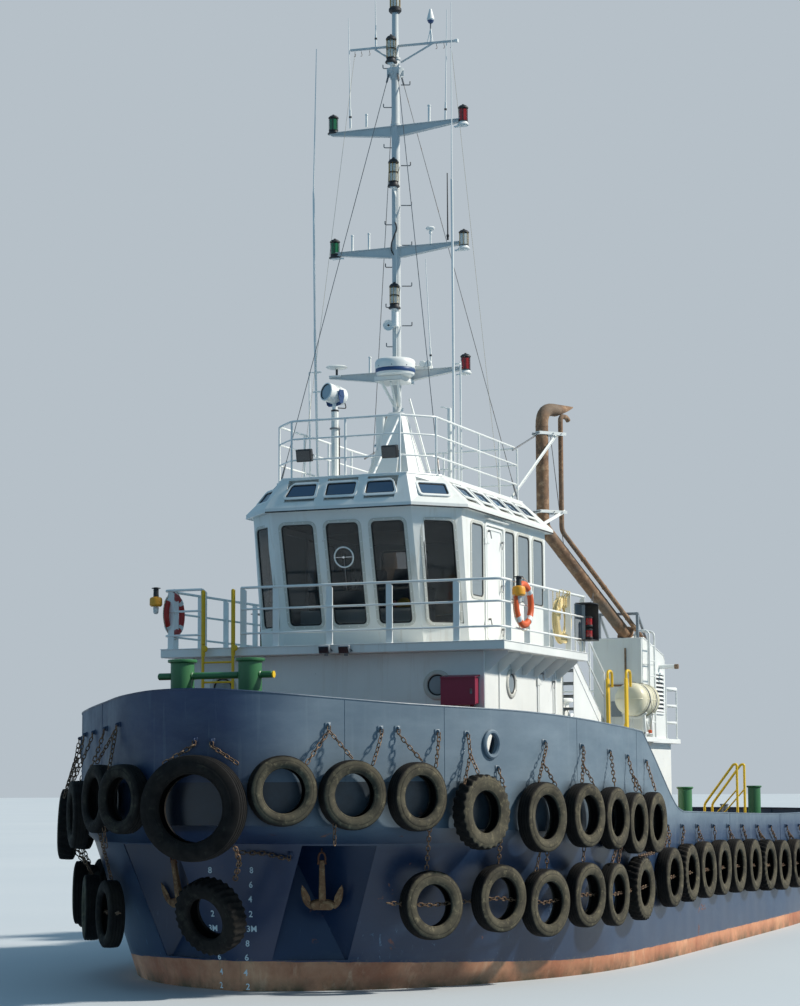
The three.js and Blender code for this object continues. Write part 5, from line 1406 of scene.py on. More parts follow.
def side_set(side_name, sg):
    s, ch = Piece(), Piece()
    eyes = [(2.69, 2.15), (1.75, 2.13), (.76, 2.11), (-.34, 2.09), (-1.42, 2.07), (-2.48, 2.05), (-3.67, 2.02), (-4.76, 2.0), (-6.15, 1.98), (-7.35, 1.97), (-8.6, 1.97)]
    for k_, (x, z) in enumerate(TYRES_MAIN):
        lug = 28 if k_ in (1, 6) else 0
        lean = float(RNG.uniform(-.01, .02))
        tyre(s, (x, sg * 4.175, z), 0.482, 0.222, sg * math.pi / 2 + float(RNG.uniform(-.03, .03)), lean, lug, worn=float(RNG.uniform(.7, 1.1)), spin=float(RNG.uniform(0, 1)),
             squash=float(RNG.uniform(0, .03)), bead=float(RNG.uniform(.60, .635)))
        ex, ez = eyes[k_]
        y = float(np.interp(-ex, [-3, 6.5, 9.3], [4.052, 4.052, 4.002]))
        n = np.array([0, sg, 0.0])
        eye_plate(ch, (ex, sg * y, ez), n)
        top = np.array([x, sg * 4.10, z + 0.484])
        e = np.array([ex, sg * (y + .05), ez - .075])
        chain(ch, [e, top + np.array([.03, 0, 0])], ch.k("chain"), 1.0)
        if k_ % 2 == 0:
            chain(ch, [e + np.array([-.02, .01 * sg, -.05]), top + np.array([-.14, .03 * sg, -.01])], ch.k("chain"), .95)
    chain(ch, [(3.4, sg * 4.16, 1.36)] + [(x, sg * 4.165, z - .01) for x, z in TYRES_MAIN] + [(-9.35, sg * 4.12, 1.26)], ch.k("chain"), 1.1)
    s.done(f"fenders_side_{side_name}_tyres", hides=(f"fenders_side_{side_name}",), sharp=50)
    ch.done(f"fenders_side_{side_name}_chains", sharp=60)


mirrored(side_set)

s = Piece()
# the two centre tyres get little wear: their dark side walls are painted shade
tyre(s, (12.400, 0.290, 2.560), 0.705, 0.418, 0.12, 0.0, 0, worn=.16, bead=.64)
tyre(s, (11.500, 0.100, 1.100), 0.526, 0.326, -0.24, -0.32, 30, worn=.25, bead=.55)
s.done("fenders_centre_tyres", hides=("fenders_centre",), sharp=45)
s = Piece()
mk = s.k("chain")
for px, py, tx, ty in ((195, 740, 168, 764), (212, 741, 240, 764), (144.7, 733, 162, 768), (114.5, 736.5, 128, 764), (92, 743, 100, 768)):
    tree = BVHTree.FromObject(bow_plate, bpy.context.evaluated_depsgraph_get())
    p, n = on_skin(px, py, tree)
    if p is None or px < 190:
        continue
    n = unit(n * (1, 1, 0))
    eye_plate(s, p, n)
    q, _ = on_skin(tx, ty, tree)
    if q is not None:
        chain(s, [p + n * .05 - np.array([0, 0, .07]), q + n * .22], mk, 1.1)
chain(s, [at(235, 847, x=12.28), at(239.5, 862, x=12.02), at(235, 880, x=11.72)], mk, 1.3)
tree_h = BVHTree.FromObject(hull_ob, bpy.context.evaluated_depsgraph_get())
a, na = on_skin(243, 852, tree_h)
b, nb_ = on_skin(290, 854, tree_h)
if a is not None and b is not None:
    eye_plate(s, b, unit(nb_))
    chain(s, [b + nb_ * .05 - np.array([0, 0, .06]), (a + b) / 2 + na * .07, a + na * .09], mk, 1.15)
s.done("fenders_centre_chains", sharp=60)

s, ch = Piece(), Piece()
for k_, (x, y) in enumerate(((-12.405, 2.0), (-12.415, .7), (-12.415, -.7), (-12.405, -2.0))):
    tyre(s, (x, y, 1.30), 0.482, 0.225, math.pi + float(RNG.uniform(-.04, .04)), 0.0, 0, worn=float(RNG.uniform(.8, 1.1)), spin=float(RNG.uniform(0, 1)), bead=.61)
    for d in (-.24, .24):
        e = np.array([-12.262, y + d * 1.3, 2.12])
        eye_plate(ch, e, np.array([-1.0, 0, 0]))
        chain(ch, [e + np.array([-.05, 0, -.075]), (-12.35, y + d * .8, 1.30 + .44)], ch.k("chain"), 1.0)
s.done("fenders_stern_tyres", hides=("fenders_stern",), sharp=50)
chain(ch, [(-12.34, -2.5, 1.30), (-12.36, 0, 1.27), (-12.34, 2.5, 1.30)], ch.k("chain"), 1.1)
ch.done("fenders_stern_chains", sharp=60)


# ------------------------------------------------------------------ deckhouse, bridge deck and wheelhouse
def node_finish(names, word, bevel=0.0):
    """Better finish and broken edges on CAD nodes that stay."""
    for nm in names:
        ob = NODES[nm]
        for sl in ob.material_slots:
            sl.material = M[word]
        if bevel > 0:
            w = ob.modifiers.new("weld", "WELD")
            w.merge_threshold = 2e-5
            b = ob.modifiers.new("edges", "BEVEL")
            b.width, b.segments, b.limit_method, b.angle_limit = bevel, 2, "ANGLE", math.radians(50)


node_finish(["deckhouse_front", "deckhouse_side_port", "deckhouse_side_starboard", "deckhouse_aft", "bridge_deck", "main_deck_house",
             "boat_deck", "casing_port", "casing_starboard"], "white", 0.010)
node_finish(["wheelhouse_front", "wheelhouse_side_port", "wheelhouse_side_starboard", "wheelhouse_aft", "wheelhouse_roof"], "white", 0.008)
node_finish(["deckhouse_door_port", "deckhouse_door_starboard", "wheelhouse_door_port", "wheelhouse_door_starboard", "main_deck_house_door"], "white_clean", 0.007)
node_finish(["helm_console"], "panel", 0.015)

Z = np.array([0, 0, 1.0])
EX, EY = np.array([1.0, 0, 0]), np.array([0, 1.0, 0])


def bolts(s, line, c, u, v, n, every=0.16, r=0.009, lift=0.006, word="white_clean"):
    """Screw heads along a closed outline."""
    L = np.asarray(line, float)
    P = V3(c) + np.outer(L[:, 0], u) + np.outer(L[:, 1], v)
    P = np.vstack([P, P[:1]])
    seg = np.linalg.norm(np.diff(P, axis=0), axis=1)
    acc = np.concatenate([[0], np.cumsum(seg)])
    count = max(4, int(acc[-1] / every))
    for i in range(count):
        d = (i + 0.5) * acc[-1] / count
        k = min(int(np.searchsorted(acc, d, side="right") - 1), len(seg) - 1)
        p = P[k] + (P[k + 1] - P[k]) * ((d - acc[k]) / max(seg[k], 1e-9))
        s.lathe([(0, lift), (r * 0.7, lift), (r, 0), (r, -0.004), (0, -0.004)], p, n, 6, s.k(word))


def window(s, g, c, u, v, n, w, h, r=0.075, rim=0.038, proud=0.013, bolted=True, clip=0.0, glass="glass", cut=None, word="frame"):
    """Frame, rubber seal and pane over an opening w by h."""
    c, u, v, n = V3(c), V3(u), V3(v), unit(n)

    def line(grow, rad):
        P = rounded(w + grow, h + grow, max(rad, 0.012), 6)
        if cut:
            side, drop = cut
            P = [(x - side * drop * max(0.0, y / (h / 2)) * max(0.0, side * x / (w / 2)), y) for x, y in P]
        return P

    ring_plate(s, line(2 * rim, r + rim), line(-0.022, r), c - n * 0.002, u, v, n * proud, s.k(word))
    ring_plate(s, line(-0.016, r + 0.004), line(-0.062, r - 0.012), c - n * 0.016, u, v, n * 0.018, s.k("seal"))
    g.prism(line(-0.045, r - 0.010), c - n * 0.014, u, v, n * 0.007, g.k(glass))
    if bolted:
        bolts(s, line(rim * 0.95, r + rim * 0.5), c + n * (proud - 0.002), u, v, n)


def porthole(s, g, c, n, r=0.15, glass="glass"):
    c, n = V3(c), unit(n)
    s.lathe([(r - 0.022, -0.03), (r - 0.022, 0.014), (r - 0.010, 0.026), (r + 0.034, 0.026), (r + 0.046, 0.016), (r + 0.050, -0.002), (r - 0.001, -0.03)], c, n, 32, s.k("frame"), closed=True)
    s.lathe([(r - 0.045, -0.008), (r - 0.045, 0.010), (r - 0.020, 0.014), (r - 0.018, -0.008)], c, n, 32, s.k("seal"), closed=True)
    g.lathe([(0, 0.004), (r - 0.030, 0.004), (r - 0.030, -0.004), (0, -0.004)], c, n, 32, g.k(glass))
    a = axes(n)
    for k_ in range(8):
        b = k_ * math.pi / 4 + 0.3
        s.lathe([(0, 0.010), (0.008, 0.008), (0.010, 0), (0, 0)], c + n * 0.024 + (r + 0.020) * (math.cos(b) * a[0] + math.sin(b) * a[1]), n, 6, s.k("frame"))


frames, panes = Piece(), Piece()
# the deckhouse portholes, forward of x = 5, get the pale glass with the painted sky reflection
for x, y, z, n in ((7.0, 1.70, 4.35, EX), (7.0, -1.92, 4.37, EX), (5.76, 2.45, 4.40, EY), (5.76, -2.45, 4.40, -EY), (0.9, 2.5, 2.5, EY), (0.9, -2.5, 2.5, -EY)):
    porthole(frames, panes, (x, y, z), n, r=.183 if x > 5 else .15, glass="shade" if x > 5 else "glass")

# front windows, leaning forward, and the two on the chamfers
vf = unit((0.52, 0, 2.155))
nf = np.cross(EY, vf)
for y in (-.77, 0, .77):
    window(frames, panes, (6.540, y, 6.15), EY, vf, nf, 0.576, 1.646)
for sg in (1, -1):
    e = unit((-.537, .6 * sg, 0))
    d = unit((.43, 0, 2.155))
    n = unit(np.cross(e, d)) * sg
    c = V3((6.272, 1.495 * sg, 6.15))
    window(frames, panes, c, e, d, n, 0.5416, 1.6 / d[2], glass="glass")
for sg in (1, -1):
    n = EY * sg
    # side windows in the pale glass with the painted sky reflection
    for x0, x1, z0, z1 in ((5.17, 5.72, 5.80, 6.98), (3.64, 4.13, 5.85, 6.99), (2.86, 3.47, 5.85, 6.99), (2.13, 2.68, 5.85, 6.99)):
        window(frames, panes, ((x0 + x1) / 2, 1.795 * sg, (z0 + z1) / 2), EX, Z, n, x1 - x0, z1 - z0, glass="shade")
    window(frames, panes, (2.0, .8 * sg, 6.40), EY, Z, -EX, 0.90, 1.10)

# skylights in the visor
vr, nr = unit((-.273, 0, .49)), unit((.49, 0, .273))
for y, cut in ((-.68, (-1, .10)), (0, None), (.68, (1, .10))):
    window(frames, panes, (6.7526, y, 7.47), EY, vr, nr, .52, .26, r=.035, rim=.030, proud=.020, bolted=False, cut=cut, glass="sky", word="white_clean")
for sg in (1, -1):
    e = unit((-.7296, .6839 * sg, 0))
    n = unit((.5347, .5705 * sg, .6234))
    window(frames, panes, (6.430, 1.429 * sg, 7.436), e, unit(np.cross(n, e)) * (1 if np.cross(n, e)[2] > 0 else -1), n, .50, .26, r=.035, rim=.030, proud=.020, bolted=False, glass="sky", word="white_clean")
    for x in (5.66, 4.87, 4.10, 3.40, 2.66):
        window(frames, panes, (x, 1.665 * sg, 7.448), EX, (0, -.712 * sg, .702), (0, .702 * sg, .712), .54, .2655, r=.035, rim=.030, proud=.020, bolted=False, glass="sky", word="white_clean")

# clear view screen in the middle pane
ray = V3(FW * FOCAL_PX + RIGHT * (344.1 - 400.0) - UP * (557.1 - 503.0))
c = V3(EYE) + ray * (np.dot(V3((6.540, 0, 6.15)) - V3(EYE), nf) / np.dot(ray, nf)) + nf * .006
a = axes(nf)
frames.tube(circle(c, .160, 36, a[0], a[1]), .013, 8, frames.k("white_clean"), closed=True)
frames.lathe([(0, .03), (.018, .03), (.030, .012), (.030, 0), (0, 0)], c - nf * .006, nf, 16, frames.k("chrome"))
frames.bar(c - EY * .16, c + EY * .16, .010, .006, frames.k("chrome"), up=nf)
frames.bar(c - vf * .02, c - vf * .52, .014, .008, frames.k("steel"), up=nf)
frames.done("wheelhouse_window_frames", sharp=40)
panes.done("window_panes", sharp=40)


# ---- doors, with trims that turn with them
def dogged_door(prefix, body, c, u, n, w, h, hinge, glass=None, round_=0.12):
    """Coaming on the wall, and on the leaf a raised border, hinges, dogs and a handle. u points from the hinge side to the lock side."""
    c, u, n = V3(c), V3(u), V3(n)
    s = Piece()
    # the frame stands back on the hinge side, so that the open leaf has room
    back = lambda line, by: [(x_ - (by if x_ < 0 else 0), y_) for x_, y_ in line]
    ring_plate(s, back(rounded(w + .13, h + .13, round_ + .05, 6), .030), back(rounded(w - .004, h - .004, .03, 6), .038), c + n * .0, u, Z, n * .028, s.k("white_clean"))
    s.box(*sorted((c[0] - abs(u[0]) * w * .62 - abs(n[0]) * 0 + (0 if abs(u[0]) else -.0), c[0] + abs(u[0]) * w * .62 + (.0 if abs(u[0]) else n[0] * .09))),
          *sorted((c[1] - abs(u[1]) * w * .62, c[1] + abs(u[1]) * w * .62 + (.0 if abs(u[1]) else n[1] * .09))), c[2] + h / 2 + .085, c[2] + h / 2 + .10, s.k("white_clean"), b=.004)
    for k_ in (-.36, .36):
        p = c - u * (w / 2 + .082) + Z * h * k_ + n * .028
        s.obox(p, (.022, .08, .10), ax=[n, u, Z], m=s.k("white_clean"), b=.004)
    s.done(prefix + "_coaming")
    d = Piece()
    out = n * .0
    ring_plate(d, rounded(w - .05, h - .05, round_, 6), rounded(w - .13, h - .13, round_ - .03, 6), c + out, u, Z, n * .014, d.k("white_clean"))
    for k_ in (-.36, .36):
        p = c - u * (w / 2 - .078) + Z * h * k_ + n * .014
        d.obox(p, (.016, .116, .055), ax=[n, u, Z], m=d.k("white_clean"), b=.004)
        d.rod(c - u * (w / 2 - .004) + Z * (h * k_ - .05) + n * .005, c - u * (w / 2 - .004) + Z * (h * k_ + .05) + n * .005, .017, 16, d.k("steel"))
    for k_ in (-.38, 0.0, .38):
        for side in ((1, -1) if k_ else (1,)):
            p = c + u * side * (w / 2 - .075) + Z * h * (k_ + (.07 if side < 0 else 0)) + n * .012
            d.rod(p, p + n * .045, .017, 10, d.k("steel"))
            d.bar(p + n * .040, p + n * .040 + unit(u * side * -.5 - Z * .9) * .13, .024, .012, d.k("steel"), up=n)
    p = c + u * (w / 2 - .15) + n * .012
    d.tube(fillet([p - Z * .10, p - Z * .10 + n * .05, p + Z * .10 + n * .05, p + Z * .10], .02), .011, 8, d.k("chrome"))
    if glass:
        gx, gz, gw, gh = glass
        g = Piece()
        window(d, g, c + u * gx + Z * gz, u, Z, n, gw, gh, r=.07, rim=.035, bolted=True)
        g.done(prefix + "_glass", body=body)
    d.done(prefix + "_fittings", body=body)


for name, sg in (("port", 1.0), ("starboard", -1.0)):
    dogged_door("deckhouse_door_" + name, "deckhouse_door_" + name, (4.0, 2.445 * sg, 3.88), -EX, EY * sg, .80, 1.64, 1)
    dogged_door("wheelhouse_door_" + name, "wheelhouse_door_" + name, (4.62, 1.790 * sg, 6.055), -EX, EY * sg, .80, 1.87, 1, round_=.09)
dogged_door("main_deck_house_door", "main_deck_house_door", (-3.395, 1.275, 2.35), -EY, -EX, .75, 1.70, 1)


# ---- bridge deck: lip, knees, rails
def flat_post(s, foot, inn, z0, h, w, t, m, cutc=.055):
    inn = V3(inn)
    t_ = np.cross(Z, inn) * t
    s.prism([(-.022, 0), (w - .022, 0), (w - .022, h - cutc), (w - .022 - cutc * 1.2, h + .008), (-.010, h + .008), (-.022, h - .004)], V3((foot[0], foot[1], z0)) - t_ / 2, inn, Z, t_, m, b=.003)
    s.obox(V3((foot[0], foot[1], z0)) + inn * (w / 2 - .022) + Z * .009, (w * .5 + .05, t + .06, .014), ax=[inn, np.cross(Z, inn), Z], m=m, b=.003)


def fenced(s, line, z, heights, r, word):
    for h in heights:
        P = fillet([(x, y, z + h) for x, y in line], .10)
        s.tube(P, r if h == heights[-1] else r * .82, 10, s.k(word), ends=.4)


BD, BD_TOP = 4.987, .938
for name, line, node in (("port", [(7.24, -1.50), (7.24, 2.84), (3.16, 2.84)], "bridge_railing_port"), ("starboard", [(7.24, -2.18), (7.24, -2.84), (3.16, -2.84)], "bridge_railing_starboard")):
    s = Piece()
    m = s.k("white_clean")
    fenced(s, line, BD, (.22, .60, BD_TOP), .021, "white_clean")
    sg = 1 if name == "port" else -1
    for y in ((-1.49, -.930, -.020, .975, 2.07) if name == "port" else (-2.18, -2.76)):
        flat_post(s, (7.232, y), EY, BD + .004, BD_TOP, .105, .020, m)
    for x in (6.90, 6.02, 5.07, 3.93, 3.16):
        flat_post(s, (x, 2.84 * sg), -EY * sg, BD + .004, BD_TOP, .095, .018, m)
    for h in (.22, .60, BD_TOP):
        s.lathe([(0, .0), (.03, 0), (.03, .02), (0, .02)], (3.16, 2.84 * sg, BD + h), (-1, 0, 0), 10, m)
    s.done("bridge_railing_" + name + "_finished", hides=(node,))

s = Piece()
wc = s.k("white_clean")
ring = [(7.29, -2.883), (7.29, 2.883), (3.1, 2.883), (3.1, 1.98), (1.9, 1.98), (1.9, -1.98), (3.1, -1.98), (3.1, -2.883)]
inner = [(7.25, -2.843), (7.25, 2.843), (3.14, 2.843), (3.14, 1.94), (1.94, 1.94), (1.94, -1.94), (3.14, -1.94), (3.14, -2.843)]
for sg in (1, -1):
    for x in np.arange(3.45, 7.0, .58):
        s.prism([(0, 0), (.36, 0), (.36, -.035), (.05, -.30), (0, -.30)], (x - .006, 2.452 * sg, 4.855), (0, sg, 0), Z, (.012, 0, 0), wc, b=.002)
for a_, b_ in (((7.286, -2.88, 4.99), (7.286, 2.88, 4.99)), ((7.28, 2.879, 4.99), (3.1, 2.879, 4.99)), ((7.28, -2.879, 4.99), (3.1, -2.879, 4.99))):
    s.bar(a_, b_, .030, .012, wc, b=.004)
s.bar((7.272, -2.87, 4.862), (7.272, 2.87, 4.862), .016, .016, wc)
# deckhouse plinth and corner bars
s.tube([(7.0, 2.45, 2.92), (7.0, 2.45, 4.855)], .018, 8, wc)
s.tube([(7.0, -2.45, 2.92), (7.0, -2.45, 4.855)], .018, 8, wc)
s.box(6.99, 7.018, -2.45, 2.45, 2.905, 2.955, s.k("dark"), b=.004)
for sg in (1, -1):
    s.box(3.1, 7.0, 2.445 * sg - .012, 2.445 * sg + .012, 2.905, 2.955, s.k("dark"), b=.004)
    s.box(6.30, 6.345, 2.450 * sg - .010, 2.450 * sg + .022, 3.2, 4.75, wc, b=.004)
s.done("bridge_deck_edges")

# red box on the deckhouse front, blank, with its latch
s = Piece()
rd = s.k("crimson")
s.box(7.002, 7.20, 1.84, 2.37, 4.05, 4.45, rd, b=.012)
s.box(7.19, 7.215, 1.825, 2.385, 4.035, 4.465, rd, b=.010)
s.prism([(0, 0), (.235, -.035), (.235, -.015), (0, .022)], (7.0, 1.82, 4.475), EX, Z, (0, .57, 0), rd, b=.004)
s.box(7.212, 7.226, 2.30, 2.335, 4.20, 4.28, s.k("steel"), b=.004)
for y in (1.90, 2.14):
    s.box(7.205, 7.222, y, y + .05, 4.44, 4.47, s.k("steel"), b=.003)
s.box(7.0, 7.05, 1.92, 1.97, 3.95, 4.05, rd, b=.005)
s.box(7.0, 7.05, 2.24, 2.29, 3.95, 4.05, rd, b=.005)
s.done("hose_box")


# ---- lifebuoys with their grab lines and lights, hung on the rails
def lifebuoy(name, c, n, R, word, r=.056, tilt=0.0):
    s = Piece()
    c, n = V3(c), unit(n)
    a = axes(n)
    m, mb, mr = s.k(word), s.k("mark"), s.k("rope")
    seg, k_ = 64, 14
    prof = [(R - r + r * math.cos(t), .86 * r * math.sin(t)) for t in np.linspace(0, 2 * math.pi, k_, endpoint=False)]
    s.lathe(prof, c, n, seg, m, closed=True)
    for q in range(4):
        b0 = q * math.pi / 2 + math.pi / 4
        arc = [c + (R - r) * (math.cos(b) * a[0] + math.sin(b) * a[1]) for b in np.linspace(b0 - .14, b0 + .14, 6)]
        s.tube(arc, r * .90 + .006, 14, mb)
        line = [c + (R + .012 + .028 * math.sin(math.pi * t)) * (math.cos(b0 + t * math.pi / 2) * a[0] + math.sin(b0 + t * math.pi / 2) * a[1]) for t in np.linspace(0, 1, 10)]
        s.tube(line, .006, 6, mr)
    s.tube([c + a[1] * (R - .04) + n * 0, c + a[1] * (R + .06)], .010, 6, s.k("steel"))
    return s.done(name)


def smoke_light(s, c, tall=.42, r=.100):
    c = V3(c)
    s.lathe([(0, .18), (.036, .18), (.040, .165), (.044, .02), (.050, .0), (0, 0)], c + Z * .02, Z, 16, s.k("dark"))
    s.lathe([(0, .014), (.070, .012), (.072, 0), (0, 0)], c + Z * .18, Z, 16, s.k("dark"))
    s.lathe([(0, .035), (r * .5, .03), (r * .9, .015), (r, -.01), (r * 1.02, -.10), (r * .8, -.125), (0, -.125)], c + Z * .02, Z, 20, s.k("amber"))
    s.lathe([(0, 0), (.040, 0), (.045, -.02), (.040, -.10), (.020, -.12), (0, -.12)], c - Z * .105, Z * 1.0, 16, s.k("lamp"))
    s.bar(c + Z * .16 - EY * .05, c + Z * .16 + EY * .05, .016, .010, s.k("steel"))


lifebuoy("lifebuoy_port", at(523.5, 604.5, y=2.905), (0.05, 1, 0), .365, "orange")
lifebuoy("lifebuoy_starboard", at(174.0, 615.0, y=-2.79), (-.04, 1, 0), .355, "red")
s = Piece()
smoke_light(s, at(518.8, 589, y=2.93))
smoke_light(s, at(156.0, 600, y=-2.92))
s.done("lifebuoy_lights")

# ---- side lamps in their screens
for name, sg, word in (("port", 1, "redlamp"), ("starboard", -1, "greenlamp")):
    s = Piece()
    # dark screen aft of the lamp, inboard board, and the plate that carries them on the rail
    x0 = 3.13
    y0 = 2.81 * sg
    z0, z1 = 5.20, 5.79
    dk = s.k("dark")
    s.box(x0, x0 + .02, *sorted((y0, y0 + sg * .28)), z0, z1, dk, b=.004)
    s.box(x0, x0 + .40, *sorted((y0 - sg * .02, y0)), z0, z1, s.k("grey"), b=.004)
    s.box(x0, x0 + .40, *sorted((y0, y0 + sg * .28)), z0 - .015, z0, dk, b=.004)
    s.box(x0, x0 + .40, *sorted((y0, y0 + sg * .28)), z1, z1 + .015, dk, b=.004)
    for k_ in (0, 1):
        c = np.array([x0 + .13, y0 + sg * .15, z0 + .02 + k_ * .20])
        s.lathe([(0, 0), (.060, 0), (.064, .02), (.060, .030), (0, .030)], c, Z, 20, dk)
        s.lathe([(0, .0), (.050, 0), (.054, .01), (.054, .10), (.050, .112), (0, .112)], c + Z * .030, Z, 20, s.k(word))
        s.lathe([(0, .0), (.062, 0), (.062, .018), (.03, .035), (0, .035)], c + Z * .140, Z, 20, dk)
    s.bar((x0 + .2, y0 + sg * .03, BD + .01), (x0 + .2, y0 + sg * .03, z0 - .01), .05, .05, s.k("white_clean"))
    s.box(x0 + .12, x0 + .28, *sorted((y0 - sg * .04, y0 + sg * .062)), BD + .002, BD + .014, s.k("white_clean"), b=.003)
    s.done("side_lamp_" + name)

# ---- wheelhouse roof: eave strip, rails, floodlights, hatch, posts
s = Piece()
wc = s.k("white_clean")
eave = [(6.903, -1.243), (6.903, 1.243), (6.184, 1.917), (1.9, 1.917), (1.9, -1.917), (6.184, -1.917)]
E = [V3((x, y, 7.150)) for x, y in eave]
for i in range(6):
    p, q = E[i], E[(i + 1) % 6]
    s.tube([p * .999, q * .999], .012, 6, s.k("seal") if i < 3 else wc)
top = [(6.63, -1.06), (6.63, 1.06), (6.04, 1.42), (2.1, 1.42), (2.1, -1.42), (6.04, -1.42)]
for i in range(6):
    s.tube([V3((*top[i], 7.690)), V3((*top[(i + 1) % 6], 7.690))], .016, 8, wc)
s.box(3.35, 3.95, -.95, -.35, 7.69, 7.79, wc, b=.02)
s.box(3.32, 3.98, -.98, -.32, 7.78, 7.82, wc, b=.015)
s.done("wheelhouse_roof_edges")

s = Piece()
RT = 7.69
loop = [(6.57, -.93), (6.57, .93), (6.1, 1.36), (2.16, 1.36), (2.16, -1.36), (6.1, -1.36)]
for h, r in ((.30, .015), (.64, .015), (.932, .019)):
    P = fillet([(x, y, RT + h) for x, y in loop], .08, closed=True)
    s.tube(P, r, 8, s.k("white_clean"), closed=True)
for x, y in [(6.57, 0), (6.57, .93), (6.57, -.93), (6.1, 1.36), (6.1, -1.36), (5.1, 1.36), (5.1, -1.36), (4.1, 1.36), (4.1, -1.36), (3.1, 1.36), (3.1, -1.36), (2.16, 1.36), (2.16, -1.36), (2.16, 0)]:
    s.tube([(x, y, RT), (x, y, RT + .932)], .018, 8, s.k("white_clean"))
    s.lathe([(0, 0), (.045, 0), (.045, .010), (.022, .022), (0, .022)], (x, y, RT + .001), Z, 12, s.k("white_clean"))
for px, py in ((304.5, 455.5), (390.0, 451.5)):
    c = at(px, py, x=6.61)
    f = unit((.95, 0.02, -.22))
    a = axes(f)
    s.obox(c, (.26, .20, .10), ax=a, m=s.k("dark"), b=.012)
    s.obox(c + f * .052, (.22, .16, .012), ax=a, m=s.k("flood"), b=.004)
    for k_ in range(5):
        s.obox(c - f * .062 + a[0] * (-.08 + .04 * k_), (.008, .14, .03), ax=a, m=s.k("dark"), b=.002)
    s.tube(fillet([c + a[0] * .135, c + a[0] * .135 - f * .06, c - a[0] * .135 - f * .06, c - a[0] * .135], .02), .009, 6, s.k("dark"))
s.done("roof_railing_finished", hides=("roof_railing",))

# ---- inside: cabinets, screens, wheel, seat, ceiling lining, as far as they show through the glass
s = Piece()
pn, wd_, fb = s.k("panel"), s.k("white"), s.k("fabric")
s.box(5.80, 6.08, -1.0, 1.0, 4.995, 5.62, wd_, b=.01)
s.box(5.24, 5.76, -1.01, 1.01, 5.945, 5.975, pn, b=.01)
for y, w_ in ((-.62, .44), (.02, .40), (.58, .36)):
    s.prism([(0, 0), (.30, 0), (.34, .30), (.22, .33)], (5.70, y - w_ / 2, 5.96), -EX, Z, (0, w_, 0), pn, b=.01)
    s.obox((5.42, y, 6.12), (.012, w_ - .07, .24), ax=[unit((-.98, 0, .2)), EY, unit((.2, 0, .98))], m=s.k("glass"), b=.002)
c = V3((5.16, 0, 5.86))
s.tube(circle(c, .19, 28, EY, unit((.3, 0, .95))), .014, 8, s.k("dark"), closed=True)
for b in (0, 2.1, 4.2):
    s.tube([c, c + .19 * (math.cos(b) * EY + math.sin(b) * unit((.3, 0, .95)))], .009, 6, s.k("steel"))
s.tube([c, c + V3((.14, 0, 0))], .03, 8, pn)
for y in (-.28, -.36, .30, .38):
    s.tube([(5.36, y, 5.96), (5.30, y, 6.14)], .009, 6, s.k("steel"))
    s.lathe([(0, .045), (.018, .03), (.022, .01), (0, 0)], (5.30, y, 6.13), Z, 10, s.k("dark"))
s.box(3.68, 4.18, -.25, .25, 5.48, 5.60, fb, b=.04)
s.box(3.64, 3.78, -.23, .23, 5.60, 6.22, fb, b=.05)
s.box(3.80, 4.16, .25, .31, 5.66, 5.71, fb, b=.02)
s.box(3.80, 4.16, -.31, -.25, 5.66, 5.71, fb, b=.02)
s.lathe([(0, .13), (.05, .125), (.11, .08), (.145, .0), (.135, -.02), (0, -.02)], (5.94, .74, 5.66), Z, 20, s.k("yellow"))
s.lathe([(0, .10), (.05, .095), (.10, .06), (.13, .0), (0, 0)], (5.97, .55, 5.65), Z, 20, s.k("orange"))
s.box(2.1, 5.9, -1.55, 1.55, 7.04, 7.06, s.k("panel"), b=.004)
s.box(5.3, 5.9, -.7, .7, 6.86, 7.04, pn, b=.02)
for y in (-.4, 0, .4):
    s.box(5.29, 5.32, y - .13, y + .13, 6.89, 7.01, s.k("dark"), b=.006)
s.box(2.12, 2.60, -1.60, -.95, 4.995, 5.80, s.k("wood"), b=.01)
s.box(2.12, 2.55, -.3, .3, 4.995, 5.75, s.k("wood"), b=.01)
s.done("wheelhouse_interior")

# lamps and small gear under and on the bridge deck
s = Piece()
for px in (324.7, 344.5):
    c = at(px, 649.2, x=7.35)
    f = unit((.96, 0, -.28))
    a = axes(f)
    s.obox(c, (.185, .125, .085), ax=a, m=s.k("grey"), b=.012)
    s.obox(c + f * .044, (.160, .100, .010), ax=a, m=s.k("flood"), b=.004)
    s.tube(fillet([c + EY * .100, c + EY * .100 - EX * .075 - Z * .03, c - EY * .100 - EX * .075 - Z * .03, c - EY * .100], .02), .008, 6, s.k("steel"))
    s.box(7.288, 7.300, c[1] - .03, c[1] + .03, c[2] - .10, c[2] + .03, s.k("steel"), b=.003)
for x, y in ((3.3, 2.3), (3.3, -2.3)):
    s.lathe([(0, 0), (.06, 0), (.06, .30), (.10, .30), (.11, .33), (.08, .38), (.03, .40), (0, .40)], (x, y, BD), Z, 18, s.k("white_clean"))
for x, y in ((2.4, 1.5), (2.4, -1.5)):
    s.box(x - .18, x + .18, y - .12, y + .12, BD, BD + .42, s.k("white_clean"), b=.02)
c = at(543, 660.5, y=2.45)
s.box(c[0] - .05, c[0] + .05, 2.446, 2.470, c[2] - .06, c[2] + .06, s.k("white_clean"), b=.004)
s.lathe([(0, .085), (.030, .082), (.048, .060), (.054, .012), (.058, 0), (0, 0)], (c[0], 2.468, c[2]), EY, 18, s.k("redlamp"))
s.tube([(c[0], 2.458, c[2] - .05), (c[0], 2.458, c[2] - .24)], .009, 6, s.k("steel"))
s.done("bridge_deck_small_gear")


# ------------------------------------------------------------------ coil of line lashed inside the port rail
COIL = V3((4.060, 2.750, 5.490))
COIL_IN, COIL_PITCH, COIL_TURNS, COIL_STEPS, LINE_D = .250, .0262, 5, 36, .024


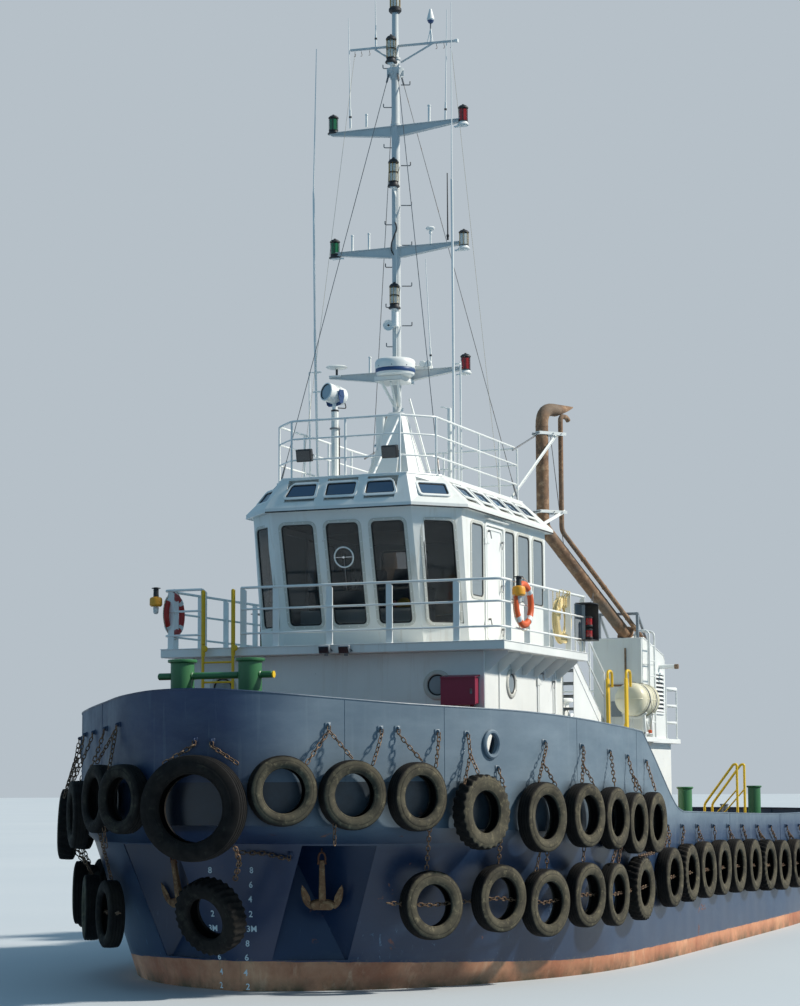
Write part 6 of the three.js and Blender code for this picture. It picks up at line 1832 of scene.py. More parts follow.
def coil_route():
    """Spiral out, a step along, spiral in, and so on, four layers deep, as one line."""
    route, turn = [], 0.0
    add = lambda t, r, y: route.append(COIL + V3((r * math.cos(2 * math.pi * t), y, r * math.sin(2 * math.pi * t))))
    for layer in range(4):
        y = (1.5 - layer) * COIL_PITCH
        for k_ in range(COIL_TURNS * COIL_STEPS + 1):
            t = k_ / COIL_STEPS
            add(turn + t, COIL_IN + COIL_PITCH * (t if layer % 2 == 0 else COIL_TURNS - t), y)
        turn += COIL_TURNS
        if layer < 3:
            edge = COIL_IN + COIL_PITCH * (COIL_TURNS if layer % 2 == 0 else 0)
            for k_ in range(1, COIL_STEPS // 4):
                add(turn + k_ / COIL_STEPS, edge, y - COIL_PITCH * k_ / (COIL_STEPS // 4))
            turn += 0.25
    return np.array(route)


route = coil_route()
s = Piece()
s.tube(route, LINE_D / 2, 10, s.k("line"))
coil = s.done("heaving_line_coil", hides=("heaving_line",), sharp=60)
s = Piece()
lk = s.k("line")
for x in (3.985, 4.012, 4.100, 4.127, 4.330):
    hang = math.sqrt(max(.398 ** 2 - (x - 4.06) ** 2, 0))
    low = 5.49 + math.sqrt(max(.232 ** 2 - (x - 4.06) ** 2, .0))
    s.tube(fillet([(x, 2.688, low - .012), (x, 2.688, 5.955), (x, 2.868, 5.955), (x, 2.868, 5.900), (x, 2.812, 5.49 + hang + .01), (x, 2.812, low - .012)], .02, closed=True), .0075, 8, lk, closed=True)
s.tube(fillet([(4.33, 2.812, 5.70), (4.44, 2.820, 5.80), (4.52, 2.868, 5.93)], .03), .0085, 8, lk)
s.done("heaving_line_lashing", sharp=60)


# ------------------------------------------------------------------ mast, lanterns, aerials, radar and searchlight
MX = 4.35


def mp(px, py, x=MX):
    return at(px, py, x=x)


def lantern(s, c, r, h, word, tiers=1, base="white_clean", cage=8):
    """Ship's lantern: base cone, ribbed glass drums behind guard bars, vented cap with a ring."""
    c = V3(c)
    dk = s.k("dark")
    s.lathe([(0, 0), (r * 1.22, 0), (r * 1.24, h * .03), (r * .98, h * .10), (r * .92, h * .16), (0, h * .16)], c, Z, 20, s.k(base) if base != "dark" else dk)
    lo, hi = h * .16, h * .80
    each = (hi - lo) / tiers
    for t in range(tiers):
        z0 = lo + t * each
        s.lathe([(r * 1.0, z0), (r * 1.02, z0 + .012), (r * .86, z0 + .016), (r * .86, z0)], c, Z, 20, dk, closed=True)
        rows = [(0, z0 + .010)]
        for k_ in range(6):
            a, b = z0 + .012 + (each - .024) * k_ / 6, z0 + .012 + (each - .024) * (k_ + 1) / 6
            rows += [(r * .80, a), (r * .86, (a + b) / 2)]
        rows += [(r * .80, z0 + each - .012), (0, z0 + each - .010)]
        s.lathe(rows, c, Z, 20, s.k(word))
        for k_ in range(cage):
            b = 2 * math.pi * k_ / cage + .2
            d = np.array([math.cos(b), math.sin(b), 0])
            s.tube([c + d * r * .96 + Z * z0, c + d * r * .96 + Z * (z0 + each)], .005, 5, dk if word != "lamp" else s.k("brass"))
    s.lathe([(0, hi), (r * 1.04, hi), (r * 1.10, hi + h * .02), (r * 1.04, hi + h * .06), (r * .70, hi + h * .13), (r * .30, hi + h * .16), (r * .22, hi + h * .20), (0, hi + h * .20)], c, Z, 20, dk)


s = Piece()
wm = s.k("mast")
dk, wc = s.k("dark"), s.k("white_clean")
# tube and its sockets
s.lathe([(0, 8.6), (.074, 8.6), (.072, 12.0), (.069, 15.10), (.058, 15.18), (.055, 15.98), (0, 15.98)], (MX, 0, 0), Z, 24, wm)
for z in (9.72, 11.86, 13.96, 15.12):
    s.lathe([(.066, -.02), (.088, -.02), (.088, .02), (.066, .02)], (MX, 0, z), Z, 20, wm, closed=True)
# stay collar with its eyes
s.lathe([(.06, -.16), (.082, -.16), (.10, -.10), (.145, .00), (.150, .02), (.10, .03), (.075, .10), (.06, .10)], (MX, 0, 14.92), Z, 20, wm, closed=True)
for a_ in np.linspace(0, 2 * math.pi, 8, endpoint=False):
    d = np.array([math.cos(a_), math.sin(a_), 0])
    s.bar(V3((MX, 0, 14.86)) + d * .07, V3((MX, 0, 14.86)) + d * .155, .010, .10, wm)
# masthead
s.lathe([(0, 0), (.085, 0), (.11, .03), (.11, .07), (.085, .10), (0, .10)], (MX, 0, 15.93), Z, 24, dk)
s.lathe([(0, 0), (.078, 0), (.083, .02), (.083, .33), (.078, .35), (0, .35)], (MX, 0, 16.03), Z, 24, s.k("lamp"))
for k_ in range(9):
    b = 2 * math.pi * k_ / 9
    d = np.array([math.cos(b), math.sin(b), 0]) * .088
    s.tube([V3((MX, 0, 16.03)) + d, V3((MX, 0, 16.37)) + d], .006, 5, s.k("brass"))
s.lathe([(0, 0), (.094, 0), (.094, .03), (.05, .06), (0, .065)], (MX, 0, 16.37), Z, 24, dk)
# crosstrees: web, top and bottom flanges
for z, y, d in ((9.680, 1.220, .150), (11.800, 1.150, .130), (13.900, 1.180, .130)):
    web = [(-y, .04), (y, .04), (y, .0), (.12, -d), (-.12, -d), (-y, 0.0)]
    s.prism(web, (MX - .036, 0, z), (0, 1, 0), (0, 0, 1), (.072, 0, 0), wm, b=.004)
    s.obox((MX, 0, z + .040), (.125, 2 * y, .010), m=wm, b=.003)
    for sg in (1, -1):
        s.bar((MX, sg * .12, z - d + .004), (MX, sg * y, z + .002), .105, .010, wm, up=(0, 0, 1))
        s.obox((MX, sg * .088, z - .03), (.09, .010, .14), m=wm, b=.002)
        for q in (.3, .6, .85):
            s.lathe([(0, .006), (.012, .004), (.014, 0), (0, 0)], (MX + .036, sg * y * q, z + .01 - (1 - q) * d * .35), EX, 8, wm)
# yard near the top with its struts and hooks
YA, YB = mp(350.4, 50.4), mp(456.9, 40.6)
s.tube([YA, YB], .023, 10, wm, ends=.3)
s.lathe([(0, 0), (.032, 0), (.036, .02), (.032, .05), (0, .05)], YB - unit(YB - YA) * .03, unit(YB - YA), 14, wc)
for p, q in (((375, 49.5), (387, 57)), ((432.5, 43.5), (401, 62.5))):
    s.tube([mp(*p), mp(*q)], .017, 8, wm)
for px, py in ((355, 52), (361.5, 51.5), (369.5, 50.5), (436.5, 44), (444, 43.3), (451, 42.7)):
    p = mp(px, py)
    s.tube([p, p - Z * .03, p - Z * .055 + EY * .012, p - Z * .085 + EY * .004, p - Z * .080 - EY * .016], .0045, 6, s.k("chain"))
# climbing hooks, by turns on either side
for x0, x1, py, sg in ((383, 393, 68.5, -1), (401, 410, 85, 1), (383.5, 393, 107.5, -1), (384, 393.5, 147.8, -1), (401, 410.5, 165.7, 1), (401, 411.5, 205.5, 1), (385, 393.5, 224.8, -1),
                       (402, 411.8, 245.3, 1), (385.5, 395, 267.3, -1), (402, 411.8, 286.2, 1), (386, 395, 307.5, -1), (402, 412, 325.8, 1), (386.5, 396, 346.8, -1)):
    tip, root = (x0, x1) if sg < 0 else (x1, x0)
    P = [mp(root, py), mp(tip, py), mp(tip, py) + Z * .065]
    s.tube(fillet(P, .02), .0095, 7, s.k("steel"), ends=.3)
# pedestal: tapered box with its braces
lo, hi = 7.692, 9.0
ped = [[(MX + a * .48, b * .42, lo) for a, b in ((1, 1), (-1, 1), (-1, -1), (1, -1))], [(MX + a * .105, b * .105, hi) for a, b in ((1, 1), (-1, 1), (-1, -1), (1, -1))]]
v = np.array(ped[0] + ped[1])
s.add(v, [[0, 1, 5, 4], [1, 2, 6, 5], [2, 3, 7, 6], [3, 0, 4, 7], [0, 3, 2, 1], [4, 5, 6, 7]], wc)
for k_ in range(4):
    s.tube([v[k_], v[k_ + 4]], .016, 8, wc)
s.box(MX - .11, MX + .11, -.11, .11, 8.97, 9.02, wc, b=.01)
for a_ in (1, -1):
    s.bar((MX + .44 * a_, .39, 7.70), (MX + .44 * a_, -.39, 7.70), .05, .02, wc)
s.box(MX + .10, MX + .22, -.30, -.16, 7.70, 8.98, wc, b=.012)
s.prism(rounded(.34, .62, .05, 4), (MX + .455, .02, 8.10), (0, 1, 0), unit((-.375, 0, 1.308)), unit((1.308, 0, .375)) * .02, wc, b=.004)
for p, q, r in (((409.5, 399), (434.5, 463), .020),):
    a, b = at(*p, y=.15), at(*q, y=.60)
    s.tube([a, V3((b[0], b[1], 7.70))], r, 8, wc)
a, b = mp(402.7, 408.8, 4.6), at(373.6, 474, z=7.70)
s.tube([a, b], .019, 8, wc)
# radar platform and its strut
s.box(4.36, 4.955, -.165, .315, 9.482, 9.490, wc, b=.002)
for a_, b_ in (((4.95, -.16), (4.95, .31)), ((4.95, .31), (4.36, .31)), ((4.95, -.16), (4.36, -.16))):
    s.bar((*a_, 9.515), (*b_, 9.515), .010, .080, wc)
s.box(4.36, 4.95, -.16, .31, 9.530, 9.557, wc, b=.004)
for y in (-.08, .22):
    s.tube([(MX + .05, y * .3, 9.12), (4.86, y, 9.49)], .024, 8, wc)
s.bar((MX + .02, 0, 9.05), (4.80, .07, 9.48), .03, .05, wc)
s.done("mast_finished", hides=("mast",))

s = Piece()
dk, wc = s.k("dark"), s.k("white_clean")
# lanterns on the mast and at the tips
for px, py, x, tiers, h in ((391.2, 63.0, MX + .17, 2, .50), (393.6, 187.0, MX + .17, 2, .51), (394.6, 308.8, MX + .17, 2, .455)):
    c = mp(px, py, x)
    lantern(s, c, .084, h, "lamp", tiers, base="dark")
    s.box(MX + .05, x + .06, c[1] - .05, c[1] + .05, c[2] - .02, c[2], wc, b=.006)
    s.prism([(0, 0), (.16, 0), (0, -.14)], (MX + .06, c[1] - .005, c[2] - .015), EX, Z, (0, .010, 0), wc)
for px, py, word, h, base in ((333.5, 134.4, "greenlamp", .345, "dark"), (463.2, 125.2, "redlamp", .36, "white_clean"), (335.0, 258.6, "greenlamp", .345, "dark"), (464.0, 249.0, "lamp", .34, "white_clean"),
                              (465.7, 373.6, "redlamp", .345, "white_clean")):
    c = mp(px, py)
    lantern(s, c, .082, h, word, 1, base=base, cage=6)
    s.box(MX - .055, MX + .055, c[1] - (.10 if c[1] > 0 else .06), c[1] + (.06 if c[1] > 0 else .10), c[2] - .018, c[2] + .002, wc, b=.004)
    s.bar((MX, c[1], c[2] - .012), (MX, c[1] - math.copysign(.16, c[1]), c[2] - .012), .05, .024, wc)
s.done("mast_lanterns")

s = Piece()
dk, wc = s.k("dark"), s.k("white_clean")


def whip(s, base, tip, r0=.012, r1=.005, socket=.28, word="white_clean"):
    base, tip = V3(base), V3(tip)
    d = unit(tip - base)
    s.tube([base, base + d * socket], r0 * 1.5, 8, s.k(word), ends=.3)
    s.lathe([(r0 * 1.4, 0), (r0 * 1.9, 0), (r0 * 1.9, .03), (r0 * 1.4, .03)], base + d * socket * .55, d, 10, s.k("dark"), closed=True)
    s.tube([base + d * socket, (base + tip) / 2, tip], np.array([r0, (r0 + r1) / 2, r1]), 6, s.k(word))


TOPZ = 16.43
whip(s, mp(350.6, 128.8), mp(348.6, 18.0), .013, .006, .34)
whip(s, mp(376, 46.5), mp(375.4, -2), .012, .007, .22)
whip(s, mp(445.4, 120.5), mp(446.9, 9.5), .012, .006, .32)
whip(s, mp(447.8, 240), mp(447.2, 173), .013, .009, .10, "dark")
whip(s, mp(431.3, 368), mp(425.6, 259), .011, .006, .36)
# tall aerials that stand at the roof rails
for p0, p1, py, word in (((318.2, 474), (314.8, 300), "s", "white_clean"),):
    a = at(318.2, 470, y=-1.30)
    a[2] = 7.69
    b = at(316.4, 49, y=-1.30)
    mid = at(313.6, 192, y=-1.30)
    low = at(314.8, 331, y=-1.30)
    s.tube([a, low], .022, 8, wc)
    s.tube([low, mid], .018, 8, wc)
    s.tube([mid, b], np.array([.013, .006]), 6, wc)
    for q in (372.5, 392):
        e = at(317.0, q, y=-1.30)
        s.obox(e, (.05, .14, .025), m=wc, b=.004)
    r0, r1 = at(310.2, 470, y=-1.30), at(309.4, 372.5, y=-1.30)
    r0[2] = 7.69
    s.tube([r0, r1], .014, 7, wc)
    s.tube([r1, at(317, 372.5, y=-1.30)], .010, 6, wc)
a = at(454.0, 472, y=1.30)
a[2] = 7.69
b = at(451.2, 2, y=1.30)
b[2] = min(b[2], TOPZ)
thick = at(451.7, 179, y=1.30)
s.tube([a, at(453.2, 330, y=1.30), thick], .021, 8, wc)
s.tube([thick, b], np.array([.012, .006]), 6, wc)
s.obox(at(456.5, 364, y=1.30), (.05, .13, .025), m=wc, b=.004)
c0 = at(461.4, 472, y=1.30)
c0[2] = 7.69
s.tube([c0, at(460.3, 361.5, y=1.30)], .016, 8, wc, ends=.3)
c0 = at(449.8, 472, y=1.20)
c0[2] = 7.69
c1 = at(449.4, 408, y=1.20)
s.tube([c0, c1], .036, 12, wc, ends=.2)
s.tube(fillet([c1 - Z * .02, c1 + EY * -.10 + Z * .02, c1 + EY * -.15 + Z * .02], .03), .012, 7, wc, ends=.3)
# cone aerial on its bracket, mushroom, saucer, small posts, speaker
c = mp(430.6, 20.5)
s.lathe([(0, 0), (.055, 0), (.068, .02), (.060, .05), (.028, .17), (.018, .20), (0, .205)], c, Z, 20, wc)
s.lathe([(0, -.045), (.035, -.045), (.058, -.005), (.055, .005), (0, .005)], c, Z, 18, s.k("blue"))
s.tube([c - Z * .04, c - Z * .14], .014, 8, s.k("steel"))
for dx in (-.055, .0, .04):
    s.tube([c - Z * .13, mp(430.6 + dx * 60, 43.6)], .008, 6, wc)
c = mp(430.6, 246.5)
s.tube([c, c + Z * .28], .014, 8, wc)
s.lathe([(0, 0), (.028, 0), (.026, .04), (0, .04)], c + Z * .22, Z, 12, wc)
s.lathe([(0, -.008), (.02, -.02), (.07, .0), (.082, .022), (.06, .045), (0, .055)], c + Z * .29, Z, 20, wc)
c = mp(336.8, 376.0)
s.tube([c - Z * .0, c + Z * .13], .020, 10, dk)
s.lathe([(0, 0), (.05, .0), (.16, .018), (.185, .036), (.16, .055), (.06, .072), (0, .076)], c + Z * .11, Z, 32, wc)
s.box(MX - .07, MX + .07, c[1] - .10, c[1] + .10, c[2] - .03, c[2], wc, b=.004)
for px, y0, y1, r in ((366.6, 127.5, 113.8, .020), (429.2, 122.5, 104.5, .024), (352.4, 252, 235, .020), (369, 251, 233, .020), (370.0, 373.6, 356.5, .021)):
    p, q = mp(px, y0), mp(px, y1)
    s.rod(p, q, r, 12, wc, ends=.3)
    s.lathe([(0, 0), (r * 1.35, 0), (r * 1.35, .02), (0, .025)], q - Z * .03, Z, 12, wc)
c = mp(388.6, 325.5, MX + .16)
f = unit((.93, .28, 0))
s.lathe([(0, .02), (.012, .02), (.03, .004), (.070, .012), (.090, .030), (.094, .022), (.072, -.01), (.03, -.06), (.028, -.12), (0, -.12)], c, f, 28, wc)
s.lathe([(0, .026), (.018, .022), (.02, .0), (0, 0)], c, f, 14, dk)
s.box(MX + .05, MX + .17, -.03, .06, mp(398, 328)[2], mp(398, 309)[2], wc, b=.01)
a, b = mp(411.8, 371.2, MX - .02), mp(431.8, 371.2, MX - .02)
zb = a[2] + .0
s.box(MX - .08, MX + .04, a[1], b[1], zb, zb + .085, wc, b=.015)
for q in (.12, .62, .92):
    s.lathe([(0, 0), (.05, 0), (.058, .012), (.050, .024), (.026, .018), (0, .018)], V3((MX + .045, a[1] + (b[1] - a[1]) * q, zb + .095)), EX, 18, dk if q < .5 else wc)
# cable loop down the mast, and a thin line along it
loop = [mp(395, 222, MX + .08), mp(396.6, 228, MX + .09), mp(394, 236, MX + .10), mp(391.4, 244, MX + .10), mp(391.6, 251, MX + .08), mp(394, 255, MX + .06)]
s.tube(spline(loop, 4), .012, 7, dk)
s.tube([(MX + .08, .02, 13.2), (MX + .078, .03, 11.0), (MX + .08, .02, 9.8)], .008, 6, wc)
s.done("mast_aerials")

# stays from the collar, and thin ones from the yard
s = Piece()
st = s.k("steel")
COLLAR = V3((MX, 0, 14.83))
for foot in ((6.02, -1.38), (6.02, 1.38), (2.20, -1.38), (2.20, 1.38)):
    f = V3((*foot, 7.70))
    d = unit(f - COLLAR)
    top = COLLAR + np.array([d[0], d[1], 0]) / max(np.hypot(d[0], d[1]), 1e-6) * .13
    s.tube([top, top + (f - top) * .5, f + (top - f) * .055], .0065, 5, st)
    q, p = f + (top - f) * .055, f
    e = unit(q - p)
    s.tube([p, p + e * .08], .008, 6, st)
    s.tube([p + e * .08, p + e * .30], .016, 8, st)
    s.tube([p + e * .30, q], .008, 6, st)
    s.obox(f + Z * .0, (.06, .06, .02), m=s.k("white_clean"), b=.004)
    s.tube([top, top + (f - top) * .02], .016, 6, st)
for a_, b_ in ((mp(451, 44), V3((3.2, 1.40, 7.70))), (mp(355, 53), V3((5.2, -1.40, 7.70)))):
    s.tube([a_, (a_ + b_) / 2, b_], .003, 4, s.k("rope"))
s.done("mast_stays")

# ---- radar
s = Piece()
c = V3((4.80, .15, 9.560))
s.lathe([(0, 0), (.285, 0), (.312, .020), (.322, .055), (0, .055)], c, Z, 48, s.k("white_clean"))
s.lathe([(0, .055), (.326, .055), (.330, .062), (.330, .112), (.326, .118), (0, .118)], c, Z, 48, s.k("blue"))
s.lathe([(0, .118), (.324, .118), (.332, .126), (.336, .18), (.333, .235), (.318, .266), (.285, .285), (.15, .296), (0, .298)], c, Z, 48, s.k("white_clean"))
for k_ in range(8):
    b = k_ * math.pi / 4 + .2
    s.lathe([(0, .01), (.008, .008), (.01, 0), (0, 0)], c + V3((math.cos(b) * .331, math.sin(b) * .331, .15)), (math.cos(b), math.sin(b), 0), 8, s.k("steel"))
s.done("radar_dome_finished", hides=("radar_dome",))

# ---- searchlight on its own body: drum, lens, rear cap, yoke
s = Piece()
LC = V3((6.4, -.25, 9.04))
B = unit((.861, -.477, .174))
wl, dk, bl = s.k("white_clean"), s.k("dark"), s.k("blue")
s.lathe([(.128, .188), (.138, .190), (.150, .182), (.152, .165), (.148, .155), (.146, -.03), (.149, -.04), (.149, -.06), (.144, -.07), (.138, -.145), (.110, -.180), (.085, -.200), (.0, -.206), (0, -.195), (.12, -.15), (.13, .15)], LC, B, 40, wl)
s.lathe([(.110, .150), (.138, .150), (.140, .186), (.128, .188)], LC, B, 40, dk, closed=True)
g = Piece()
g.lathe([(0, .178), (.07, .176), (.129, .168), (.129, .160), (0, .164)], LC, B, 40, g.k("lens"))
g.done("searchlight_lens", body="searchlight")
ax = axes(B)
side = unit(np.cross(Z, B))
for sg in (1, -1):
    p = LC + side * sg * .168
    s.lathe([(0, .012), (.045, .012), (.055, .0), (.055, -.020), (0, -.020)], p, side * sg, 18, bl)
    s.prism([(-.045, .06), (.045, .06), (.060, -.04), (.030, -.16), (-.030, -.16), (-.060, -.04)], p - side * sg * .006, unit(B * (1, 1, 0)), Z, side * sg * .012, bl, b=.003)
    s.bar(p - Z * .15, V3((6.4, -.25, 8.875)) + side * sg * .02, .055, .014, bl, up=B)
s.rod((6.4, -.25, 8.768), (6.4, -.25, 8.895), .042, 16, wl)
s.lathe([(0, 0), (.062, 0), (.062, .018), (.045, .026), (0, .026)], (6.4, -.25, 8.770), Z, 20, dk)
for k_ in range(5):
    s.lathe([(.1455, 0), (.152, 0), (.152, .006), (.1455, .006)], LC + B * (-.02 + k_ * .022), B, 40, wl, closed=True)
s.tube(fillet([LC - B * .19 - Z * .05, LC - B * .24 - Z * .16, V3((6.4, -.25, 8.84)) - B * .05], .05), .009, 7, dk)
s.done("searchlight_finished", body="searchlight", hides=("searchlight",))
s = Piece()
s.lathe([(0, -.02), (.085, -.02), (.085, .0), (0, .0)], (6.4, -.25, 8.50), Z, 20, s.k("steel"))
s.tube(fillet([(6.34, -.20, 7.70), (6.34, -.20, 8.45), (6.35, -.22, 8.62)], .04), .010, 6, s.k("dark"))
s.lathe([(0, 0), (.11, 0), (.11, .012), (.07, .03), (0, .03)], (6.4, -.25, 7.69), Z, 20, s.k("white_clean"))
s.done("searchlight_post_fittings")


# ------------------------------------------------------------------ exhausts, boat deck gear, ladders, bitts, anchors, underwater gear
def weld_band(s, p, axis, r, word, wide=.035, high=.006):
    s.lathe([(r - .004, -wide / 2), (r + high, -wide / 4), (r + high, wide / 4), (r - .004, wide / 2)], p, axis, 20, s.k(word), closed=True)


def open_pipe(s, P, r, n, word, inner, slope, bite=.30):
    """Pipe along P whose far end is cut on the slant: the upper lip stays long, and the bore shows."""
    P = np.asarray(P, float)
    T = np.array([unit(P[min(i + 1, len(P) - 1)] - P[max(i - 1, 0)]) for i in range(len(P))])
    u = axes(T[0])[0]
    ang = np.linspace(0, 2 * math.pi, n, endpoint=False)
    outer, core = [], []
    for i in range(len(P)):
        u = unit(u - T[i] * np.dot(u, T[i]))
        w = np.cross(T[i], u)
        d = np.outer(np.cos(ang), u) + np.outer(np.sin(ang), w)
        outer.append(P[i] + r * d)
        core.append(P[i] + (r - .012) * d)
    last = outer[-1]
    up = (last[:, 2] - P[-1][2]) / r
    shift = -(1 - up) / 2 * slope
    outer[-1] = last + np.outer(shift, T[-1])
    core[-1] = core[-1] + np.outer(shift, T[-1])
    k = len(P)
    i = np.arange(n)
    j = (i + 1) % n
    start = max(0, k - 5)
    quads = [np.stack([a * n + i, a * n + j, (a + 1) * n + j, (a + 1) * n + i], 1) for a in range(k - 1)]
    s.add(np.concatenate(outer), np.concatenate(quads), s.k(word))
    base = s.n - k * n
    s.f.append((np.array([[base + a for a in range(n)]]), s.k(word)))
    inner_rows = core[start:]
    m = len(inner_rows)
    quads = [np.stack([a * n + j, a * n + i, (a + 1) * n + i, (a + 1) * n + j], 1) for a in range(m - 1)]
    s.add(np.concatenate(inner_rows), np.concatenate(quads), s.k(inner))
    base2 = s.n - m * n
    s.f.append((np.array([[base2 + a for a in range(n)]]), s.k(inner)))
    rim = np.stack([base + (k - 1) * n + i, base + (k - 1) * n + j, base2 + (m - 1) * n + j, base2 + (m - 1) * n + i], 1)
    s.f.append((rim, s.k(word)))


def exhaust(side, sg):
    q = lambda x, y, z: V3((x, y * sg, z))
    s = Piece()
    s.k("pipe")
    line = fillet([q(-1.5, 2.30, 5.44), q(1.13, 1.48, 7.35), q(1.13, 1.48, 9.475), q(.31, 1.785, 9.485)], .30, 7)
    low = fillet([q(-1.5, 2.30, 5.44), q(1.13, 1.48, 7.35), q(1.13, 1.48, 8.2)], .14, 4)[:-1]
    line = np.concatenate([low, line[len(fillet([q(0, 0, 0), q(1, 0, 0), q(2, 0, 0)], .30, 7)) - 1:]])
    line = np.array([p for i, p in enumerate(line) if i == 0 or np.linalg.norm(p - line[i - 1]) > .02])
    open_pipe(s, line, .113, 24, "pipe", "dark", .50)
    d = unit(q(1.13, 1.48, 7.35) - q(-1.5, 2.30, 5.44))
    for t in (.55, 1.15, 1.85, 2.62):
        weld_band(s, q(-1.5, 2.30, 5.44) + d * t, d, .113, "pipe", .022, .005)
    for z in (7.62, 8.35, 9.14):
        weld_band(s, q(1.13, 1.48, z), Z, .113, "pipe", .018, .004)
    thin = fillet([q(-1.65, 2.52, 5.44), q(.83, 1.73, 7.3), q(.83, 1.73, 9.36), q(.66, 1.785, 9.36), q(.60, 1.805, 9.30)], .10, 5)
    s.tube(thin, .044, 12, s.k("pipe"))
    d2 = unit(q(.83, 1.73, 7.3) - q(-1.65, 2.52, 5.44))
    for t in (.7, 1.6, 2.4):
        weld_band(s, q(-1.65, 2.52, 5.44) + d2 * t, d2, .044, "pipe", .05, .006)
    # flanges where they leave the casing
    s.lathe([(.10, -.01), (.165, -.01), (.165, .012), (.10, .012)], q(-1.32, 2.244, 5.571), d, 24, s.k("pipe"), closed=True)
    s.lathe([(.11, 0), (.19, 0), (.185, .03), (.13, .10), (.11, .10)], q(-1.47, 2.29, 5.455), Z, 24, s.k("white_clean"), closed=True)
    # clamps: flat bars and straps round both pipes
    for z in (7.62, 9.02):
        for dz in (.0,):
            a, b = q(1.13, 1.48, z), q(.83, 1.73, z)
            e = unit(b - a)
            nn = unit(np.cross(e, Z))
            for off in (.121, -.121):
                s.bar(a + nn * off - e * .13, b + nn * off * .9 + e * .05, .055 if z > 8 else .05, .010, s.k("white_clean"), up=nn)
            s.lathe([(.114, -.028), (.122, -.028), (.122, .028), (.114, .028)], a, Z, 24, s.k("white_clean"), closed=True)
            s.lathe([(.045, -.024), (.053, -.024), (.053, .024), (.045, .024)], b, Z, 16, s.k("white_clean"), closed=True)
            for t in (-.125, .16, .33):
                p = a + e * t
                s.rod(p - nn * .14, p + nn * .14, .008, 6, s.k("steel"))
    # struts down to the roof
    for (p0, z0), (p1, z1), wdt in (((q(.92, 1.70, 9.03), 0), (q(2.30, 1.28, 7.72), 0), .062), ((q(.78, 1.78, 7.64), 0), (q(1.95, 1.60, 7.22), 0), .062)):
        s.bar(p0, p1, wdt, .010, s.k("white_clean"), up=(0, 0, 1))
        s.bar(p0 + Z * .02, p1 + Z * .02, .012, .045, s.k("white_clean"), up=(0, 0, 1))
    s.tube([q(1.20, 1.42, 9.0), q(2.45, 1.38, 8.56)], .014, 8, s.k("steel"))
    s.tube([q(1.10, 1.63, 8.96), q(.55, 1.68, 6.98)], .007, 6, s.k("steel"))
    for yy in (2.36, 2.44):
        s.tube([q(-.30, 1.95, 6.28), q(1.36, yy, 5.78)], .006, 5, s.k("steel"))
    s.done("exhaust_%s_finished" % side, hides=("exhaust_%s" % side,), sharp=40)


mirrored(exhaust)


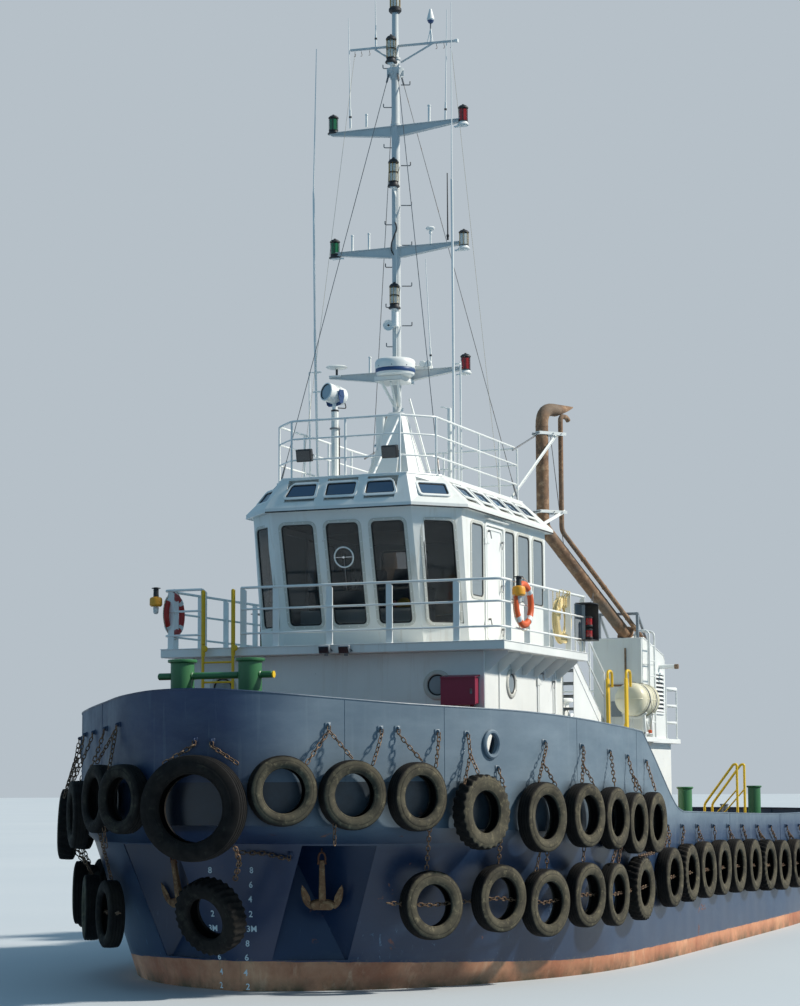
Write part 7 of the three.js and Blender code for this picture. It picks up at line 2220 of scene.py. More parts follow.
def casing_gear(side, sg):
    q = lambda x, y, z: V3((x, y * sg, z))
    s = Piece()
    wc, gr, dk = s.k("white_clean"), s.k("grey"), s.k("dark")
    # guard frame on the front of the top
    top = 5.93
    for y in (1.80, 2.52):
        s.bar(q(-1.16, y, 5.475), q(-1.16, y, top), .05, .05, gr, up=EX)
        s.bar(q(-1.19, y, top - .02), q(-1.86, y, 5.40), .045, .045, gr, up=EY)
    s.bar(q(-1.16, 1.775, top), q(-1.16, 2.545, top), .05, .06, gr, up=EX)
    # louvres on the outer side, slanted blades in a frame over a dark plate, and aft, dark bars on a plate: the dark
    # plate and bars are painted shade standing for the openings behind
    for x0, x1, z0, z1, y, n in ((-2.50, -1.98, 4.15, 4.85, 2.602, q(0, 1, 0)),):
        ring_plate(s, [(x0 - .04, z0 - .04), (x1 + .04, z0 - .04), (x1 + .04, z1 + .04), (x0 - .04, z1 + .04)], [(x0, z0), (x1, z0), (x1, z1), (x0, z1)], q(0, y, 0), EX, Z, n * .025, wc)
        s.box(x0, x1, *sorted((sg * (y - .0), sg * (y + .004))), z0, z1, dk, b=.001)
        for k_ in range(9):
            z = z0 + (k_ + .5) * (z1 - z0) / 9
            s.obox(q((x0 + x1) / 2, y + .012, z), (x1 - x0, .008, .062), ax=[EX, unit((0, sg * .8, .6)), unit((0, -sg * .6, .8))], m=wc, b=.002)
    for y0, y1 in ((1.80, 2.16), (2.22, 2.48)):
        s.box(-2.712, -2.698, *sorted((y0 * sg, y1 * sg)), 4.1, 4.8, wc, b=.004)
        for k_ in range(7):
            s.box(-2.722, -2.705, *sorted(((y0 + .03) * sg, (y1 - .03) * sg)), 4.17 + k_ * .085, 4.20 + k_ * .085, dk, b=.002)
    # coaming beads round the top edge
    rim = [q(-1.10, 1.68, 5.475), q(-1.10, 2.60, 5.475), q(-1.25, 2.60, 5.495), q(-2.59, 2.60, 5.235), q(-2.70, 2.60, 5.125), q(-2.70, 1.68, 5.125), q(-2.59, 1.68, 5.235), q(-1.25, 1.68, 5.495)]
    s.tube(rim, .013, 6, wc, closed=True)
    # upright ladder on the outer side with looped hand grips
    xa, xb = -1.55, -1.20
    y = 2.72
    for x in (xa, xb):
        s.tube(fillet([q(x, y, 3.665), q(x, y, 5.62), q(x, y - .26, 5.62), q(x, y - .26, 5.40)], .10), .021, 8, wc)
        for z in (3.95, 5.0):
            s.bar(q(x, 2.60, z), q(x, y, z), .04, .010, wc)
    for k_ in range(6):
        s.tube([q(xa, y, 3.95 + k_ * .28), q(xb, y, 3.95 + k_ * .28)], .012, 7, wc)
    # service doors on the inner face and a dog-legged overflow pipe
    s.prism(rounded(.62, 1.12, .06, 5), q(-1.90, 1.678, 4.45), EX, Z, q(0, -.016, 0), wc, b=.005)
    for zz in (4.08, 4.82):
        s.rod(q(-2.22, 1.655, zz - .05), q(-2.22, 1.655, zz + .05), .014, 8, s.k("steel"))
    s.tube(fillet([q(-1.64, 1.66, 4.42), q(-1.64, 1.62, 4.42), q(-1.64, 1.62, 4.54), q(-1.64, 1.66, 4.54)], .02), .008, 6, s.k("steel"))
    s.tube(fillet([q(-2.30, 2.59, 5.00), q(-2.30, 2.90, 5.00)], .02), .042, 12, wc)
    s.tube([q(-2.30, 2.90, 5.00), q(-2.30, 2.97, 5.00)], .046, 12, s.k("pipe"))
    s.prism([(0, 0), (.20, 0), (0, .55)], q(-1.06, 2.60, 3.665), (0, sg, 0), Z, (.012, 0, 0), wc)
    s.tube(fillet([q(-1.085, 1.95, 3.68), q(-1.085, 1.95, 4.62), q(-1.085, 2.30, 4.62), q(-1.085, 2.30, 5.30)], .07), .018, 8, s.k("pipe"))
    s.box(-1.098, -1.06, *sorted((2.02 * sg, 2.22 * sg)), 4.05, 4.33, gr, b=.01)
    # gooseneck vents behind it
    for x, yy in ((-2.95, 2.25), (-3.25, 2.25)):
        s.tube(fillet([q(x, yy, 3.665), q(x, yy, 4.20), q(x, yy - .24, 4.20), q(x, yy - .24, 4.02)], .12, 5), .050, 14, wc)
        s.lathe([(.05, 0), (.075, 0), (.075, .015), (.05, .015)], q(x, yy, 3.665), Z, 18, wc, closed=True)
        s.lathe([(.045, -.01), (.062, -.01), (.062, .03), (.045, .03)], q(x, yy - .24, 4.02), Z, 18, wc, closed=True)
    s.done("casing_fittings_" + side)


mirrored(casing_gear)


def raft(side, sg):
    s = Piece()
    c = V3((-.45, 2.7 * sg, 4.33))
    half = [(0, .598), (.10, .592), (.185, .572), (.240, .540), (.276, .495), (.290, .440)]
    prof = [(r, -h) for r, h in half] + [(.290, -.40), (.290, .40)] + [(r, h) for r, h in half[::-1]]
    s.lathe(prof, c, EX, 40, s.k("raft"))
    for x in (-.40, -.29, -.18, -.07, .30):
        s.lathe([(.286, -.026), (.2985, -.018), (.2985, .018), (.286, .026)], c + EX * x, EX, 40, s.k("raft"), closed=True)
    # joint flange between the two halves
    a = np.linspace(0, 2 * math.pi, 64, endpoint=False)
    grow = lambda k_, e: [(math.copysign(abs(math.cos(t)) ** e, math.cos(t)) * (.598 * k_), math.copysign(abs(math.sin(t)) ** e, math.sin(t)) * (.298 * k_)) for t in a]
    ring_plate(s, grow(1.0, .42), grow(.90, .42), c - Z * .009, EX, EY, Z * .018, s.k("raft"))
    # steel straps, cradle with chocks and a hydrostatic release
    for x in (-.235, .205):
        s.lathe([(.299, -.018), (.3035, -.016), (.3035, .016), (.299, .018)], c + EX * x, EX, 40, s.k("steel"), closed=True)
        s.box(c[0] + x - .03, c[0] + x + .03, c[1] - .21, c[1] + .21, 3.664, 3.70, s.k("white_clean"), b=.006)
        arc = [(math.sin(t) * .31, -math.cos(t) * .31) for t in np.linspace(-.75, .75, 15)]
        out = [(math.sin(t) * .345, -math.cos(t) * .345) for t in np.linspace(.75, -.75, 15)]
        s.prism(arc + out, c + EX * (x - .03), EY, Z, (.06, 0, 0), s.k("white_clean"), b=.003)
        for yy in (-.19, .19):
            s.bar(c + V3((x, yy, -.66)), c + V3((x, yy * .92, -.26)), .05, .05, s.k("white_clean"), up=EX)
        s.bar(c + V3((x, -.19, -.50)), c + V3((x, .19, -.62)), .03, .02, s.k("white_clean"), up=EX)
        s.obox(c + V3((x, .0, .303)), (.05, .07, .014), m=s.k("steel"), b=.004)
    for yy in (-.19, .19):
        s.bar(c + V3((-.26, yy, -.60)), c + V3((.23, yy, -.60)), .035, .035, s.k("white_clean"), up=Z)
    s.lathe([(0, 0), (.035, 0), (.035, .05), (.02, .06), (0, .06)], c + V3((.0, .225 * sg, -.60)), Z, 16, s.k("orange"))
    s.tube(spline([c + V3((.0, .225 * sg, -.53)), c + V3((.10, .30 * sg, -.30)), c + V3((.205, .305 * sg, -.02))], 6), .006, 6, s.k("rope"))
    s.done("liferaft_%s_finished" % side, hides=("liferaft_%s" % side,), sharp=50)


mirrored(raft)


def stair(side, sg):
    s = Piece()
    # treads, nosings, checker bars and bearers in blue grey while the stringers and plates are white: painted shade on
    # the treads
    wc = s.k("grey")
    x0, x1, y0, y1 = 1.29, 3.0997, 2.04, 2.64
    sl = (x1 - x0) / 1.327
    poly = [(x1, 4.777), (x1, 4.967), (x0, 3.85), (x0, 3.664), (x0 + .06, 3.664)]
    for y in (y0, y1 - .03):
        s.prism([(a, b) for a, b in poly], (0, (y + .009) * sg, 0), EX, Z, (0, .012 * sg, 0), s.k("white_clean"), b=.002)
        for (a, b) in (((x0, 3.85), (x1, 4.967)), ((x0 + .06, 3.672), (x1, 4.785))):
            s.bar((a[0], (y + .015) * sg, a[1]), (b[0], (y + .015) * sg, b[1]), .030, .008, s.k("white_clean"), up=(0, 0, 1))
    s.prism([(x1, 4.787), (x0 + .09, 3.672), (x1, 3.672)], (0, 2.621 * sg, 0), EX, Z, (0, .011 * sg, 0), s.k("white_clean"), b=.002)
    # two rails and their posts over the outboard stringer
    rise = lambda x: 3.85 + (x - x0) * (4.967 - 3.85) / (x1 - x0)
    for h, r in ((.38, .016), (.80, .019)):
        s.tube([(x0 + .10, 2.645 * sg, rise(x0 + .10) + h), (x1 - .04, 2.645 * sg, rise(x1 - .04) + h)], r, 8, s.k("white_clean"), ends=.4)
    for x in (x0 + .14, x0 + .95, x1 - .08):
        s.tube([(x, 2.645 * sg, rise(x) - .02), (x, 2.645 * sg, rise(x) + .80)], .017, 8, s.k("white_clean"))
    for i in range(1, 6):
        z = 3.72 + i * .205
        x = x0 + (z - 3.66) * sl
        s.box(x - .13, x + .11, *sorted(((y0 + .02) * sg, (y1 - .02) * sg)), z - .012, z + .004, wc, b=.003)
        s.box(x - .13, x - .118, *sorted(((y0 + .02) * sg, (y1 - .02) * sg)), z - .040, z + .004, wc, b=.002)
        s.box(x + .098, x + .11, *sorted(((y0 + .02) * sg, (y1 - .02) * sg)), z - .040, z + .004, wc, b=.002)
        for k_ in range(7):
            yy = (y0 + .06 + k_ * .08)
            for dx in (-.08, -.02, .04):
                s.obox((x + dx, yy * sg, z + .006), (.036, .010, .004), ax=[unit((1, .8 * (1 if k_ % 2 else -1), 0)), unit((-.8 * (1 if k_ % 2 else -1), 1, 0)), Z], m=wc, b=.001)
        for yy in (y0 + .03, y1 - .03):
            s.box(x - .09, x + .08, *sorted(((yy - .012) * sg, (yy + .012) * sg)), z - .05, z - .012, wc, b=.002)
    s.done("stairs_%s_finished" % side, hides=("stairs_%s" % side,))


mirrored(stair)

# ---- upright ladders
s = Piece()
ye = s.k("yellow")
for y in (-2.08, -1.56):
    s.tube([(7.4, y, 2.905), (7.4, y, 5.90)], .0245, 12, ye, ends=.4)
    s.lathe([(.02, 0), (.055, 0), (.055, .012), (.02, .012)], (7.4, y, 2.905), Z, 16, ye, closed=True)
    for z in (3.35, 4.30):
        s.bar((7.02, y, z), (7.39, y, z), .045, .010, ye)
        s.lathe([(.025, -.025), (.038, -.022), (.038, .022), (.025, .025)], (7.4, y, z), Z, 16, ye, closed=True)
    s.lathe([(.0245, -.02), (.0305, -.012), (.0305, .012), (.0245, .02)], (7.4, y, 5.06), Z, 16, ye, closed=True)
    s.box(7.385, 7.398, y - .034, y + .034, 4.86, 5.885, ye, b=.004)
    s.lathe([(0, 0), (.050, 0), (.050, .018), (.040, .024), (0, .024)], (7.397, y + .035, 4.975), EX, 18, ye)
z = 2.9 + .31
while z < 5.06:
    s.tube([(7.4, -2.08, z), (7.4, -1.56, z)], .0155, 8, ye)
    for y in (-2.055, -1.585):
        s.lathe([(.0155, -.006), (.022, 0), (.0155, .006)], (7.4, y, z), EY, 10, ye, closed=True)
    z += .31
s.done("bow_ladder_finished", hides=("bow_ladder",))

s = Piece()
ye = s.k("yellow")
for y in (2.70, 3.03):
    s.tube(fillet([(1.38, y, 1.305), (1.38, y, 4.775), (1.12, y + .0, 4.775), (1.12, y, 4.50)], .10, 5), .0245, 12, ye)
    s.box(1.31, 1.44, y - .020, y + .020, 1.312, 4.64, ye, b=.006)
    s.lathe([(.02, 0), (.055, 0), (.055, .012), (.02, .012)], (1.38, y, 1.305), Z, 16, ye, closed=True)
    s.tube([(1.38, y, 3.95), (1.30, min(y, 2.90), 3.63)], .012, 7, ye)
z = 1.3 + .30
while z < 3.9:
    s.tube([(1.40, 2.70, z), (1.40, 3.03, z)], .0195, 8, ye)
    z += .30
for z in (1.9, 3.1):
    s.bar((1.38, 2.70, z), (1.38, 2.505, z), .045, .010, ye, up=EX)
s.done("boat_deck_ladder_finished", hides=("boat_deck_ladder",))


# ---- bitts and bollards
def post(s, x, y, z0, z1, r, rim, word="green", n=40, flare=.04):
    g = s.k(word)
    s.lathe([(0, 0), (r + .014, 0), (r + .012, .012), (r, .026), (r, z1 - z0 - flare - .014), (r + .010, z1 - z0 - flare - .006), (rim - .004, z1 - z0 - flare), (rim, z1 - z0 - flare + .006),
             (rim, z1 - z0 - .008), (rim - .008, z1 - z0), (rim - .05, z1 - z0), (rim - .06, z1 - z0 - .004), (0, z1 - z0 - .002)], (x, y, z0), Z, n, g)


s = Piece()
s.box(11.14 - .28, 11.14 + .28, -.01 - .52 - .28, -.01 + .52 + .28, 2.904, 2.929, s.k("green"), b=.006)
for y in (-.53, .51):
    post(s, 11.14, y, 2.929, 4.60, .165, .206)
    for k_ in range(4):
        b = math.pi / 4 + k_ * math.pi / 2
        d = V3((math.cos(b), math.sin(b), 0))
        s.prism([(0, 0), (.10, 0), (0, .14)], V3((11.14, y, 2.929)) + d * .158, d, Z, np.cross(Z, d) * .012, s.k("green"))
    s.lathe([(.1655, -.006), (.1705, 0), (.1655, .006)], (11.14, y, 3.62), Z, 40, s.k("green"), closed=True)
s.tube([(11.14, -.90, 4.37), (11.14, .86, 4.37)], .0485, 20, s.k("green"), ends=.25)
s.lathe([(0, 0), (.046, 0), (.0485, .006), (.0485, .018), (0, .018)], (11.14, .858, 4.37), EY, 20, s.k("yellow"))
for y, g in ((-.53, 1), (.51, 1)):
    for e in (-1, 1):
        s.lathe([(.048, -.008), (.060, 0), (.048, .010)], (11.14, y + e * .168, 4.37), EY, 20, s.k("green"), closed=True)
s.done("bow_bitts_finished", hides=("bow_bitts",), sharp=40)


def bollards(side, sg):
    for word, x in (("forward", -.69), ("aft", -6.0)):
        s = Piece()
        s.box(x - .22, x + .22, *sorted((3.26 * sg, 3.70 * sg)), 1.304, 1.329, s.k("green"), b=.006)
        post(s, x, 3.48 * sg, 1.329, 2.775, .125, .150, flare=.030)
        d = unit((.5, sg * .6, 0))
        s.rod(V3((x, 3.48 * sg, 2.10)) + d * .12, V3((x, 3.48 * sg, 2.10)) + d * .18, .018, 12, s.k("yellow"), ends=.4)
        s.rod((x, 3.48 * sg - .22, 1.95), (x, 3.48 * sg + .22, 1.95), .026, 12, s.k("green"), ends=.3)
        for k_ in range(4):
            b = math.pi / 4 + k_ * math.pi / 2
            e = V3((math.cos(b), math.sin(b), 0))
            s.prism([(0, 0), (.075, 0), (0, .11)], V3((x, 3.48 * sg, 1.329)) + e * .119, e, Z, np.cross(Z, e) * .010, s.k("green"))
        s.done("bollard_%s_%s_finished" % (word, side), hides=("bollard_%s_%s" % (word, side),), sharp=40)


mirrored(bollards)

# ---- anchor windlass
s = Piece()
g, st, ru = s.k("green"), s.k("steel"), s.k("rust")
for x in (8.74, 9.26):
    s.box(x - .04, x + .04, -.70, .70, 2.905, 3.09, g, b=.008)
s.box(8.70, 9.30, -.70, .70, 3.086, 3.10, g, b=.004)
for y in (-.52, .52):
    s.prism([(-.20, 0), (.20, 0), (.085, .36), (-.085, .36)], (9.0, y - .03, 3.095), EX, Z, (0, .06, 0), g, b=.006)
    s.lathe([(0, -.05), (.10, -.05), (.10, .05), (0, .05)], (9.0, y, 3.38), EY, 24, g)
    for k_ in range(4):
        s.rod((9.0 + (.14 if k_ % 2 else -.14), y + (.02 if k_ < 2 else -.02), 3.10), (9.0 + (.14 if k_ % 2 else -.14), y + (.02 if k_ < 2 else -.02), 3.125), .012, 6, st)
s.rod((9.0, -.846, 3.38), (9.0, .846, 3.38), .055, 20, st)
for y in (-.30, .30):
    s.lathe([(.06, -.12), (.265, -.12), (.268, -.10), (.225, -.06), (.150, -.03), (.145, .03), (.225, .06), (.268, .10), (.265, .12), (.06, .12)], (9.0, y, 3.38), EY, 40, ru, closed=True)
    for k_ in range(6):
        b = k_ * math.pi / 3
        d = V3((math.cos(b), 0, math.sin(b)))
        s.obox(V3((9.0, y, 3.38)) + d * .185, (.055, .10, .05), ax=[np.cross(EY, d), EY, d], m=ru, b=.012)
    a = .118 if y > 0 else -.118
    s.lathe([(.20, -.01), (.262, -.01), (.262, .03), (.20, .03)], (9.0, y + math.copysign(.10, y), 3.38), EY, 40, s.k("dark"), closed=True)
    hx, hy = 8.80, y + math.copysign(.115, y)
    s.rod((hx, hy, 3.15), (hx, hy, 3.56), .014, 8, st)
    s.tube(circle((hx, hy, 3.57), .085, 24, EX, EY), .010, 6, s.k("red"), closed=True)
    for k_ in range(2):
        d = V3((math.cos(k_ * math.pi / 2 + .4), math.sin(k_ * math.pi / 2 + .4), 0))
        s.tube([V3((hx, hy, 3.57)) - d * .085, V3((hx, hy, 3.57)) + d * .085], .007, 6, s.k("red"))
for sg in (1, -1):
    s.lathe([(.05, .65), (.155, .65), (.185, .662), (.188, .680), (.150, .71), (.135, .75), (.150, .80), (.185, .83), (.185, .845), (.05, .848)], (9.0, 0, 3.38), (0, sg, 0), 36, st, closed=True)
s.box(8.86, 9.14, -.115, .115, 3.095, 3.47, g, b=.03)
s.box(8.90, 9.10, -.122, .122, 3.20, 3.40, g, b=.01)
s.lathe([(0, 0), (.10, 0), (.11, .01), (.11, .20), (.10, .22), (0, .22)], (8.88, 0, 3.25), -EX, 28, g)
for k_ in range(10):
    b = 2 * math.pi * k_ / 10
    s.box(8.66, 8.86, math.cos(b) * .112 - .004, math.cos(b) * .112 + .004, 3.25 + math.sin(b) * .112 - .004, 3.25 + math.sin(b) * .112 + .004, g, b=.001)
s.lathe([(0, 0), (.03, 0), (.03, .02), (0, .025)], (9.0, 0, 3.47), Z, 12, s.k("brass"))
for sg in (1, -1):
    run = spline([(9.24, .30 * sg, 3.50), (9.50, .52 * sg, 3.40), (9.78, .86 * sg, 3.12), (9.92, 1.00 * sg, 2.94)], 10)
    chain(s, run, s.k("chain"), 1.5)
    s.lathe([(.10, 0), (.155, .0), (.150, .03), (.125, .055), (.10, .05)], (9.94, 1.02 * sg, 2.905), Z, 28, s.k("green"), closed=True)
s.done("anchor_windlass_finished", hides=("anchor_windlass",), sharp=40)

# ---- stockless anchors
ca, sa = math.cos(math.radians(12)), math.sin(math.radians(12))
RY = np.array([[ca, 0, sa], [0, 1, 0], [-sa, 0, ca]])
cz, sz = math.cos(math.radians(20.4)), math.sin(math.radians(20.4))
RZ = np.array([[cz, -sz, 0], [sz, cz, 0], [0, 0, 1]])


def anchor(side, sg):
    s = Piece()
    an = s.k("anchor")
    # shank, tapered, with broken edges
    rows = [(-.24, .044, .050), (-.05, .040, .047), (.18, .034, .040), (.34, .032, .038), (.39, .024, .030)]
    v = []
    for z, a, b in rows:
        c_ = .012
        v += [(a, b - c_, z), (a - c_, b, z), (-a + c_, b, z), (-a, b - c_, z), (-a, -b + c_, z), (-a + c_, -b, z), (a - c_, -b, z), (a, -b + c_, z)]
    quads = [[r * 8 + i, r * 8 + (i + 1) % 8, (r + 1) * 8 + (i + 1) % 8, (r + 1) * 8 + i] for r in range(len(rows) - 1) for i in range(8)]
    s.add(v, quads + [list(range(8))[::-1], [32 + i for i in range(8)]], an)
    # crown with its two tripping palms
    s.prism([(-.165, -.20), (-.178, -.26), (-.120, -.305), (.120, -.305), (.178, -.26), (.165, -.20), (.09, -.172), (-.09, -.172)], (-.066, 0, 0), EY, Z, (.132, 0, 0), an, b=.018)
    s.lathe([(0, -.085), (.036, -.085), (.040, -.078), (.040, .078), (.036, .085), (0, .085)], (0, 0, -.235), EX, 20, an)
    for e in (1, -1):
        arm = [(.0, e * .150, -.262), (.012, e * .215, -.205), (.026, e * .255, -.110), (.038, e * .282, .010)]
        s.tube(spline(arm, 3), np.array([.046, .046, .045, .042, .040, .037, .033, .028, .022, .012]), 12, an)
        palm = [(-.050, -.13), (.048, -.13), (.056, -.05), (.032, .07), (.004, .138), (-.030, .06), (-.054, -.05)]
        s.prism(palm, (.030, e * .240, -.075), unit((0, e * .96, -.26)), unit((.06, e * .26, .96)), (.016, 0, -.002), an, b=.004)
    # shackle and its pin
    s.tube(fillet([(0, .046, .335), (0, .050, .43), (0, .030, .50), (0, -.030, .50), (0, -.050, .43), (0, -.046, .335)], .03, 4), .015, 10, s.k("rust"))
    s.rod((0, -.066, .345), (0, .066, .345), .014, 12, s.k("rust"))
    pts = [(0, 0, .495), (0, 0, .555)]
    s.tube(circle((0, 0, .525), .030, 16, EX, Z), .010, 8, s.k("rust"), closed=True)
    # the ring above is its last link, in a plane across the first; the whole anchor is then turned, set in its pocket
    # and mirrored for the starboard side
    for i, a_ in enumerate(s.v):
        b_ = a_ @ RY.T @ RZ.T + V3((10.085, 1.13, 1.43))
        b_[:, 1] *= sg
        s.v[i] = b_
    s.done("anchor_%s_finished" % side, hides=("anchor_%s" % side,), sharp=38)


mirrored(anchor)

# ---- towing gear aft
s = Piece()
g = s.k("green")
s.box(-7.2 - .289, -7.2 + .289, -.939, .939, 1.304, 1.329, g, b=.006)
for y in (-.65, .65):
    post(s, -7.2, y, 1.329, 2.45, .170, .2120)
    for k_ in range(4):
        b = math.pi / 4 + k_ * math.pi / 2
        e = V3((math.cos(b), math.sin(b), 0))
        s.prism([(0, 0), (.10, 0), (0, .15)], V3((-7.2, y, 1.329)) + e * .163, e, Z, np.cross(Z, e) * .014, g)
    for e in (-1, 1):
        s.lathe([(.083, -.008), (.097, 0), (.083, .010)], (-7.2, y + e * .172, 2.15), EY, 24, g, closed=True)
s.tube([(-7.2, -.996, 2.15), (-7.2, .996, 2.15)], .0835, 24, g, ends=.2)
s.done("towing_bitts_finished", hides=("towing_bitts",), sharp=40)

s = Piece()
g = s.k("green")
s.prism([(-.25, 1.305), (.25, 1.305), (.20, 1.98), (.14, 2.0), (-.14, 2.0), (-.20, 1.98)], (-4.3, -.10, 0), EX, Z, (0, .20, 0), g, b=.008)
for y in (-.298, .270):
    s.prism([(-.25, 1.305), (.25, 1.305), (.16, 1.98), (-.16, 1.98)], (-4.3, y, 0), EX, Z, (0, .028, 0), g, b=.005)
s.box(-4.55, -4.05, -.298, .298, 1.305, 1.34, g, b=.006)
s.box(-4.46, -4.14, -.298, .298, 1.965, 2.0, g, b=.008)
for y in (-.2, .2):
    s.box(-4.50, -4.10, y - .012, y + .012, 1.33, 1.97, g, b=.003)
s.rod((-4.3, 0, 1.99), (-4.3, 0, 2.285), .068, 24, s.k("steel"))
s.lathe([(.07, 0), (.105, 0), (.105, .025), (.07, .03)], (-4.3, 0, 2.002), Z, 24, g, closed=True)
s.lathe([(0, 0), (.098, 0), (.098, .012), (.06, .018), (.05, .032), (0, .034)], (-4.3, 0, 2.252), Z, 24, s.k("steel"))
for b in np.linspace(0, 2 * math.pi, 8, endpoint=False):
    s.rod((-4.3 + math.cos(b) * .20, math.sin(b) * .235, 1.338), (-4.3 + math.cos(b) * .20, math.sin(b) * .235, 1.366), .014, 6, s.k("steel"))
s.done("towing_post_finished", hides=("towing_post",))

s = Piece()
dk = s.k("dark")
P0 = V3((-4.3, 0, 2.13))
s.lathe([(.082, -.066), (.140, -.066), (.149, -.055), (.149, .055), (.140, .066), (.082, .066)], P0, Z, 36, dk, closed=True)
arm = [(-.13, .088), (-.22, .060), (-.50, .046), (-.60, .075), (-.60, -.075), (-.50, -.046), (-.22, -.060), (-.13, -.088)]
s.prism(arm, P0 - Z * .055, EX, EY, Z * .11, dk, b=.012)
outer = [(-.73 + .197 * math.cos(t), .197 * math.sin(t)) for t in np.linspace(math.radians(0), math.radians(302), 34)]
inner = [(-.73 + (.094 + .012 * math.sin(t / 2)) * math.cos(t), (.094 + .012 * math.sin(t / 2)) * math.sin(t)) for t in np.linspace(math.radians(300), math.radians(0), 34)]
turn = lambda L: [(-.73 + (x + .73) * math.cos(math.radians(205)) - y * math.sin(math.radians(205)), (x + .73) * math.sin(math.radians(205)) + y * math.cos(math.radians(205))) for x, y in L]
ring = [(-.73 + .196 * math.cos(t), .196 * math.sin(t)) for t in np.linspace(math.radians(172), math.radians(172 - 336), 44)]
hole = [(-.73 + .094 * math.cos(t), .094 * math.sin(t)) for t in np.linspace(math.radians(172 - 336), math.radians(172), 44)]
s.prism(ring + hole, P0 - Z * .055, EX, EY, Z * .11, dk, b=.008)
s.obox(P0 + V3((-.36, 0, .066)), (.20, .05, .020), m=s.k("steel"), b=.006)
s.rod(P0 + V3((-.60, .0, -.062)), P0 + V3((-.60, .0, .064)), .024, 16, s.k("steel"))
s.lathe([(.082, 0), (.115, 0), (.115, .008), (.082, .008)], P0 + Z * .066, Z, 30, s.k("steel"), closed=True)
s.done("towing_hook_finished", body="towing_hook", hides=("towing_hook",))

# ---- boarding steps by the port bulwark
s = Piece()
ye, gr = s.k("yellow"), s.k("grey")
for x in (-3.40, -2.775):
    s.prism([(3.245, 1.305), (3.94, 1.305), (3.94, 2.06), (3.70, 2.06), (3.70, 1.80), (3.47, 1.80), (3.47, 1.54), (3.245, 1.54)], (x, 0, 0), EY, Z, (.014, 0, 0), gr, b=.002)
for y0, y1, z in ((3.245, 3.48, 1.56), (3.47, 3.71, 1.82), (3.70, 3.94, 2.08)):
    s.box(-3.40, -2.76, y0, y1, z - .016, z - .002, gr, b=.003)
    s.box(-3.40, -2.76, y0, y0 + .012, z - .05, z - .002, ye, b=.002)
    for k_ in range(9):
        for t in range(3):
            g_ = 1 if (k_ + t) % 2 else -1
            s.obox((-3.35 + k_ * .067, y0 + .05 + t * .07, z), (.034, .009, .004), ax=[unit((1, g_, 0)), unit((-g_, 1, 0)), Z], m=gr, b=.001)
for x in (-3.37, -2.79):
    s.tube(fillet([(x, 3.29, 1.50), (x, 3.29, 2.44), (x, 3.86, 3.18), (x, 3.92, 3.18), (x, 3.92, 2.0)], .06, 5), .0235, 12, ye)
    s.tube([(x, 3.29, 2.02), (x, 3.92, 2.72)], .014, 8, ye)
    s.lathe([(.02, 0), (.045, 0), (.045, .01), (.02, .01)], (x, 3.29, 1.562), Z, 16, ye, closed=True)
s.done("boarding_steps_finished", hides=("boarding_steps",))


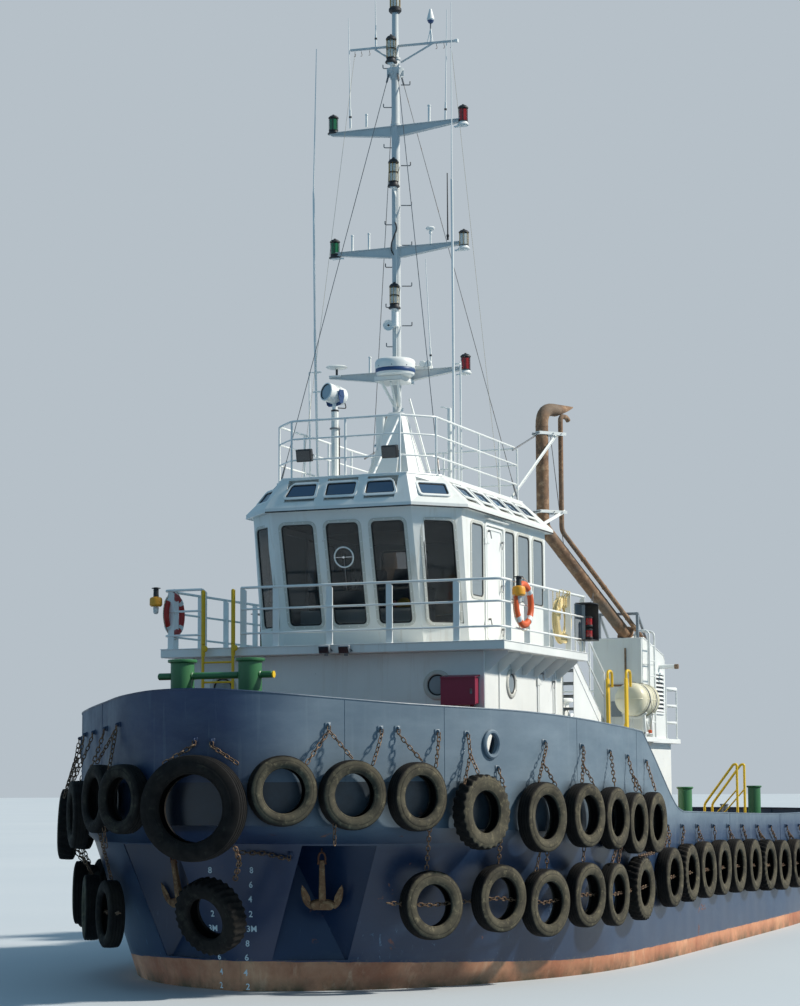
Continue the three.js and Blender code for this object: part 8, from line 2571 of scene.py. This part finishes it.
# ---- propellers and rudders
def screws(side, sg):
    c = V3((-10.3, 1.35 * sg, -1.85))
    s = Piece()
    br = s.k("bronze")
    s.lathe([(0, -.325), (.018, -.325), (.042, -.305), (.085, -.25), (.122, -.20), (.145, -.186), (.147, -.10), (.148, .0), (.138, .10), (.108, .196), (.085, .199), (0, .199)], c, EX, 40, br)
    s.lathe([(.128, -.192), (.136, -.196), (.136, -.186), (.128, -.182)], c, EX, 40, s.k("dark"), closed=True)
    for b in range(4):
        turn = b * math.pi / 2 + .4
        rows, n = [], 14
        for i, r in enumerate(np.linspace(.12, .772, 13)):
            t = (r - .12) / .652
            chord = .27 + .30 * math.sin(math.pi * min(1, t * 1.05) ** .85) * (1 - .1 * t)
            chord *= math.sqrt(max(0.03, 1 - max(0, (t - .55) / .46) ** 2.6))
            chord = min(chord, .42)
            ang = math.atan2(.86, 2 * math.pi * r) + .10
            skew = .10 * t * t
            thick = .034 * (1 - t) + .008
            ring = []
            for k_ in range(n):
                f = 2 * math.pi * k_ / n
                a, h = chord / 2 * math.cos(f) + skew, thick / 2 * math.sin(f)
                rake = -.035 * t
                # chordwise: across the turn, tilted by the pitch
                ux, uy = math.sin(ang), math.cos(ang)
                x = a * ux - h * uy + rake
                y = (a * uy + h * ux)
                th = y / r if r > .2 else y / .2
                x = max(-.155, min(.155, x))
                ring.append((x, r, th * sg))
            rows.append(ring)
        v = []
        for ring in rows:
            for x, r, th in ring:
                a = turn * sg + th
                v.append((c[0] + x, c[1] + r * math.sin(a), c[2] + r * math.cos(a)))
        m = len(rows)
        quads = [[i * n + k_, i * n + (k_ + 1) % n, (i + 1) * n + (k_ + 1) % n, (i + 1) * n + k_] for i in range(m - 1) for k_ in range(n)]
        s.add(v, quads + [list(range(n)), [(m - 1) * n + k_ for k_ in range(n)][::-1]], br)
    s.done("propeller_%s_finished" % side, body="propeller_" + side, hides=("propeller_" + side,), sharp=50)

    s = Piece()
    nv = s.k("hull")
    foil = []
    for t in np.linspace(0, 1, 15):
        x = .305 - 1.0 * t
        y = .078 * (2.0 * math.sqrt(max(t, 0)) * (1 - t) ** .9 + .28 * math.sin(math.pi * t)) / 1.02
        foil.append((x, max(y, .006 if t > 0 else 0.0)))
    P = foil + [(x, -y) for x, y in foil[::-1][:-1]]
    s.prism(P, (-11.15, 1.35 * sg, -2.5), EX, EY, (0, 0, 1.56), nv, b=.006)
    for z in (-2.12, -1.72, -1.32):
        for e in (1, -1):
            s.bar((-10.93, (1.35 + e * .072) * sg, z), (-11.66, (1.35 + e * .030) * sg, z), .018, .006, nv, up=EY)
    s.lathe([(0, 0), (.068, 0), (.068, .36), (.068, .43), (0, .43)], (-11.15, 1.35 * sg, -.995), Z, 24, s.k("steel"))
    s.lathe([(.06, 0), (.12, 0), (.12, .03), (.068, .06)], (-11.15, 1.35 * sg, -.95), Z, 24, s.k("rust"), closed=True)
    s.done("rudder_%s_finished" % side, body="rudder_" + side, hides=("rudder_" + side,))


mirrored(screws)

# ---- loose gear on the decks: fire box and its hose ring, vents, hatches, a deck ring
s = Piece()
rd, wc, st, dk = s.k("red"), s.k("white_clean"), s.k("steel"), s.k("dark")


def hatch(s, x, y, z, a, b, h, word="white_clean", lid=None):
    k_ = s.k(word)
    s.box(x - a / 2 + .02, x + a / 2 - .02, y - b / 2 + .02, y + b / 2 - .02, z, z + h, k_, b=.01)
    s.prism(rounded(a + .03, b + .03, .06, 5), (x, y, z + h), EX, EY, (0, 0, .035), s.k(lid or word), b=.008)
    s.prism(rounded(a - .10, b - .10, .05, 5), (x, y, z + h + .035), EX, EY, (0, 0, .010), s.k(lid or word), b=.003)
    for sx in (-1, 1):
        for sy in (-.5, .5):
            p = V3((x + sx * (a / 2 + .018), y + sy * b * .6, z + h - .01))
            s.rod(p, p + Z * .075, .010, 8, s.k("steel"))
            s.lathe([(0, 0), (.022, 0), (.022, .018), (0, .018)], p + Z * .055, Z, 8, s.k("brass"))


def mushroom(s, x, y, z, h, r, word="white_clean", stem=.62):
    k_ = s.k(word)
    s.lathe([(0, 0), (r * .95, 0), (r * .95, .012), (r * stem, .02), (r * stem, h - r * .3), (0, h - r * .3)], (x, y, z), Z, 28, k_)
    s.lathe([(0, h - r * .34), (r * .9, h - r * .46), (r, h - r * .40), (r, h - r * .22), (r * .86, h - r * .10), (r * .5, h - .02), (0, h)], (x, y, z), Z, 28, k_)


# fire box on the aft outer corner of the house and the hose ring beside it
bx = at(661, 778, y=2.95)
s.box(bx[0] - .20, bx[0] + .20, 2.505, 2.86, 2.02, 2.62, rd, b=.012)
s.prism(rounded(.34, .50, .03, 4), (bx[0], 2.862, 2.32), EX, Z, (0, .010, 0), rd, b=.003)
s.rod((bx[0] - .15, 2.878, 2.20), (bx[0] - .15, 2.878, 2.44), .010, 8, st)
s.obox((bx[0] + .14, 2.880, 2.32), (.02, .02, .08), m=st, b=.004)
for dz in (-.02, .02):
    s.tube(circle((bx[0] - .34, 2.74, 2.30 + dz * .2), .20, 40, unit((.35, 1, 0)), Z), .030, 12, s.k("orange"), closed=True)
s.tube([(bx[0] - .28, 2.505, 2.50), (bx[0] - .34, 2.72, 2.50)], .014, 8, wc)
s.tube(fillet([(bx[0] - .60, 2.505, 2.05), (bx[0] - .60, 2.80, 2.05), (bx[0] - .60, 2.80, 2.20)], .05), .030, 12, wc)
s.lathe([(0, 0), (.045, 0), (.045, .02), (.03, .03), (.03, .08), (.045, .09), (.045, .11), (0, .115)], (bx[0] - .60, 2.80, 2.18), Z, 16, s.k("brass"))
s.tube(circle((bx[0] - .60, 2.80, 2.33), .055, 20, EX, EY), .007, 6, rd, closed=True)
# deck vent by the bulwark
pv = at(724.2, 806.5, y=3.30)
mushroom(s, pv[0], 3.30, 1.304, pv[2] + .06 - 1.304, .085, "steel", .80)
# fore deck
hatch(s, 9.95, 0.0, 2.904, .70, .70, .30)
for y in (-1.55, 1.55):
    mushroom(s, 8.2, y, 2.904, .62, .17)
    s.lathe([(0, 0), (.05, 0), (.05, .015), (.02, .02), (0, .02)], (9.45, y * 1.15, 2.904), Z, 16, s.k("brass"))
for y in (-2.35, 2.35):
    s.tube(fillet([(8.6, y, 2.904), (8.6, y, 3.42), (8.38, y, 3.42), (8.38, y, 3.28)], .10, 5), .042, 12, wc)
# boat deck
hatch(s, -2.2, 0.0, 3.664, 1.2, 1.0, .28)
for x, y in ((.55, 1.6), (.55, -1.6)):
    mushroom(s, x, y, 3.664, .70, .20)
for y in (-.55, .55):
    s.tube(fillet([(-3.2, y, 3.664), (-3.2, y, 4.15), (-3.42, y, 4.15), (-3.42, y, 4.0)], .10, 5), .045, 12, wc)
s.lathe([(.05, 0), (.10, 0), (.10, .012), (.05, .012)], (-.6, .2, 3.682), Z, 20, st, closed=True)
# after deck
hatch(s, -5.6, 1.55, 1.304, .70, .70, .45)
hatch(s, -5.6, -1.55, 1.304, .70, .70, .45)
hatch(s, -9.3, 0.0, 1.304, .60, .60, .20)
for y in (-2.6, 2.6):
    s.tube(fillet([(-4.6, y, 1.304), (-4.6, y, 1.95), (-4.82, y, 1.95), (-4.82, y, 1.80)], .10, 5), .045, 12, wc)
    s.tube(fillet([(-8.4, y, 1.304), (-8.4, y, 1.80), (-8.62, y, 1.80), (-8.62, y, 1.66)], .10, 5), .045, 12, wc)
    s.lathe([(0, 0), (.05, 0), (.05, .012), (.02, .018), (0, .018)], (-7.9, y, 1.304), Z, 16, s.k("brass"))
s.done("deck_gear")

# boat deck edge: rolled flange, brackets under the wings, rail aft with stanchions
s = Piece()
wc = s.k("white_clean")
for sg in (1, -1):
    edge = [(1.30, 2.5), (1.30, 2.92), (-1.01, 2.92), (-1.01, 2.63), (-3.6, 2.63), (-3.6, 0)]
    for (xa, ya), (xb, yb) in zip(edge, edge[1:]):
        s.bar((xa, ya * sg, 3.622), (xb, yb * sg, 3.622), .016, .085, wc, up=Z)
    for x in (1.05, .10, -.80):
        s.prism([(2.505, 3.595), (2.88, 3.595), (2.88, 3.56), (2.505, 3.20)], (x - .006, 0, 0), (0, sg, 0), Z, (.012, 0, 0), wc)
    line = [V3((x, y * sg, 0)) for x, y in ((-2.80, 2.58), (-3.55, 2.58), (-3.55, 0))]
    for z, r in ((4.62, .019), (4.30, .013), (3.98, .013)):
        s.tube([p + Z * z for p in line], r, 8, wc)
    for x, y in ((-2.80, 2.58), (-3.55, 2.58), (-3.55, 1.7), (-3.55, .85), (-3.55, 0)):
        s.tube([(x, y * sg, 3.662), (x, y * sg, 4.62)], .017, 8, wc)
        s.obox((x, y * sg, 3.670), (.07, .07, .012), m=wc, b=.003)
s.done("boat_deck_edges")


# ------------------------------------------------------------------ plain stage
def stage():
    me = bpy.data.meshes.new("stage_floor")
    r, n = 420.0, 96
    ring = [(r * math.cos(a), r * math.sin(a), 0.0) for a in np.linspace(0, 2 * math.pi, n, endpoint=False)]
    me.from_pydata(ring, [], [list(range(n))])
    k = Nodes("stage_floor_finish")
    k.out(k.mix(k.ramp(k.noise(0.08, 2), 0.3, 0.7), srgb(196, 202, 206), srgb(202, 207, 210)), Roughness=0.75)
    me.materials.append(k.m)
    floor = temp_object("stage_floor", me)
    floor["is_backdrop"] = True
    floor.visible_diffuse = False
    world = bpy.data.worlds.new("studio")
    world.use_nodes = True
    nt = world.node_tree
    bg = nt.nodes["Background"]
    back = nt.nodes.new("ShaderNodeBackground")
    path, mixer = nt.nodes.new("ShaderNodeLightPath"), nt.nodes.new("ShaderNodeMixShader")
    bg.inputs["Color"].default_value, bg.inputs["Strength"].default_value = (0.165, 0.285, 0.400, 1.0), 1.0
    back.inputs["Color"].default_value, back.inputs["Strength"].default_value = (0.55, 0.62, 0.68, 1.0), 0.85
    nt.links.new(path.outputs["Is Camera Ray"], mixer.inputs[0])
    nt.links.new(bg.outputs[0], mixer.inputs[1])
    nt.links.new(back.outputs[0], mixer.inputs[2])
    nt.links.new(mixer.outputs[0], nt.nodes["World Output"].inputs["Surface"])
    SCENE.world = world

    def sun(name, az, el, strength, angle, color):
        l = bpy.data.lights.new(name, "SUN")
        l.energy, l.angle, l.color = strength, math.radians(angle), color
        o = bpy.data.objects.new(name, l)
        SCENE.collection.objects.link(o)
        a, e = math.radians(az), math.radians(el)
        o.rotation_mode = "QUATERNION"
        o.rotation_quaternion = (-Vector((math.cos(a) * math.cos(e), math.sin(a) * math.cos(e), math.sin(e)))).to_track_quat("-Z", "Y")

    sun("key", 108, 38, 4.3, 4, (1.0, 0.95, 0.86))
    sun("rim", 146, 24, 0.25, 30, (1.0, 0.97, 0.93))
    SCENE.view_settings.view_transform = "Standard"


stage()

for o in list(bpy.data.objects):
    if o.name.startswith("carve_"):
        bpy.data.objects.remove(o)
lo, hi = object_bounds()
